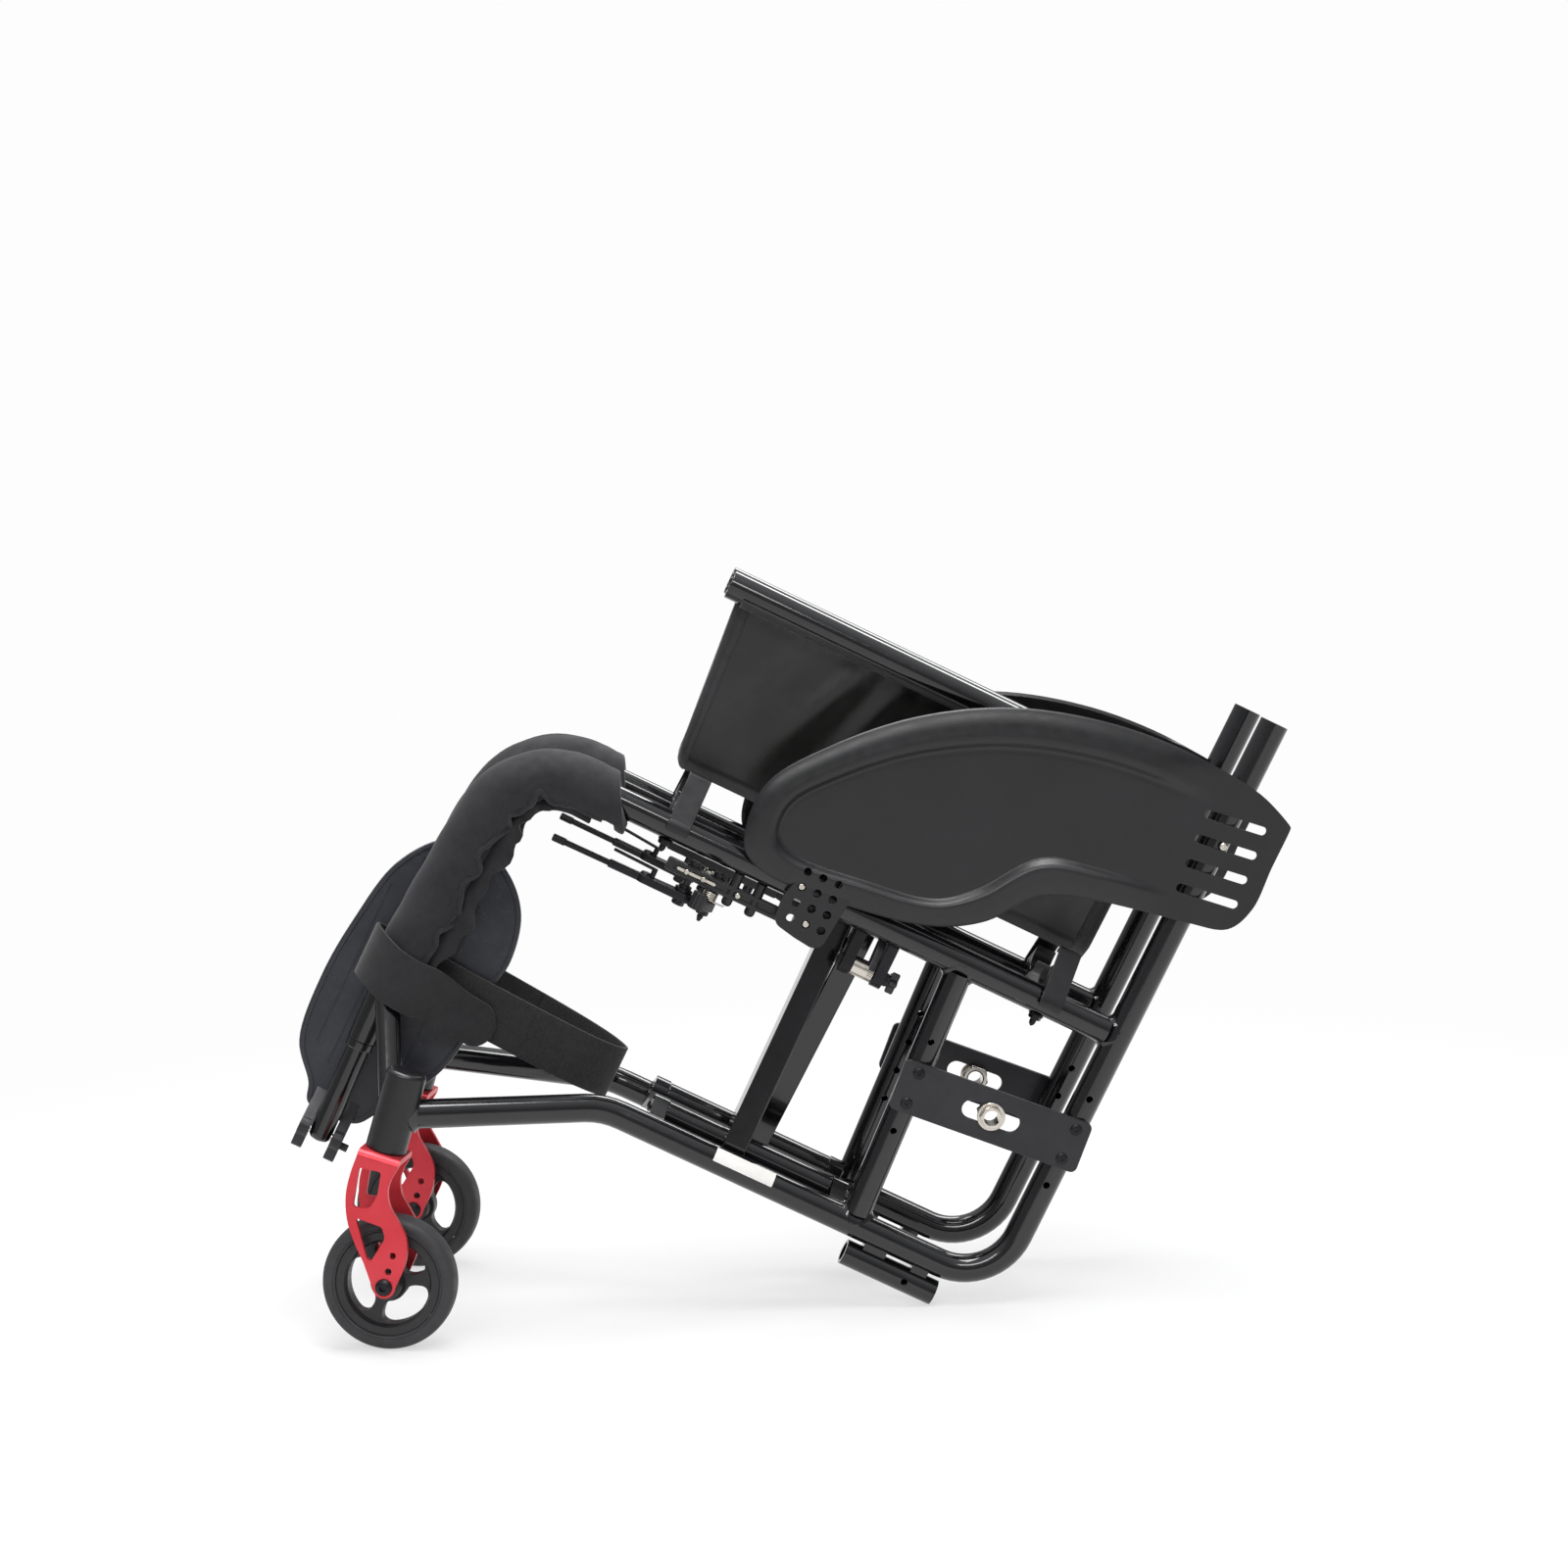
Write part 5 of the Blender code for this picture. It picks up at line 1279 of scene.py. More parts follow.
    def tyre(self) -> Object:
        """Solid tyre with a moulding line on each side and a shallow crown.

        Returns:
            The tyre, with its axle on z.
        """
        one_side = [(0.0398, 0.0102), (0.0404, 0.0112), (0.0416, 0.0117), (0.0421, 0.0113), (0.0426, 0.0118),
                    (0.0452, 0.0120), (0.0474, 0.0116), (0.0490, 0.0105), (0.0501, 0.0088), (0.0506, 0.0068),
                    (0.0509, 0.0040)]
        profile = one_side + [(0.0510, 0.0)] + [(r, -z) for r, z in reversed(one_side)]
        return eased(turned(profile, 96, ring=True), shade=60)

    def bolt(self) -> Object:
        """Axle bolt with a socket head on each side.

        Returns:
            The bolt with its spacer and heads.
        """
        reach = self.inner_w / 2 + self.leg_t + C.gap
        shank = turned([(0.0040, -reach), (0.0040, reach)], 24)
        spacer = turned([(0.0060, 0.0168), (0.0075, 0.0168), (0.0075, 0.0174), (0.0060, 0.0174)], 32,
                        ring=True)
        heads = repeated(SCREWS.button(0.0065, 0.0034), [along_n(reach), along_n(-reach) @ UPSIDE_DOWN])
        return eased(joined(shank, spacer, heads), shade=35)

    def build(self) -> None:
        """Make and mount both castors."""
        pair(self.housing(), "stem_cup", "frame", ["castor_housing"], SEMI, lambda side: C.stem_frame())
        pair(self.fork(), "fork", "castor", ["castor_fork"], RED, C.castor_frame)
        hub = along_w(0, *self.axle)
        for side, turn in zip(Side, self.opening_turns):
            mount(self.wheel(turn), f"{side.label}_rim", PLACED @ side.mirror @ C.castor_frame(side) @ hub,
                  f"{side.label}_wheel", [f"{side.label}_castor_wheel"], RIM)
        pair(self.tyre(), "tyre", "wheel", ["castor_tyre"], TYRE, lambda side: C.castor_frame(side) @ hub)
        pair(self.bolt(), "axle_bolt", "castor", ["castor_axle"], OXIDE,
             lambda side: C.castor_frame(side) @ hub)


@dataclass(frozen=True)
class AxleMount:
    """Slotted plate across the two posts, its screws, and the sleeve that takes a push-in axle."""

    length: float = 0.1540
    height: float = 0.0410
    thickness: float = 0.0050
    corner_r: float = 0.0050
    slot_length: float = 0.0470
    slot_height: float = 0.0150
    front_holes: tuple[float, float] = (0.1060, 0.1310)
    rear_holes: tuple[float, float] = (0.1180, 0.1430)
    bore: float = 0.0060
    washer_t: float = 0.0018
    neck_end: float = -0.0073

    def plane(self) -> Matrix:
        """The plate's own plane on the outside of the posts.

        Returns:
            The matrix, with z outwards.
        """
        front = [C.wheel_post(n) for n in self.front_holes]
        rear = [Vector((0, C.side_w, n)) for n in self.rear_holes]
        middle = (front[0] + front[1] + rear[0] + rear[1]) / 4
        rise = rear[0] - front[0]
        lift = C.side_w + C.tube_r + C.gap
        return along_w(lift, middle.x, middle.z) @ Matrix.Rotation(math.atan2(rise.z, rise.x), 4, "Z")

    def sheet(self) -> Object:
        """The slotted plate, lying in its own plane.

        Returns:
            The plate, with z outwards.
        """
        x, y, r = self.length / 2, self.height / 2, self.corner_r
        sheet = plate([(x, y, r), (-x, y, r), (-x, -y, r), (x, -y, r)], self.thickness)
        half = (self.slot_length - self.slot_height) / 2
        slot = plate(capsule((-half, 0), (half, 0), self.slot_height / 2), 4 * self.thickness)
        return eased(cut(sheet, shifted(slot, 0, 0, -self.thickness)), 0.0006)

    def screws(self) -> Object:
        """The four heads that hold the plate on its posts.

        Returns:
            The heads, in half coordinates.
        """
        spots = [C.wheel_post(n) for n in self.front_holes]
        spots += [Vector((0, C.side_w, n)) for n in self.rear_holes]
        face = C.side_w + C.tube_r + C.gap + self.thickness
        return repeated(SCREWS.button(0.0046, 0.0016), [along_w(face, p.x, p.z) for p in spots])

    def bushing(self) -> Object:
        """The sleeve through the slot, with its washer and nut outside and its nut inside.

        Returns:
            The sleeve, in the plate's plane.
        """
        face, bore = self.thickness + C.gap, self.bore
        end = face + self.washer_t
        washer = turned([(0.0062, face), (0.0106, face), (0.0110, face + 0.0004), (0.0110, face + 0.0014),
                         (0.0106, end), (0.0062, end)], 48, ring=True)
        nut = moved(SCREWS.nut(0.0160, 0.0050, bore), along_n(end) @ Matrix.Rotation(0.3, 4, "Z"))
        start, tip = self.neck_end, face + 0.0066
        neck = turned([(bore, start), (0.0072, start), (0.0072, face), (0.0072, tip), (bore, tip)], 48,
                      ring=True)
        back = shifted(SCREWS.nut(0.0190, 0.0070, bore), 0, 0, self.neck_end)
        return eased(joined(washer, nut, neck, back), 0.0002)

    def build(self) -> None:
        """Make and mount the plate, screws and sleeve of both sides."""
        plane = self.plane()
        pair(self.sheet(), "mount_plate", "frame", ["axle_plate"], SATIN, lambda side: plane)
        pair(self.screws(), "mount_screws", "frame", [], OXIDE)
        pair(self.bushing(), "axle_bushing", "frame", ["axle_sleeve"], STEEL, lambda side: plane)


@dataclass(frozen=True)
class SideGuard:
    """Moulded guard with a rolled edge, a recessed panel, rear slots and the drilled tab with its screws."""

    thickness: float = 0.0030
    step: float = 0.0050
    roll: float = 0.0045
    points: int = 176
    slot_top: Point = (0.0045, 0.4090)
    slot_step: Point = (0.0019, -0.0200)
    slot_turn: float = math.radians(8)
    slot_length: float = 0.0500
    slot_w: float = 0.0068
    tab_t: float = 0.0084
    tab_hole_r: float = 0.0032
    tab_hole: Point = (-0.2705, 0.1975)
    tab_pitch: float = 0.0127
    clamp_t: float = 0.0095
    clamp_in: float = 0.0100
    screw_at: Point = (0.0043, 0.3886)
    edge: tuple[Point, ...] = (
        (-0.3310, 0.2500), (-0.3290, 0.2850), (-0.3000, 0.3270), (-0.2500, 0.3760), (-0.1870, 0.4140),
        (-0.1100, 0.4360), (-0.0300, 0.4410), (0.0100, 0.4372), (0.0300, 0.4308), (0.0442, 0.4240),
        (0.0446, 0.4232), (0.0452, 0.3900), (0.0460, 0.3540), (0.0360, 0.3330), (0.0050, 0.3240),
        (-0.0690, 0.3100), (-0.1080, 0.2940), (-0.1350, 0.2600), (-0.1700, 0.2390), (-0.2310, 0.2260),
        (-0.3000, 0.2210), (-0.3220, 0.2290))
    panel: tuple[Point, ...] = (
        (-0.3090, 0.2560), (-0.3080, 0.2780), (-0.2840, 0.3100), (-0.2370, 0.3530), (-0.1760, 0.3880),
        (-0.1040, 0.4090), (-0.0310, 0.4150), (0.0040, 0.4135), (0.0160, 0.4115), (0.0240, 0.4085),
        (0.0262, 0.4065), (0.0295, 0.3900), (0.0330, 0.3570), (0.0260, 0.3460), (0.0000, 0.3400),
        (-0.0740, 0.3315), (-0.1170, 0.3190), (-0.1500, 0.2770), (-0.1770, 0.2560), (-0.2350, 0.2455),
        (-0.2850, 0.2405), (-0.3020, 0.2455))

    def inner(self) -> float:
        """How far out the guard's inner face lies."""
        return C.side_w + C.tube_r + C.gap

    def skin(self) -> Object:
        """The moulded sheet, drawn in from its rolled edge to the panel.

        Returns:
            The sheet with its slots and holes.
        """
        edge, panel = smooth_loop(self.edge, self.points), smooth_loop(self.panel, self.points)
        # The border is arched from the rolled edge to a lip, and falls steeply to the panel.
        stages = [(0.0, 1, 1.0), (0.01, 1, 0.90), (0.04, 1, 0.80), (0.08, 1, 0.68), (0.13, 1, 0.55),
                  (0.19, 1, 0.42), (0.26, 1, 0.29), (0.34, 1, 0.17), (0.43, 1, 0.07), (0.52, 1.01, 0.02),
                  (0.60, 1.06, 0), (0.68, 1.12, 0), (0.75, 1.14, 0), (0.81, 1.08, 0), (0.86, 0.92, 0),
                  (0.91, 0.66, 0), (0.96, 0.38, 0), (1.01, 0.14, 0), (1.06, 0.00, 0), (1.11, -0.06, 0),
                  (1.18, -0.03, 0), (1.27, 0, 0)]
        loops = []
        for share, raised, rolled in stages:
            loop = []
            for a, b in zip(edge, panel):
                spot = a.lerp(b, share)
                height = self.step * (1 - smooth_step(spot.x, -0.0700, -0.0200))
                rolled_in = self.roll * rolled * height / self.step
                w = self.inner() + self.thickness / 2 + raised * height - rolled_in
                loop.append(Vector((spot.x, w, spot.y)))
            loops.append(loop)
        sheet = lofted(loops, filled=False)
        edit(sheet, "VERT", lambda v: v.index >= (len(stages) - 1) * self.points)
        bpy.ops.mesh.edge_face_add()
        bpy.ops.mesh.select_all(action="SELECT")
        bpy.ops.mesh.normals_make_consistent(inside=False)
        close_up(applied(sheet, "SOLIDIFY", thickness=self.thickness, offset=0))
        half = (self.slot_length - self.slot_w) / 2
        turn = Matrix.Rotation(self.slot_turn, 4, "Z")
        slots = []
        for k in range(4):
            slot = plate(capsule((-half, 0), (half, 0), self.slot_w / 2), 0.02)
            u, n = (self.slot_top[i] + k * self.slot_step[i] for i in (0, 1))
            slots.append(moved(slot, along_w(self.inner() - 0.008, u, n) @ turn))
        return eased(cut(sheet, *slots, self.drills(self.tab_spots()[6:])), 0.0006, 50)

    def drills(self, spots: Sequence[Point]) -> Object:
        """Cutters for holes across the guard."""
        low, high = self.inner() - 0.01, self.inner() + 0.03
        return joined(*(rod((u, low, n), (u, high, n), self.tab_hole_r, 20) for u, n in spots))

    def tab_spots(self) -> list[Point]:
        """Centres of the tab's twelve holes, row by row from the lowest."""
        u, n = self.tab_hole
        return [(u + column * self.tab_pitch - row * 0.0012, n + row * self.tab_pitch + column * 0.0006)
                for row in range(4) for column in range(3)]

    def tab(self) -> Object:
        """The drilled block that is screwed to the frame, ending behind the guard's border.

        Returns:
            The drilled block.
        """
        outline = arc((-0.2730, 0.1965), 0.0090, 190, 262, 6) + [(-0.2610, 0.1850)]
        outline += arc((-0.2480, 0.1930), 0.0095, 255, 355, 8)
        outline += [(-0.2350, 0.2300), (-0.2780, 0.2300), (-0.2830, 0.2120)]
        block = moved(plate(outline, self.tab_t - 0.0026), along_w(self.inner() + C.gap))
        return eased(cut(block, self.drills(self.tab_spots())), 0.0005)

    def clamp(self) -> Object:
        """Block between the tab and the seat tube's underside that takes the screws.

        Returns:
            The block, hollowed for the tube.
        """
        corners = ((-0.2640, 0.1935), (-0.2380, 0.1925), (-0.2370, 0.2120), (-0.2640, 0.2120))
        outline = [(*corner, 0.002) for corner in corners]
        block = moved(plate(outline, self.clamp_t), along_w(self.inner() - self.clamp_in))
        tube = rod((-0.3000, C.side_w, C.frame_h), (-0.2000, C.side_w, C.frame_h), C.tube_r + C.gap, 48)
        return eased(cut(block, tube), 0.0006)

    def build(self) -> None:
        """Make and mount the guards, tabs and their screws."""
        pair(self.skin(), "guard_skin", "frame", ["side_guard"], NYLON)
        pair(self.tab(), "guard_tab", "frame", [], NYLON)
        pair(self.clamp(), "guard_clamp", "frame", [], OXIDE)
        spots = self.tab_spots()
        face = self.inner() + C.gap + self.tab_t - 0.0045
        held = [spots[k] for k in (1, 6)]
        pair(repeated(SCREWS.button(0.0030, 0.0014), [along_w(face, u, n) for u, n in held]),
             "tab_screws", "frame", [], STEEL)
        face = self.inner() + self.thickness + 0.0002
        pair(repeated(SCREWS.button(0.0032, 0.0016), [along_w(face, *self.screw_at)]), "guard_screw",
             "frame", [], STEEL)


@dataclass(frozen=True)
class Clamps:
    """Saddles for the seat rails, pivot brackets of the brace and the anti-tip receivers."""

    saddle_n: float = 0.2430
    saddle_length: float = 0.0260
    saddle_us: tuple[float, float] = (-0.3770, -0.0610)
    cradle_room: float = 0.0032
    clip_t: float = 0.0036
    lip_t: float = 0.0026
    horn_t: float = 0.0024
    bolt_ahead: float = 0.0040
    pivot_us: tuple[float, float] = (-0.2885, -0.1465)
    lug_r: float = 0.0105
    stub_r: float = 0.0050
    stub_reach: float = 0.0150
    bracket_t: float = 0.0124
    receiver_r: float = 0.0100
    receiver_bore: float = 0.0075
    receiver_u: tuple[float, float] = (-0.1180, -0.0400)
    receiver_drop: float = 0.0125
    button_u: float = -0.0660
    button_r: float = 0.0026
    web_us: tuple[Point, ...] = ((-0.1060, -0.0870), (-0.0650, -0.0510))
    web_t: float = 0.0120

    def saddle(self) -> Object:
        """The cradle block under the rail, down to the seat tube.

        Returns:
            The block, drawn square to the rail.
        """
        w0, n0 = C.side_w, C.frame_h
        p = C.pivot_w
        tube = C.tube_r + C.gap
        rail = C.tube_r + self.cradle_room
        outer = tube + self.clip_t
        outline = [(w0 - outer, n0 - 0.001, 0.001)] + arc((w0, n0), outer, 356, 378, 3)
        # The inner lip ends low, because the sling leaves the rail above it when the chair is open.
        outline += arc((p, self.saddle_n), rail, 20, -165, 20)
        outline += arc((p, self.saddle_n), rail + self.lip_t, 195, 262, 8)
        block = shifted(plate(outline, self.saddle_length - 0.0100), 0, 0, 0.0050)
        return cut(block, self.tube_drill(w0, n0, tube))

    def horn(self) -> Object:
        """The strap that rises from the tube's outer side and curls over towards the rail.

        Returns:
            The strap, drawn square to the rail.
        """
        w0, n0 = C.side_w, C.frame_h
        reach = C.tube_r + C.gap + self.clip_t
        lip = (C.pivot_w + C.tube_r + 0.0045, self.saddle_n + 0.0165)
        outer = arc((w0, n0), reach + self.horn_t, -8, 28, 8) + arc(lip, 0.0050, 20, 200, 12)
        inner = arc(lip, 0.0026, 200, 20, 12) + arc((w0, n0), reach, 24, -8, 8)
        return shifted(plate(outer + inner, self.saddle_length - 0.0080), 0, 0, 0.0040)

    def clip_bolts(self) -> Object:
        """Nuts and pointed bolt ends under the seat tube, one below each clip.

        Returns:
            Both bolt ends with their nuts.
        """
        foot = C.frame_h - C.tube_r - C.gap
        bolts = []
        for u in self.saddle_us:
            nut = SCREWS.nut(0.0092, 0.0042, 0)
            end = turned([(0.0026, 0), (0.0026, 0.0070), (0.0020, 0.0086), (0.0006, 0.0100)], 16)
            washer = turned([(0.0010, 0.0), (0.0060, 0.0), (0.0060, 0.0010), (0.0010, 0.0010)], 32)
            place = along_n(foot, u - self.bolt_ahead, C.side_w) @ UPSIDE_DOWN
            bolts.append(moved(joined(nut, end, washer), place))
        return eased(joined(*bolts), shade=35)

    def tube_drill(self, w: float, n: float, radius: float) -> Object:
        """Cutter for a tube that runs through a clip drawn square to it.

        Args:
            w: How far out the tube lies.
            n: Its height.
            radius: Radius of the hole.

        Returns:
            The cutter.
        """
        return hung([(radius, -0.02), (radius, 0.06)], 48, w, n)

    def bracket(self, heading: int) -> Object:
        """Lug on the inner side of the lower tube with the stub that the brace turns on.

        Args:
            heading: 1 where its stub runs forwards, -1 where it runs rearwards.

        Returns:
            The lug with its stub and cap.
        """
        w, n, t = C.pivot_w, C.pivot_n, self.bracket_t
        arm = plate(capsule((w, n), (C.side_w - 0.004, 0), self.lug_r, steps=16), t)
        shifted(arm, 0, 0, 0 if heading > 0 else -t)
        arm = eased(cut(arm, self.tube_drill(C.side_w, 0, C.tube_r + C.gap)), 0.0008, 40)
        stub = rod((w, n, heading * t / 2), (w, n, -heading * self.stub_reach), self.stub_r)
        turn = Matrix() if heading > 0 else UPSIDE_DOWN
        cap = moved(SCREWS.button(0.0052, 0.0024), along_n(heading * t, w, n) @ turn)
        return joined(arm, stub, cap)

    def receiver(self) -> Object:
        """Open tube on a web under the lower tube, slotted for the anti-tip wheel's button.

        Returns:
            The tube with its two webs.
        """
        centre = -C.tube_r - self.receiver_drop
        length = self.receiver_u[1] - self.receiver_u[0]
        tube = lying([(self.receiver_bore, 0), (self.receiver_r, 0), (self.receiver_r, length),
                      (self.receiver_bore, length)], 40, (self.receiver_u[0], C.side_w, centre))
        ends = [(self.button_u, C.side_w + across, centre) for across in (-0.02, 0.02)]
        tube = eased(cut(tube, rod(*ends, self.button_r)), 0.0005)
        webs = []
        foot, top = centre + 0.0085, -0.0070
        for low, high in self.web_us:
            web = plate([(low, foot), (high, foot), (high, top), (low, top)], self.web_t)
            webs.append(eased(moved(web, along_w(C.side_w - self.web_t / 2)), 0.0008))
        return joined(tube, *webs)

    def build(self) -> None:
        """Make and mount the clamps of both sides."""
        for label, u in zip(("front", "rear"), self.saddle_us):
            clip = joined(eased(self.saddle(), 0.0006, 40), eased(self.horn(), 0.0006, 40))
            pair(clip, f"{label}_clip", "frame", [f"{label}_saddle"], SEMI,
                 lambda side, u=u: along_u(u - self.saddle_length / 2))
        for label, u, heading in zip(("front", "rear"), self.pivot_us, (-1, 1)):
            pair(self.bracket(heading), f"{label}_pivot_clamp", "frame", [f"{label}_pivot_bracket"], GLOSS,
                 lambda side, u=u: along_u(u))
        pair(self.clip_bolts(), "clip_bolts", "frame", [], OXIDE)
        pair(self.receiver(), "receiver", "frame", ["anti_tip_receiver"], GLOSS)


@dataclass(frozen=True)
class FootRest:
    """Hanger tubes and the one-piece footplate on the left one."""

    hanger_r: float = 0.0088
    end_n: float = -0.1170
    hinge_n: float = -0.1110
    lean: float = math.radians(7.5)
    thickness: float = 0.0040
    offset: float = 0.0150
    lug_t: float = 0.0085
    lug_gap: float = 0.0005
    pin_r: float = 0.0030
    collar: Point = (0.0070, 0.0006)
    grooves: tuple[tuple[float, float, float], ...] = (
        (-0.0330, 0.0620, 0.1950), (-0.0180, 0.0500, 0.2250), (0.0350, 0.0750, 0.2080))
    groove_half: float = 0.0009
    groove_depth: float = 0.0019
    controls: tuple[Point, ...] = (
        (-0.0190, 0.0150), (-0.0260, 0.0300), (-0.0460, 0.0560), (-0.0520, 0.1080), (-0.0480, 0.1600),
        (-0.0370, 0.2120), (-0.0120, 0.2440), (0.0180, 0.2520), (0.0470, 0.2400), (0.0680, 0.2160),
        (0.0760, 0.1800), (0.0715, 0.1500), (0.0700, 0.1080), (0.0620, 0.0760), (0.0330, 0.0300),
        (0.0200, 0.0150))

    def plane(self) -> Matrix:
        """The footplate's plane: x is u from the hinge, y up the plate, z outwards."""
        return Matrix.Translation(C.hanger(self.hinge_n)) @ Matrix.Rotation(self.lean, 4, "X") @ along_w(0)

    def hanger(self) -> Object:
        """Tube with a domed end and the collar that grips it in the front tube.

        Returns:
            The tube with its collar.
        """
        tip, top = C.hanger(self.end_n), C.hanger(0)
        run = top - tip
        r = self.hanger_r
        bar = turned([(r * 0.15, 0), (r * 0.5, 0.0004), (r * 0.8, 0.0016), (r * 0.96, 0.0036), (r, 0.0060),
                      (r, run.length)], 32)
        low, high = (C.front_end_n - self.end_n - drop for drop in self.collar)
        inner = r + 0.0001
        profile = [(inner, low), (0.0100, low), (0.0106, low + 0.0008), (0.0106, high), (inner, high)]
        collar = turned(profile, 40, ring=True)
        return eased(moved(joined(bar, collar), facing(tip, run, OUT)), 0.0003)

    def blade(self) -> Object:
        """The plate itself, with a raised rim round a sunk panel and three long grooves.

        Returns:
            The plate, in the footplate's plane.
        """
        # The controls run clockwise, so their loop is turned round.
        loop = smooth_loop(self.controls, 128)[::-1]
        t = self.thickness
        stages = [(0.0012, 0), (0.0003, 0.0003), (0, 0.0010), (0, t - 0.0010), (0.0003, t - 0.0003),
                  (0.0011, t), (0.0034, t), (0.0040, t - 0.0002), (0.0044, t - 0.0010)]
        loops = [[Vector((p.x, p.y, z)) for p in inset(loop, away)] for away, z in stages]
        blade = lofted(loops)
        grooves = []
        for x, low, high in self.grooves:
            groove = plate(capsule((x, low), (x, high), self.groove_half, steps=6), 0.01)
            grooves.append(shifted(groove, 0, 0, t - self.groove_depth))
        return shifted(eased(cut(blade, *grooves), shade=30), 0, 0, -self.offset - t / 2)

    def lugs(self) -> Object:
        """Two hinge lugs and the stop knob.

        Returns:
            Both lugs and the knob, in the footplate's plane.
        """
        inner = -self.offset - self.thickness / 2
        clear = self.hanger_r + self.lug_gap
        shape = [(-0.0120, inner - 0.0006), (0.0290, inner + 0.0008), (0.0300, inner + 0.0030)]
        shape += arc((0, 0), 0.0080, 20, 180, 16) + [(-0.0180, -0.0040, 0.003), (-0.0180, inner + 0.0020)]
        lugs = []
        for start in (-clear - self.lug_t, clear):
            lugs.append(eased(moved(plate(shape, self.lug_t), along_u(start)), 0.0006))
        ends = [(clear + along, -0.0040, inner / 2) for along in (0.0040, 0.0145)]
        return joined(*lugs, eased(rod(*ends, self.pin_r, 20), 0.0006))

    def build(self) -> None:
        """Make and mount the hangers, the footplate and its pin."""
        pair(self.hanger(), "hanger", "frame", ["hanger_tube"], GLOSS)
        place = PLACED @ Side.LEFT.mirror @ self.plane()
        mount(self.blade(), "foot_blade", place, "footplate", ["footplate"], BLADE)
        mount(self.lugs(), "foot_lugs", place, "footplate", [], SATIN)
        reach = self.hanger_r + self.lug_gap + self.lug_t
        pin = eased(rod((-reach, 0, 0), (reach, 0, 0), self.pin_r), 0.0005)
        place = PLACED @ Side.LEFT.mirror @ Matrix.Translation(C.hanger(self.hinge_n))
        mount(pin, "foot_hinge_pin", place, "left_frame", ["footplate_pin"], STEEL)


@dataclass(frozen=True)
class CrossBrace:
    """The two crossing bars, their bolt, the seat rails and the links that guide them."""

    bar_t: float = 0.0190
    bar_gap: float = 0.0020
    bar_width: float = 0.0270
    end_back: float = 0.0060
    tube_r: float = 0.0095
    tube_bore: float = 0.0053
    tube_u: tuple[float, float] = (-0.2880, -0.1470)
    rail_u: tuple[float, float] = (-0.4200, -0.0380)
    link_hub: Point = (0.0460, 0.1820)
    link_reach: float = 0.2750
    link_t: float = 0.0060
    link_half: float = 0.0075
    hub_bore: float = 0.0038
    eye_bore: float = 0.0040
    pin_r: float = 0.0035
    running_gap: float = 0.0005
    hub_length: float = 0.0180
    ear_t: float = 0.0085
    ear_r: float = 0.0090

    def link_start(self, side: Side) -> float:
        """Where the link's face beside the brace bars lies along the chair."""
        return C.bar_u - side.value * (self.bar_gap / 2 + self.bar_t + self.running_gap)

    def hub(self, side: Side) -> Point:
        """Front and rear end of the hub that the link turns on.

        Args:
            side: The side that the link hangs on.

        Returns:
            The two ends, front first.
        """
        far = self.link_start(side) - side.value * self.link_t
        low, high = sorted((far, far + side.value * self.hub_length))
        return low, high

    def bar(self, side: Side) -> Object:
        """One arm: a box-section bar with rounded edges, welded on its pivot tube.

        Args:
            side: The side of its pivot tube.

        Returns:
            The bar with its tube.
        """
        start = C.bar_u + self.bar_gap / 2
        if side is Side.LEFT:
            start = C.bar_u - self.bar_gap / 2 - self.bar_t
        foot, rail = Vector(C.brace(0)), Vector(C.brace(2 * C.brace_half))
        aim = (rail - foot).normalized()
        half = self.bar_width / 2
        top = foot + aim * (2 * C.brace_half - self.end_back)
        across = Vector((-aim.y, aim.x)) * half
        heading = math.degrees(math.atan2(-across.y, -across.x))
        outline = arc(tuple(foot), half, heading, heading - 180, 20)
        outline += [tuple(top + across), tuple(top - across)]
        bar = eased(plate(outline, self.bar_t), 0.0013, 60, 3)
        moved(bar, along_u(start))
        bar = cut(bar, rod((self.rail_u[0], *rail), (self.rail_u[1], *rail), C.tube_r + C.gap, 48))
        bore, r, long = self.tube_bore, self.tube_r, self.tube_u[1] - self.tube_u[0]
        tube = lying([(bore, 0), (r, 0), (r, long), (bore, long)], 40, (self.tube_u[0], *foot))
        return joined(bar, eased(tube, 0.0006))

    def rail(self) -> Object:
        """Seat rail with an open end at each end.

        Returns:
            The open tube.
        """
        n = C.brace(2 * C.brace_half)[1]
        ends = [Vector((u, C.pivot_w, n)) for u in self.rail_u]
        return eased(bent_tube(ends, [], C.tube_r, C.wall, 40), 0.0005)

    def link(self, side: Side) -> Object:
        """Link from the hinge under the seat tube to the far end of the other brace.

        Args:
            side: The side that it hangs on.

        Returns:
            The drilled strip.
        """
        near = self.link_start(side)
        w, n = C.brace(self.link_reach)
        strip = plate(capsule(self.link_hub, (-w, n), self.link_half, steps=16), self.link_t)
        strip = cut(strip, self.bore(self.link_hub, self.hub_bore), self.bore((-w, n), self.eye_bore))
        return eased(moved(strip, along_u(min(near, near - side.value * self.link_t))), 0.0008)

    def bore(self, spot: Point, radius: float) -> Object:
        """Cutter for a hole in a link drawn square to it.

        Args:
            spot: Where the hole is, as (w, n).
            radius: Its radius.

        Returns:
            The cutter.
        """
        return hung([(radius, -0.01), (radius, 0.02)], 32, *spot)

    def barrel(self, side: Side) -> Object:
        """The bright spacer that the link turns on.

        Args:
            side: The side of the link.

        Returns:
            The spacer.
        """
        low, high = self.hub(side)
        bore, long = self.hub_bore, high - low
        profile = [(bore, 0), (0.0070, 0), (0.0075, 0.0005), (0.0075, long - 0.0005), (0.0070, long),
                   (bore, long)]
        return eased(lying(profile, 40, (low, *self.link_hub)), shade=35)

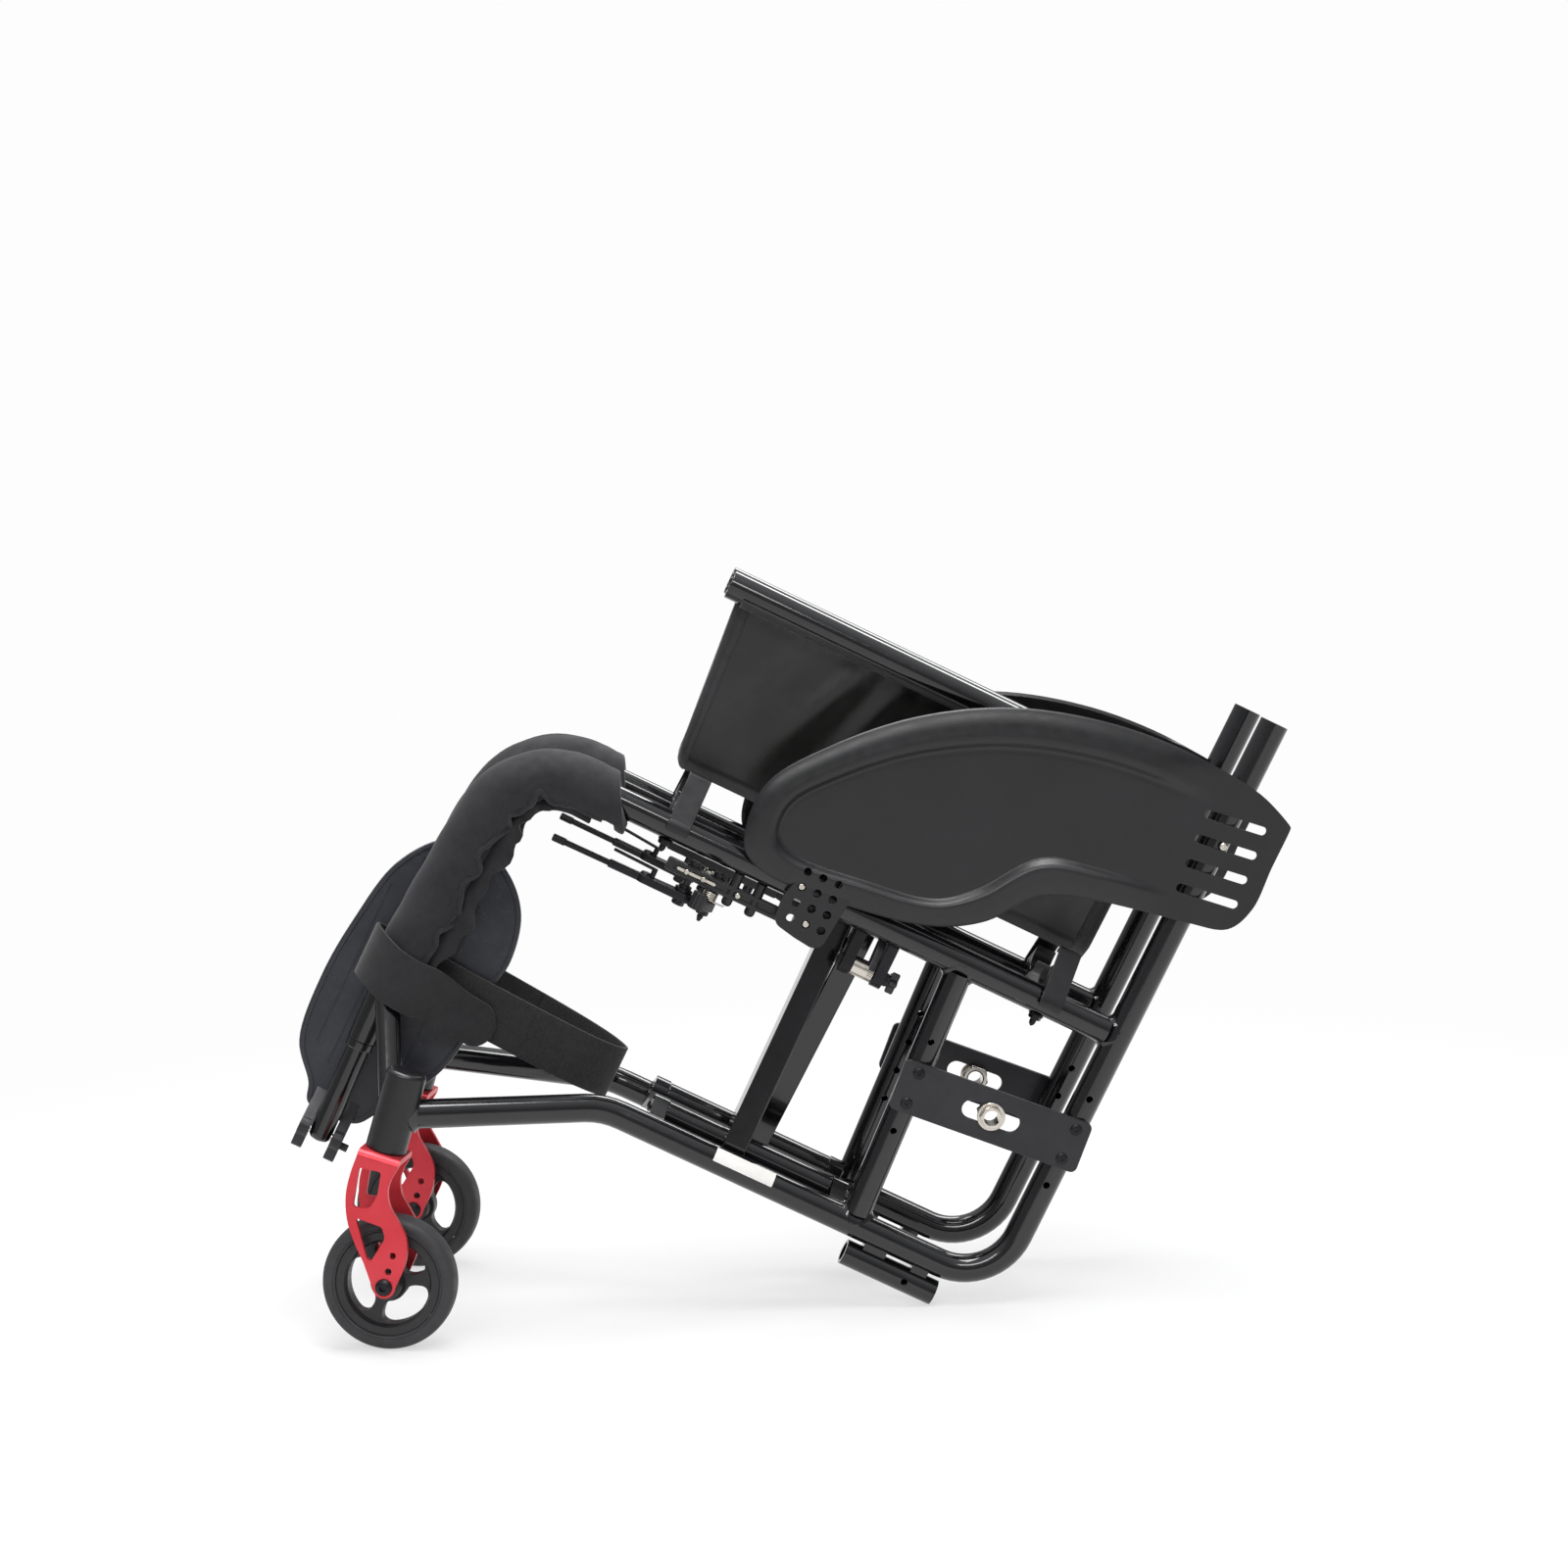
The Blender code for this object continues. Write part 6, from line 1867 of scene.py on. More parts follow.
    def hinge(self, side: Side) -> Object:
        """Ears under the seat tube with the pin and its lobed knob.

        Args:
            side: The side of the link.

        Returns:
            Both ears with the pin and its nuts.
        """
        low, high = self.hub(side)
        w, n = self.link_hub
        outline = arc((w, n), self.ear_r, 180, 360, 16)
        outline += [(w + self.ear_r, C.frame_h - 0.002), (w - 0.0036, C.frame_h - 0.002, 0.003)]
        reach = self.running_gap + self.ear_t
        ears = []
        for start in (low - reach, high + self.running_gap):
            ear = moved(plate(outline, self.ear_t), along_u(start))
            tube = rod((C.knee_u, C.side_w, C.frame_h), (0, C.side_w, C.frame_h), C.tube_r + C.gap, 48)
            ears.append(eased(cut(ear, tube), 0.0008))
        pin = rod((low - reach, w, n), (high + reach, w, n), self.pin_r)
        caps = []
        for spot, aim in ((high + reach, REAR), (low - reach, -REAR)):
            caps.append(moved(SCREWS.nut(0.0100, 0.0034, 0), facing(Vector((spot, w, n)), aim, OUT)))
        return joined(*ears, pin, *caps)

    def knob(self, side: Side) -> Object:
        """Five-lobed knob on the rear end of the link's pin.

        Args:
            side: The side of the link.

        Returns:
            The knob with its neck.
        """
        outline = []
        for k in range(60):
            turn = FULL_TURN * k / 60
            radius = 0.0072 + 0.0017 * math.cos(5 * turn)
            outline.append((radius * math.cos(turn), radius * math.sin(turn)))
        grip = eased(plate(outline, 0.0065), 0.0010, 50)
        shaft = turned([(0.0030, -0.0040), (0.0046, -0.0040), (0.0046, 0.0005), (0.0030, 0.0005)], 24)
        spot = Vector((self.hub(side)[1] + self.running_gap + self.ear_t + 0.0044, *self.link_hub))
        return moved(joined(grip, shaft), facing(spot, REAR, OUT))

    def bolt(self) -> Object:
        """Bolt through both bars with a washer and a nut at each end.

        Returns:
            The bolt with its nuts, along z.
        """
        reach = self.bar_gap / 2 + self.bar_t + C.gap
        shank = turned([(0.0040, -reach), (0.0040, reach)], 24)
        ends = [moved(SCREWS.nut(0.0130, 0.0046, 0), turn @ along_n(reach))
                for turn in (Matrix(), UPSIDE_DOWN)]
        return joined(shank, *ends)

    def build(self) -> None:
        """Make and mount the brace, rails and links."""
        for side, other in ((Side.LEFT, Side.RIGHT), (Side.RIGHT, Side.LEFT)):
            place = PLACED @ side.mirror
            name = side.label
            mount(self.bar(side), f"{name}_bar", place, f"{name}_arm", [f"{name}_brace"], GLOSS)
            mount(self.rail(), f"{other.label}_rail_tube", PLACED @ other.mirror, f"{name}_arm",
                  [f"{other.label}_seat_rail"], GLOSS)
            mount(self.link(side), f"{name}_link_strip", place, f"{name}_link", [f"{name}_fold_link"], SATIN)
            mount(self.barrel(side), f"{name}_link_barrel", place, f"{name}_link", [], STEEL)
            mount(self.hinge(side), f"{name}_link_ears", place, f"{name}_frame", [f"{name}_link_hinge"],
                  OXIDE)
            mount(self.knob(side), f"{name}_link_knob", place, f"{name}_frame", [], RIM)
        centre = C.brace(C.brace_half)[1]
        mount(self.bolt(), "cross_bolt", PLACED @ along_u(C.bar_u, 0, centre), "left_arm", ["brace_bolt"],
              STEEL)


@dataclass(frozen=True)
class Brakes:
    """Slotted brake rail, hand lever with its gripped rod, and the knurled shoe."""

    rail_u: tuple[float, float] = (-0.3730, -0.2760)
    rail_top: float = 0.1990
    rail_h: float = 0.0100
    rail_t: float = 0.0090
    boss_us: tuple[float, float] = (-0.3185, -0.2992)
    pivot_u: float = -0.3520
    shoe_u: float = -0.3320
    lever_t: float = 0.0075
    lever_arm: float = 0.0370
    lever_out: float = math.radians(3)
    lever_length: float = 0.1080
    shoe_arm: float = 0.0210
    shoe_turn: float = math.radians(112)
    pin_r: float = 0.0030
    boss_r: float = 0.0042
    pivot_bore: float = 0.0033
    under_gap: float = 0.0005
    rod_drop: float = 0.0135
    slide_us: tuple[float, ...] = (-0.3560, -0.3420, -0.3130)
    wire_r: float = 0.0007
    coil_r: float = 0.0052
    coil_turns: float = 4.5
    coil_h: float = 0.0062
    roller_r: float = 0.0060
    rib_h: float = 0.0007

    def rail_foot(self) -> float:
        """Height of the rail's lower face."""
        return self.rail_top - self.rail_h

    def lever_top(self) -> float:
        """Height of the lever's upper face."""
        return self.rail_foot() - self.under_gap

    def shoe_foot(self) -> float:
        """Height just under the shoe."""
        return self.lever_top() - self.lever_t * 2 - 0.001

    def rail(self) -> Object:
        """Rail hung from the seat tube on two bosses, with its pivot pins.

        Returns:
            The rail with its bosses and pins.
        """
        bottom = self.rail_foot()
        front, rear = self.rail_u
        bar = plate([(front, bottom, 0.002), (rear, bottom, 0.002), (rear, self.rail_top, 0.002),
                     (front, self.rail_top, 0.002)], self.rail_t)
        moved(bar, along_w(C.side_w - self.rail_t / 2))
        ends = [(front + 0.008, bottom + 0.005), (rear - 0.008, bottom + 0.005)]
        groove = plate(capsule(*ends, 0.0018, steps=6), 0.004)
        moved(groove, along_w(C.side_w + self.rail_t / 2 - 0.0016))
        bar = eased(cut(bar, groove), 0.0006)
        under = C.frame_h - C.tube_r - C.gap
        posts = [(u, bottom - 0.0040, under, self.boss_r) for u in self.boss_us]
        posts += [(u, foot, bottom + 0.0040, self.pin_r) for u, foot in
                  ((self.pivot_u, self.rod_level() - 0.0070), (self.shoe_u, self.shoe_foot() - 0.0020))]
        parts = [rod((u, C.side_w, low), (u, C.side_w, high), radius) for u, low, high, radius in posts]
        return eased(joined(bar, *parts), shade=35)

    def fasteners(self) -> Object:
        """Socket heads under the bosses, nuts on the pins and the ends of the pins above the rail.

        Returns:
            The screw heads, nuts, washers and the pin's tip.
        """
        level = self.rail_foot() - 0.0040
        places = [along_n(level, u, C.side_w) @ UPSIDE_DOWN for u in self.boss_us]
        parts = [repeated(SCREWS.button(0.0040, 0.0024), places)]
        low = self.shoe_foot()
        for u, foot in ((self.pivot_u, self.rod_level() - 0.0035), (self.shoe_u, low)):
            nut = SCREWS.nut(0.0088, 0.0040, 0)
            parts.append(moved(nut, along_n(foot, u, C.side_w) @ UPSIDE_DOWN))
        for u in (self.pivot_u, self.shoe_u):
            washer = turned([(0.0012, 0), (0.0058, 0), (0.0058, 0.0010), (0.0012, 0.0010)], 32)
            parts.append(moved(washer, along_n(self.rail_top, u, C.side_w)))
            parts.append(moved(SCREWS.nut(0.0080, 0.0038, 0), along_n(self.rail_top + 0.0010, u, C.side_w)))
        tip = turned([(0.0022, 0), (0.0026, -0.0020), (0.0012, -0.0056)], 16)
        parts.append(moved(tip, along_n(low - 0.0040, self.shoe_u, C.side_w)))
        return joined(*parts)

    def bright_parts(self) -> Object:
        """The plated slide in the rail's groove, with the heads that hold it.

        Returns:
            The slide and its screw heads.
        """
        middle = self.rail_foot() + 0.0050
        face = C.side_w + self.rail_t / 2
        ends = [(self.rail_u[0] + along, middle) for along in (0.010, 0.040)]
        slide = moved(plate(capsule(*ends, 0.0013, steps=6), 0.0016), along_w(face - 0.0014))
        heads = repeated(SCREWS.button(0.0024, 0.0012),
                         [along_w(face + 0.0001, u, middle) for u in self.slide_us])
        return joined(eased(slide, 0.0003), heads)

    def rod_level(self) -> float:
        """Height of the lever's rod and of the middle of its cam plate."""
        return self.lever_top() - self.rod_drop

    def lever(self) -> Object:
        """Cam plate with the rod in line with it, its collar, grip and thumb spike.

        Returns:
            The lever, with its pivot on z.
        """
        top = self.lever_top()
        low = self.rod_level()
        arm = -self.lever_arm
        thick = self.lever_t - 0.0010
        cam = plate(capsule((0.0020, 0), (arm + 0.0060, 0), 0.0092, 0.0062, 16), thick)
        cam = moved(cut(cam, self.peg(0, 0)), along_n(low - thick / 2))
        collar = turned([(0.0034, 0), (0.0068, 0), (0.0072, 0.0005), (0.0072, 0.0030), (0.0052, 0.0036),
                         (0.0052, 0.0058), (0.0034, 0.0058)], 40, ring=True)
        moved(collar, along_n(low + thick / 2 - 0.0002))
        cap = turned([(0.0010, 0.0026), (0.0040, 0.0020), (0.0050, 0.0004), (0.0050, -0.0010)], 24)
        moved(cap, along_n(low + thick / 2, arm + 0.0060))
        grip_end, tip_start, end = arm - 0.0240, 0.0110 - self.lever_length, -self.lever_length
        grip = rod((arm + 0.0040, 0, low), (grip_end, 0, low), 0.0034)
        shaft = rod((grip_end, 0, low), (tip_start, 0, low), 0.0024)
        tip = rod((tip_start, 0, low), (end, 0, low), 0.0030)
        spike = rod((arm + 0.0120, 0.0010, top - 0.0036), (arm - 0.0250, 0.0062, top - 0.0014), 0.0013, 12)
        stay = rod((arm + 0.0105, 0.0012, low), (arm + 0.0105, 0.0012, top - 0.0025), 0.0022, 12)
        return joined(eased(cam, 0.0010), eased(collar, shade=35), eased(cap, shade=50), eased(grip, 0.0008),
                      eased(shaft, 0.0004), eased(tip, 0.0009), eased(spike, 0.0005), eased(stay, 0.0004))

    def spring(self) -> Object:
        """Return spring coiled round the shoe's pin, with its two straight ends.

        Returns:
            The spring.
        """
        foot = self.lever_top() - self.lever_t + 0.0006
        steps = int(self.coil_turns * 16)
        line = [Vector((self.shoe_u + 0.0130, C.side_w + self.coil_r, foot))]
        for k in range(steps + 1):
            turn = FULL_TURN * k / 16
            u = self.shoe_u + self.coil_r * math.sin(turn)
            w = C.side_w + self.coil_r * math.cos(turn)
            line.append(Vector((u, w, foot + self.coil_h * k / steps)))
        line.append(line[-1] + Vector((0.0110, 0.0, 0.0)))
        return swept(line, UP, self.wire_r, self.wire_r, 8)

    def peg(self, u: float, w: float) -> Object:
        """Cutter for a pivot hole at one point of the plan."""
        return hung([(self.pivot_bore, -0.05), (self.pivot_bore, 0.05)], 32, u, w)

    def shoe(self) -> Object:
        """Shoe arm with its ribbed roller, in half coordinates.

        Returns:
            The arm and the roller.
        """
        foot = self.lever_top() - self.under_gap - 2 * self.lever_t
        u, w = self.shoe_u, C.side_w
        tip = (u + self.shoe_arm * math.cos(self.shoe_turn), w + self.shoe_arm * math.sin(self.shoe_turn))
        arm = plate(capsule((u, w), tip, 0.0070, 0.0050, 16), self.lever_t)
        arm = moved(eased(cut(arm, self.peg(u, w)), 0.0008), along_n(foot))
        ribs = []
        for k in range(48):
            turn = FULL_TURN * k / 48
            radius = self.roller_r - (self.rib_h if k % 4 > 1 else 0)
            ribs.append((radius * math.cos(turn), radius * math.sin(turn)))
        roller = moved(plate(ribs, self.lever_t + 0.0058), along_n(foot, *tip))
        return joined(arm, eased(roller, 0.0003, 50))

    def build(self) -> None:
        """Make and mount both brakes."""
        pair(self.rail(), "brake_bar", "frame", ["brake_rail"], SEMI)
        pair(self.fasteners(), "brake_fasteners", "frame", [], OXIDE)
        pair(self.bright_parts(), "brake_slide", "frame", [], STEEL)
        pair(self.spring(), "brake_spring", "frame", [], STEEL)
        aim = Matrix.Translation((self.pivot_u, C.side_w, 0)) @ Matrix.Rotation(-self.lever_out, 4, "Z")
        pair(self.lever(), "lever", "lever", ["brake_lever"], OXIDE, lambda side: aim)
        pair(self.shoe(), "shoe", "shoe", ["brake_shoe"], SEMI)


@dataclass(frozen=True)
class KneeSleeves:
    """Padded neoprene sleeve over each knee, closed by a wavy bound edge."""

    radius: float = 0.0216
    start_u: float = -0.4240
    lean: float = 0.0110
    end_n: float = 0.0345
    sides: int = 64
    tube_fit: float = 0.0188
    under: float = 0.0040
    flap_t: float = 0.0026
    piping_half: Point = (0.0025, 0.0016)
    flap_turn: float = math.radians(168)

    def spine(self) -> list[Vector]:
        """Evenly spaced points of the tube's axis inside the sleeve.

        Returns:
            The points, from the rear end round the knee and down.
        """
        knee = Vector((C.knee_u, C.side_w, C.frame_h))
        down = (C.front_tube(0) - C.front_tube(C.frame_h)).normalized()
        turn = math.pi - REAR.angle(down)
        reach = C.knee_r * math.tan(turn / 2)
        start = knee + REAR * reach
        centre = knee + (REAR + down).normalized() * C.knee_r / math.cos(turn / 2)
        axis = (-REAR).cross(down).normalized()
        first = Vector((self.start_u, C.side_w, C.frame_h))
        points = [first.lerp(start, i / 4) for i in range(4)]
        points += [centre + Quaternion(axis, turn * i / 20) @ (start - centre) for i in range(20)]
        bottom = C.front_tube(self.end_n)
        after = knee + down * reach
        points += [after.lerp(bottom, i / 26) for i in range(27)]
        return points

    def section(self, spine: Sequence[Vector], k: int) -> tuple[Vector, Vector]:
        """Directions out of the bend and out from the side, at one point of the spine."""
        return heading_at(spine, k).cross(OUT).normalized() * -1, OUT

    def seam(self, share: float) -> float:
        """Where the bound edge lies round the sleeve, in degrees from the outside of the bend."""
        wave = 12 * math.sin(17 * share + 0.6) + 13 * math.sin(41 * share + 1.1) + 6 * math.sin(73 * share)
        return 138 + wave * smooth_step(share, 0.02, 0.12)

    def body(self) -> Object:
        """The wrapped sleeve: the top layer ends at the seam and the lower one shows beyond it.

        Returns:
            The sleeve.
        """
        spine = self.spine()
        loops = []
        total = len(spine) - 1
        for k, centre in enumerate(spine):
            share = k / total
            away, out = self.section(spine, k)
            ends = min(smooth_step(share, -0.02, 0.035), 1 - smooth_step(share, 0.965, 1.02))
            full = self.tube_fit + (self.radius - self.tube_fit) * ends
            loop = []
            for i in range(self.sides):
                turn = 360 * i / self.sides
                bend = math.exp(-((share - 0.28) / 0.16) ** 2)
                inner = math.exp(-((turn - 180) / 55) ** 2)
                crease = 0.0011 * inner * bend * math.sin(105 * share + 0.03 * (turn - 180))
                crease += 0.0007 * math.sin(23 * share + turn / 40) * math.sin(11 * share + turn / 57 + 2)
                under = smooth_step(turn, self.seam(share), self.seam(share) + 5)
                under *= 1 - smooth_step(turn, 205, 240)
                radius = full + crease - self.under * under * ends
                angle = math.radians(turn)
                slant = Vector((self.lean * -math.cos(angle) * (1 - smooth_step(share, 0, 0.16)), 0, 0))
                loop.append(centre + slant + (away * math.cos(angle) + out * math.sin(angle)) * radius)
            loops.append(loop)
        return eased(lofted(loops), shade=70)

    def piping(self) -> Object:
        """Bound edge of the top layer, following the seam.

        Returns:
            The bead.
        """
        spine = self.spine()
        total = len(spine) - 1
        line = []
        for k in range(1, total):
            share = k / total
            away, out = self.section(spine, k)
            angle = math.radians(self.seam(share) + 1.5)
            line.append(spine[k] + (away * math.cos(angle) + out * math.sin(angle)) * (self.radius - 0.0002))
        return swept(smooth_line(line, 3), OUT, *self.piping_half, 10)

    def flap(self) -> Object:
        """Crumpled edge of the lower layer, standing out behind the seam.

        Returns:
            The edge.
        """
        spine = self.spine()
        total = len(spine) - 1
        rows = []
        for k in range(2, total - 1):
            share = k / total
            away, out = self.section(spine, k)
            reach = 0.0040 + 0.0070 * smooth_step(share, 0.25, 0.45) * (1 + 0.45 * math.sin(23 * share + 2))
            reach += 0.0022 * smooth_step(share, 0.25, 0.45) * math.sin(57 * share + 1)
            sway = 0.0050 * math.sin(33 * share + 1.0) + 0.0026 * math.sin(67 * share)
            aim = away * math.cos(self.flap_turn) + out * math.sin(self.flap_turn)
            root = spine[k] + aim * (self.radius - 0.0050)
            row = []
            for i in range(7):
                t = i / 6
                sag = sway * t * t + 0.0020 * math.sin(math.pi * t)
                row.append(root - away * (reach + 0.004) * t + out * sag)
            rows.append(row)
        return eased(cloth(rows, self.flap_t), 0.0006, 60, 2, 70)

    def cuff(self) -> Object:
        """Ribbed band at the sleeve's rear end, cut so that its underside reaches further back.

        Returns:
            The band.
        """
        loops = []
        for du, radius in ((-0.0072, 0.0202), (-0.0066, 0.0213), (-0.0030, 0.0214), (0.0, 0.0211),
                           (0.0010, 0.0200), (0.0006, 0.0125), (-0.0072, 0.0125)):
            loop = []
            for i in range(self.sides):
                angle = FULL_TURN * i / self.sides
                flare = 1 + 0.05 * smooth_step(-math.sin(angle), 0.2, 1) * smooth_step(du, -0.010, 0)
                loop.append(Vector((self.start_u + du - self.lean * math.sin(angle),
                                    C.side_w + radius * flare * math.cos(angle),
                                    C.frame_h + radius * flare * math.sin(angle))))
            loops.append(loop)
        return eased(lofted(loops, ring=True), shade=60)

    def build(self) -> None:
        """Make and mount both sleeves."""
        for body in pair(self.body(), "sleeve", "frame", ["knee_sleeve"], NEOPRENE):
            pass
        pair(self.piping(), "sleeve_piping", "frame", [], RIB)
        pair(self.flap(), "sleeve_flap", "frame", [], NEOPRENE)
        pair(self.cuff(), "sleeve_cuff", "frame", [], RIB)


@dataclass(frozen=True)
class SeatSling:
    """Seat sling, hanging folded in a narrow U between the two rails."""

    thickness: float = 0.0022
    top: float = 0.4080
    bottom: float = 0.2590
    lift: float = 0.0740
    front: float = -0.4100
    rear: float = -0.0420
    top_half: float = 0.0180
    bottom_half: float = 0.0046
    pinch: float = 0.0042
    hem_wide: float = 0.0120
    hem_extra: float = 0.0014
    hem_rolls: tuple[float, ...] = (0.0010, 0.0014, 0.0007, 0.0001, 0.0004, 0.0006, 0.0002)
    channel_inset: Point = (0.0040, 0.0020)
    channel_lift: float = 0.0012
    channel_t: float = 0.0016
    channel_flat: float = 0.0370
    stitch_pitch: float = 0.0034
    ridges: tuple[tuple[float, float, float], ...] = (
        (0.062, 0.012, 0.0024), (0.100, 0.009, -0.0042), (0.121, 0.008, 0.0026), (0.146, 0.011, -0.0046),
        (0.171, 0.009, 0.0028), (0.196, 0.012, -0.0034), (0.240, 0.016, 0.0026), (0.290, 0.015, -0.0030))

    def length(self) -> float:
        """Length of the cloth from hem to hem."""
        return self.rear - self.front

    def clear_of_bars(self, u: float) -> float:
        """0 beside the crossing bars and 1 away from them."""
        return smooth_step(abs(u - C.bar_u), 0.030, 0.060)

    def half_width(self, u: float, share: float) -> float:
        """How far a panel of the sling stands from the centre plane.

        Args:
            u: Where along the chair.
            share: Height, from 0 at the fold below to 1 at the rail.

        Returns:
            The distance.
        """
        top_half = self.top_half - self.pinch * (1 - self.clear_of_bars(u))
        return self.bottom_half + (top_half - self.bottom_half) * share ** 0.9

    def fold(self, run: float, share: float, turn: float) -> float:
        """How far the cloth stands out of its flat panel.

        Args:
            run: Distance behind the front edge.
            share: Height in the panel, from 0 at the fold below to 1 at the rail.
            turn: Phase of the slow waves, other on each panel.

        Returns:
            The distance, positive towards the centre plane.
        """
        lean = run - 0.055 * (share - 0.7)
        high = 0.30 + 0.70 * smooth_step(share, 0.25, 0.75)
        bumps = (size * math.exp(-((lean - place) / wide) ** 2) for place, wide, size in self.ridges)
        folds = sum(bumps) * high
        # The cloth lies double along the rail, down to a row of stitches.
        folds -= 0.0007 * smooth_step(share, 0.87, 0.89)
        folds += 0.0012 * math.sin(44 * run + 4.0 * share + turn)
        folds += 0.0009 * math.sin(95 * run - 9.0 * share + turn)
        return folds * math.sin(math.pi * min(share, 1)) ** 0.6 * smooth_step(run, 0.008, 0.045)

    def line(self, u: float, steps: int) -> list[Vector]:
        """One section of the sling from the right rail down and up to the left one.

        Args:
            u: Where along the chair.
            steps: Steps from rail to rail.

        Returns:
            Its points.
        """
        lifted = smooth_step(abs(u - C.bar_u), 0.0350, 0.0770)
        low = self.bottom + self.lift * (1 - lifted)
        ahead = max(0.0, 1 - (u - self.front) / 0.0120)
        low += 0.0120 * (1 - math.sqrt(1 - ahead ** 2))
        slant = 0.0120 * smooth_step(-u, -self.front - 0.030, -self.front)
        away = self.clear_of_bars(u)
        points = []
        for i in range(steps + 1):
            t = 2 * i / steps - 1
            share = abs(t)
            half = self.half_width(u, share)
            fold = min(away * self.fold(u - self.front, share, 0 if t > 0 else 1.1), 0.45 * half)
            w = math.copysign(half - fold, t) if abs(t) > 0.06 else half * t / 0.06
            n = low + (self.top - low) * share
            points.append(Vector((u + slant * (1 - share), w, n)))
        return points

    def sheet(self) -> Object:
        """The whole cloth.

        Returns:
            The cloth, on both sides of the centre plane.
        """
        rows = [self.line(self.front + self.length() * k / 72, 96) for k in range(73)]
        return eased(cloth(rows, self.thickness), shade=60)

    def hem(self, u_from: float, u_to: float) -> Object:
        """Folded binding along an end of the cloth, with a rolled edge at its first station.

        Args:
            u_from: Where its rolled edge lies.
            u_to: Where it ends on the cloth.

        Returns:
            The binding.
        """
        rows = []
        for k, roll in enumerate(self.hem_rolls):
            u = u_from + (u_to - u_from) * k / 6
            rows.append([p + Vector((0, math.copysign(roll, p.y), 0)) for p in self.line(u, 60)])
        return eased(cloth(rows, self.thickness + self.hem_extra), 0.0003, 60, 2, 60)

    def channel(self) -> Object:
        """The strip of cloth that holds a rail from below, in half coordinates.

        Returns:
            The strip.
        """
        n = C.brace(2 * C.brace_half)[1]
        turns = [math.radians(-205 + 175 * i / 20) for i in range(21)]
        radius = C.tube_r + self.channel_lift
        rows = []
        for k in range(25):
            u = self.front + self.channel_inset[0] + (self.length() - sum(self.channel_inset)) * k / 24
            rows.append([Vector((u, C.pivot_w + radius * math.cos(t), n + radius * math.sin(t)))
                         for t in turns])
        return eased(cloth(rows, self.channel_t), 0.0004, 60, 2, 60)

    def stitches(self) -> Object:
        """Rows of thread on the outside of one panel, along the top and beside the front hem.

        Returns:
            The stitches as one object.
        """
        count = int((self.length() - 0.020) / self.stitch_pitch)
        spots = [(self.front + 0.0130 + self.stitch_pitch * k, 0.93, True) for k in range(count)]
        spots = [spot for spot in spots if abs(spot[0] - C.bar_u) > 0.034]
        spots += [(self.front + 0.0100, 0.08 + 0.0220 * k, False) for k in range(38)]
        places = []
        for u, share, level in spots:
            line = self.line(u, 60)
            place = (1 + share) / 2 * 60
            i = min(int(place), 59)
            lift = self.thickness / 2 + (0.0001 if level else 0.0007)
            run = REAR if level else (line[i + 1] - line[i]).normalized()
            places.append(facing(line[i].lerp(line[i + 1], place - i) + OUT * lift, run, OUT))
        half = [(0.00006, 0.0012), (0.00022, 0.0010), (0.0003, 0.0004)]
        profile = [(r, -z) for r, z in half] + half[::-1]
        return repeated(eased(turned(profile, 6)), places)

    def build(self) -> None:
        rows = [self.line(self.front + self.length() * k / 20, 60) for k in range(21)]
        parts = [(self.sheet(), "sling_cloth", ["seat_sling"], SLING),
                 (self.hem(self.front, self.front + self.hem_wide), "sling_front_hem", [], TAPE),
                 (self.hem(self.rear, self.rear - self.hem_wide), "sling_rear_hem", [], TAPE)]
        for side in Side:
            parts.append((moved(self.stitches(), side.mirror), f"{side.label}_sling_stitches", [], THREAD))
        made = [hang(piece, name, ("left_arm", "right_arm"), nodes, finish)
                for piece, name, nodes, finish in parts]
        self.length()
        flat = (self.channel_flat, self.length() - sum(self.channel_inset))
        for side, arm in ((Side.LEFT, "right_arm"), (Side.RIGHT, "left_arm")):
            channel = mount(self.channel(), f"{side.label}_rail_channel", PLACED @ side.mirror, arm, [],
                            SLING)


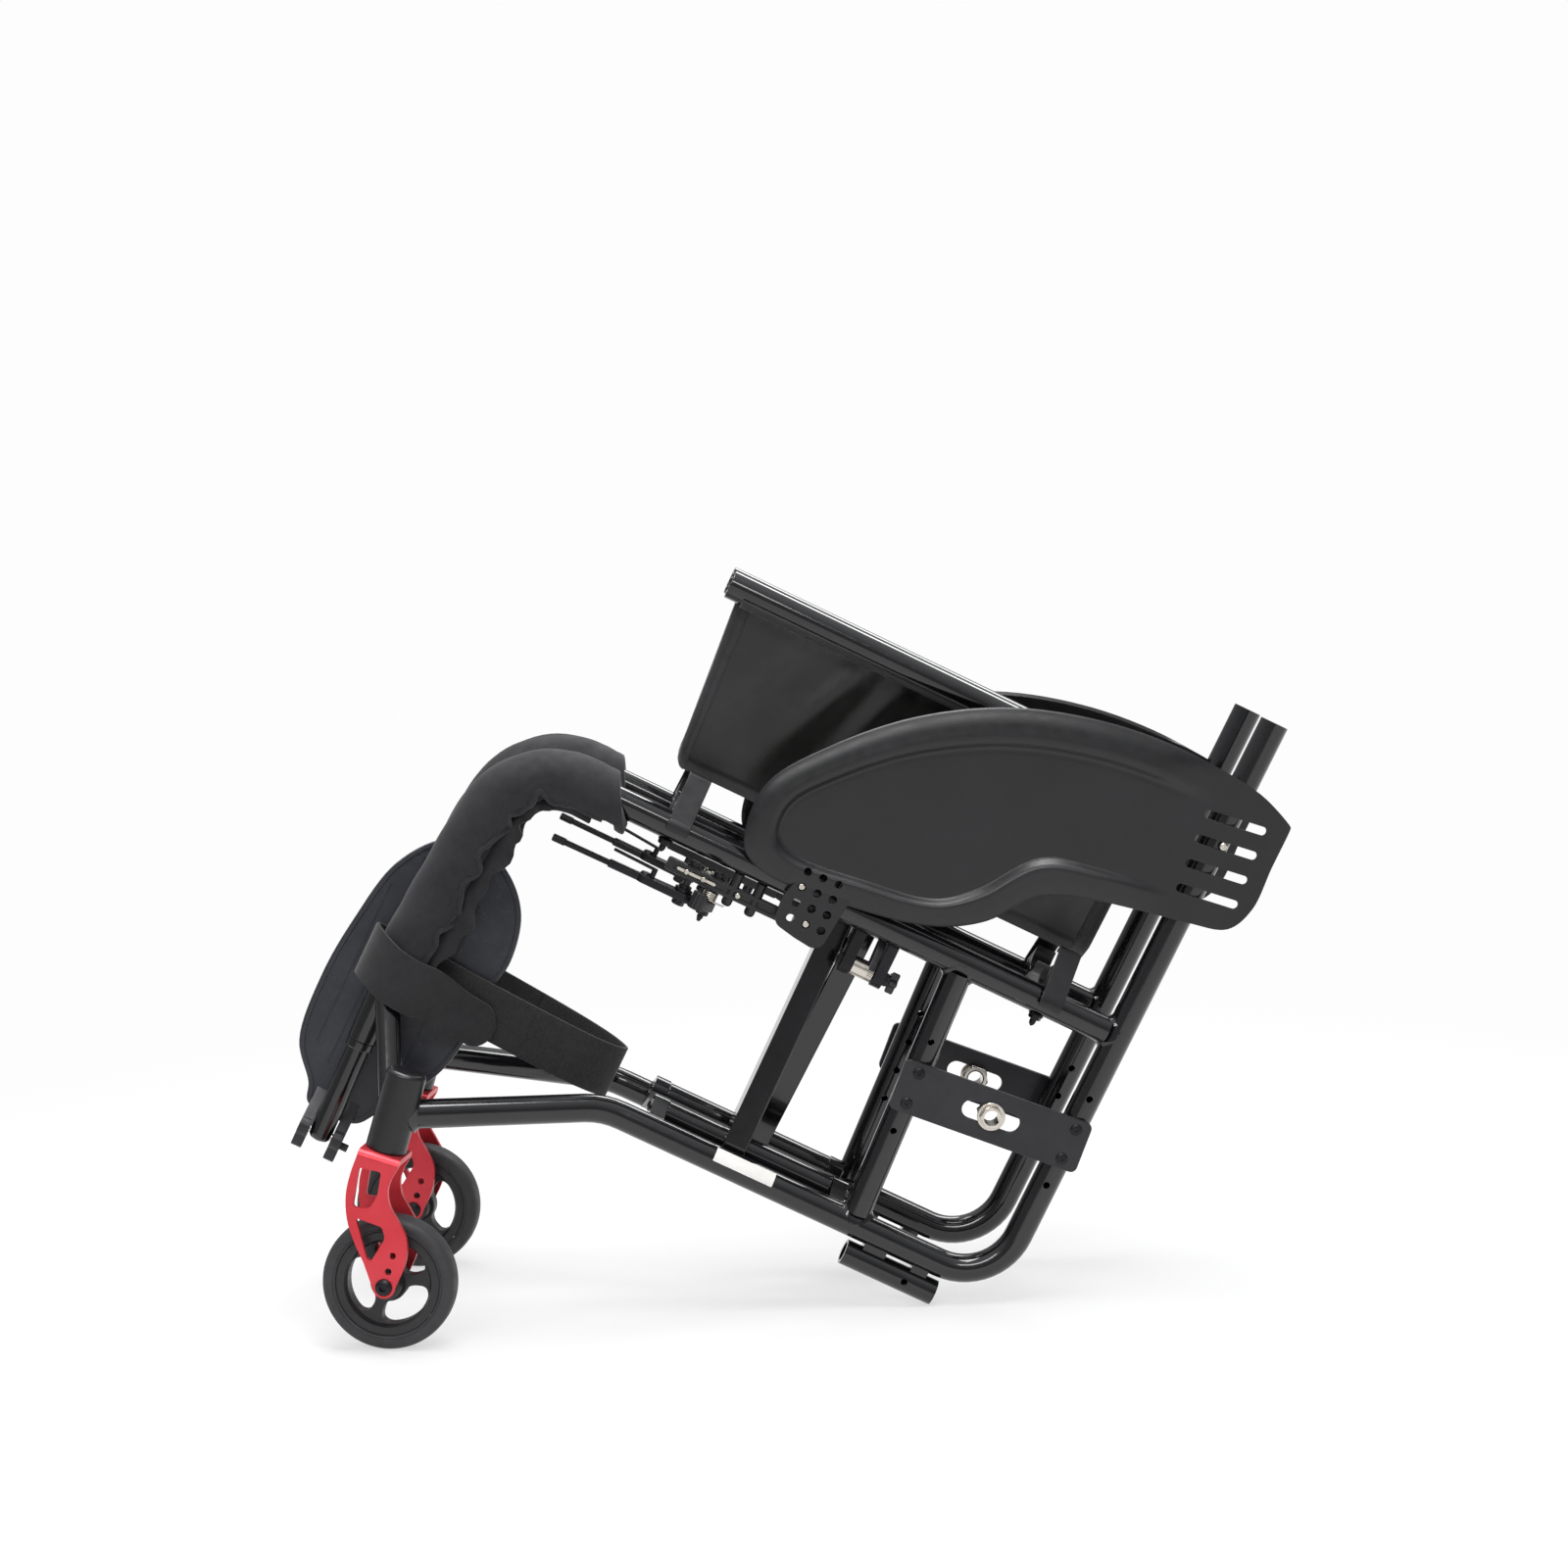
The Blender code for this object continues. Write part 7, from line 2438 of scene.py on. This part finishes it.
@dataclass(frozen=True)
class CalfStrap:
    """A cuff round each front tube and a slack loop of webbing between them."""

    thickness: float = 0.0026
    height: float = 0.0420
    cuff_n: float = 0.0300
    low_n: float = 0.0180
    rear: float = -0.3350
    part_u: float = -0.4100
    cuff_lean: float = math.radians(12)
    cuff_half: Point = (0.0258, 0.0248)
    path: tuple[Point, ...] = ((-0.5090, 0.0335), (-0.4700, 0.0350), (-0.4300, 0.0330), (-0.3900, 0.0290),
                               (-0.3600, 0.0225), (-0.3430, 0.0130), (-0.3350, 0.0))
    tongue: tuple[Point, ...] = ((-0.5060, 0.0745), (-0.4880, 0.0600), (-0.4700, 0.0470), (-0.4520, 0.0402),
                                 (-0.4360, 0.0378))
    tongue_turn: tuple[float, float] = (-20, -270)
    tip_r: float = 0.0150
    taper: float = 0.16
    taper_run: float = 0.0800

    def loop(self) -> list[Vector]:
        """The webbing's middle line from the right cuff round to the left one."""
        half = [Vector((u, w)) for u, w in self.path]
        return smooth_line(half + [Vector((p.x, -p.y)) for p in reversed(half[:-1])], 8)

    def band(self) -> Object:
        """The whole webbing, standing on edge.

        Returns:
            The webbing, from the right side to the left one.
        """
        rows = []
        for point in self.loop():
            share = (point.x - self.path[0][0]) / (self.rear - self.path[0][0])
            middle = self.cuff_n + (self.low_n - self.cuff_n) * share
            rows.append([Vector((point.x, point.y, middle + self.height * (i / 8 - 0.5))) for i in range(9)])
        return eased(cloth(rows, self.thickness), 0.0006, 60, 2, 60)

    def length_of(self, whole: Object, side: int) -> Object:
        """One length of the webbing, parted square where the next one starts.

        Args:
            whole: The webbing.
            side: 1 for the length on the right cuff, -1 for the left one, and 0 for the one between.

        Returns:
            The length, a new object.
        """
        part = copied(whole, Matrix())
        edit(part)
        bpy.ops.mesh.bisect(plane_co=(self.part_u, 0, 0), plane_no=(1, 0, 0), use_fill=True,
                            clear_inner=side == 0, clear_outer=side != 0)
        if side:
            bpy.ops.mesh.select_all(action="SELECT")
            bpy.ops.mesh.bisect(plane_co=(0, 0, 0), plane_no=(0, 1, 0), clear_inner=side > 0,
                                clear_outer=side < 0)
        bpy.ops.object.mode_set(mode="OBJECT")
        return part

    def cuff_line(self) -> list[Vector]:
        """Plan of the cuff: round the front tube from its inner side, then straight back as the tongue.

        Returns:
            Its points in (u, w).
        """
        centre = C.front_tube(self.cuff_n)
        a, b = self.cuff_half
        ring = []
        start, end = self.tongue_turn
        for k in range(41):
            turn = math.radians(start + (end - start) * k / 40)
            ring.append(Vector((centre.x - 0.0010 + a * math.cos(turn), centre.y + b * math.sin(turn))))
        return ring[:-1] + smooth_line([ring[-1], *(Vector(p) for p in self.tongue)], 8)

    def cuff(self) -> Object:
        """The brushed band wrapped round the front tube and pressed on the outside of the webbing.

        Returns:
            The band, in half coordinates.
        """
        line = self.cuff_line()
        middle_u = C.front_tube(self.cuff_n).x
        total = walk(line)
        rows = []
        for k, p in enumerate(line):
            length = walk(line[:k + 1])
            tip = math.sqrt(max(1 - max(0.0, 1 - (total - length) / self.tip_r) ** 2, 0.06))
            taper = 1 - self.taper * smooth_step(length, total - self.taper_run, total)
            drop = (p.x - middle_u) * math.tan(self.cuff_lean)
            sway = 0.0012 * math.sin(95 * length)
            half = self.height / 2 * tip * taper
            rows.append([Vector((p.x, p.y, self.cuff_n - drop + sway + half * (i / 5 - 1)))
                         for i in range(11)])
        return eased(cloth(rows, self.thickness), 0.0005, 60, 2, 60)

    def build(self) -> None:
        """Make the strap in three lengths, and the cuffs."""
        line = self.loop()
        whole = self.band()
        spans = (("calf_strap_right", 1, "right_arm", "right_frame", (-0.4150, 0.0330), (-0.4950, 0.0330)),
                 ("calf_strap_middle", 0, "left_arm", "right_arm", (self.rear, -0.0300),
                  (self.rear, 0.0300)),
                 ("calf_strap_left", -1, "left_frame", "left_arm", (-0.4950, -0.0330), (-0.4150, -0.0330)))
        for name, side, near, far, start, end in spans:
            nodes = [] if side else ["calf_strap"]
            piece = hang(self.length_of(whole, side), name, (near, far), nodes, WEBBING)
        bpy.data.objects.remove(whole)
        for piece in pair(self.cuff(), "cuff", "frame", [], LOOP):
            walk(self.cuff_line())


@dataclass(frozen=True)
class Studio:
    """Pale floor, soft lamps and the camera."""

    lens: float = 66.58
    camera_at: tuple[float, float, float] = (0.0, -2.24867, 0.67990)
    right: tuple[float, float, float] = (0.99912851, -0.0268286, -0.03197569)
    up: tuple[float, float, float] = (0.03499155, 0.12072871, 0.99206863)
    back: tuple[float, float, float] = (-0.02275543, -0.99232293, 0.12156227)
    chassis_at: tuple[float, float, float] = (0.20016, 0.0, 0.01025)
    chassis_tip: float = math.radians(27.5)
    white: str = "#fdfdfd"
    lighting: float = 0.48

    def camera(self) -> None:
        """A camera that sees the chassis as the picture does."""
        data = bpy.data.cameras.new("camera")
        data.lens = self.lens
        data.sensor_width = 36
        data.clip_end = 50
        obj = bpy.data.objects.new("camera", data)
        bpy.context.scene.collection.objects.link(obj)
        turn = Matrix((self.right, self.up, self.back)).transposed().to_4x4()
        seen = Matrix.Translation(self.camera_at) @ turn
        chassis = Matrix.Translation(self.chassis_at) @ Matrix.Rotation(self.chassis_tip, 4, "Y")
        obj.matrix_world = PLACED @ chassis.inverted() @ seen
        bpy.context.scene.camera = obj

    def lamp(self, name: str, at: Sequence[float], aim: Sequence[float], size: Point, power: float) -> None:
        """A soft rectangular lamp.

        Args:
            name: Its name.
            at: Where it stands.
            aim: The point that it faces.
            size: Width and height.
            power: Its power in watts.
        """
        data = bpy.data.lights.new(name, "AREA")
        data.shape = "RECTANGLE"
        data.size, data.size_y = size
        data.energy = power
        obj = bpy.data.objects.new(name, data)
        bpy.context.scene.collection.objects.link(obj)
        obj.location = at
        obj.rotation_euler = (Vector(aim) - Vector(at)).to_track_quat("-Z", "Y").to_euler()

    def floor(self) -> None:
        """A wide pale floor that keeps the object's shadow."""
        deselect()
        bpy.ops.mesh.primitive_plane_add(size=60)
        floor = bpy.context.object
        floor.name = "floor"
        made = bpy.data.materials.new("pale_floor")
        made.use_nodes = True
        tree = made.node_tree
        shader = tree.nodes["Principled BSDF"]
        shader.inputs["Base Color"].default_value = linear("#e4e4e4")
        shader.inputs["Roughness"].default_value = 0.9
        glow = node(tree, "ShaderNodeEmission", {"Color": linear(self.white), "Strength": 1.0})
        path = node(tree, "ShaderNodeLightPath")
        rays = {0: path.outputs["Is Camera Ray"], 1: path.outputs["Is Glossy Ray"]}
        seen = node(tree, "ShaderNodeMath", rays, operation="MAXIMUM")
        rays = {0: seen.outputs[0], 1: path.outputs["Is Transmission Ray"]}
        seen = node(tree, "ShaderNodeMath", rays, operation="MAXIMUM")
        spot = node(tree, "ShaderNodeTexCoord").outputs["Object"]
        away = node(tree, "ShaderNodeVectorMath", {0: spot}, operation="LENGTH").outputs["Value"]
        spread = {"Value": away, "From Min": 0.45, "From Max": 1.3, "To Min": 0.62}
        plain = node(tree, "ShaderNodeMapRange", spread, interpolation_type="SMOOTHSTEP")
        share = node(tree, "ShaderNodeMath", {0: seen.outputs[0], 1: plain.outputs[0]}, operation="MULTIPLY")
        mixed = node(tree, "ShaderNodeMixShader",
                     {0: share.outputs[0], 1: shader.outputs[0], 2: glow.outputs[0]})
        tree.links.new(mixed.outputs[0], tree.nodes["Material Output"].inputs["Surface"])
        floor.data.materials.append(made)

    def world(self) -> None:
        """White where it is seen, and a room with a dim wall and a pale ceiling where it is mirrored."""
        world = bpy.data.worlds.new("studio")
        bpy.context.scene.world = world
        world.use_nodes = True
        tree = world.node_tree
        tree.nodes.clear()
        spot = node(tree, "ShaderNodeTexCoord").outputs["Generated"]
        height = node(tree, "ShaderNodeSeparateXYZ", {"Vector": spot}).outputs["Z"]
        fall = node(tree, "ShaderNodeMapRange", {"Value": height, "From Min": 0.30, "From Max": 0.90,
                                                 "To Min": 0.34, "To Max": 1.1})
        path = node(tree, "ShaderNodeLightPath")
        mirrored = node(tree, "ShaderNodeBackground",
                        {"Color": linear("#f2f3f5"), "Strength": fall.outputs[0]})
        seen = node(tree, "ShaderNodeBackground", {"Color": linear(self.white), "Strength": 1.0})
        lighting = node(tree, "ShaderNodeBackground",
                        {"Color": linear("#f2f2f4"), "Strength": self.lighting})
        first = node(tree, "ShaderNodeMixShader", {0: path.outputs["Is Glossy Ray"], 1: lighting.outputs[0],
                                                  2: mirrored.outputs[0]})
        second = node(tree, "ShaderNodeMixShader", {0: path.outputs["Is Camera Ray"], 1: first.outputs[0],
                                                   2: seen.outputs[0]})
        out = node(tree, "ShaderNodeOutputWorld")
        tree.links.new(second.outputs[0], out.inputs["Surface"])

    def build(self) -> None:
        """Set up everything round the object."""
        self.camera()
        self.floor()
        self.world()
        self.lamp("top_box", (-0.1, -0.1, 2.4), (0, 0, 0.2), (2.0, 0.8), 59)
        self.lamp("front_box", (-0.3, -2.3, 1.95), (0, 0, 0.3), (2.4, 0.36), 29)
        self.lamp("back_strip", (0.9, 1.6, 1.9), (0, 0, 0.3), (1.8, 0.6), 24)
        bpy.context.scene.view_settings.view_transform = "Standard"


def main() -> None:
    """Build the chair piece by piece, then the studio."""
    logging.basicConfig(level=logging.INFO, format="%(message)s")
    for assembly in (SideFrame(), Castors(), AxleMount(), SideGuard(), Clamps(), FootRest(), CrossBrace(),
                     Brakes(), KneeSleeves(), SeatSling(), CalfStrap(), Studio()):
        LOG.info("building %s", type(assembly).__name__)
        assembly.build()
    deselect()


if __name__ == "__main__":
    main()
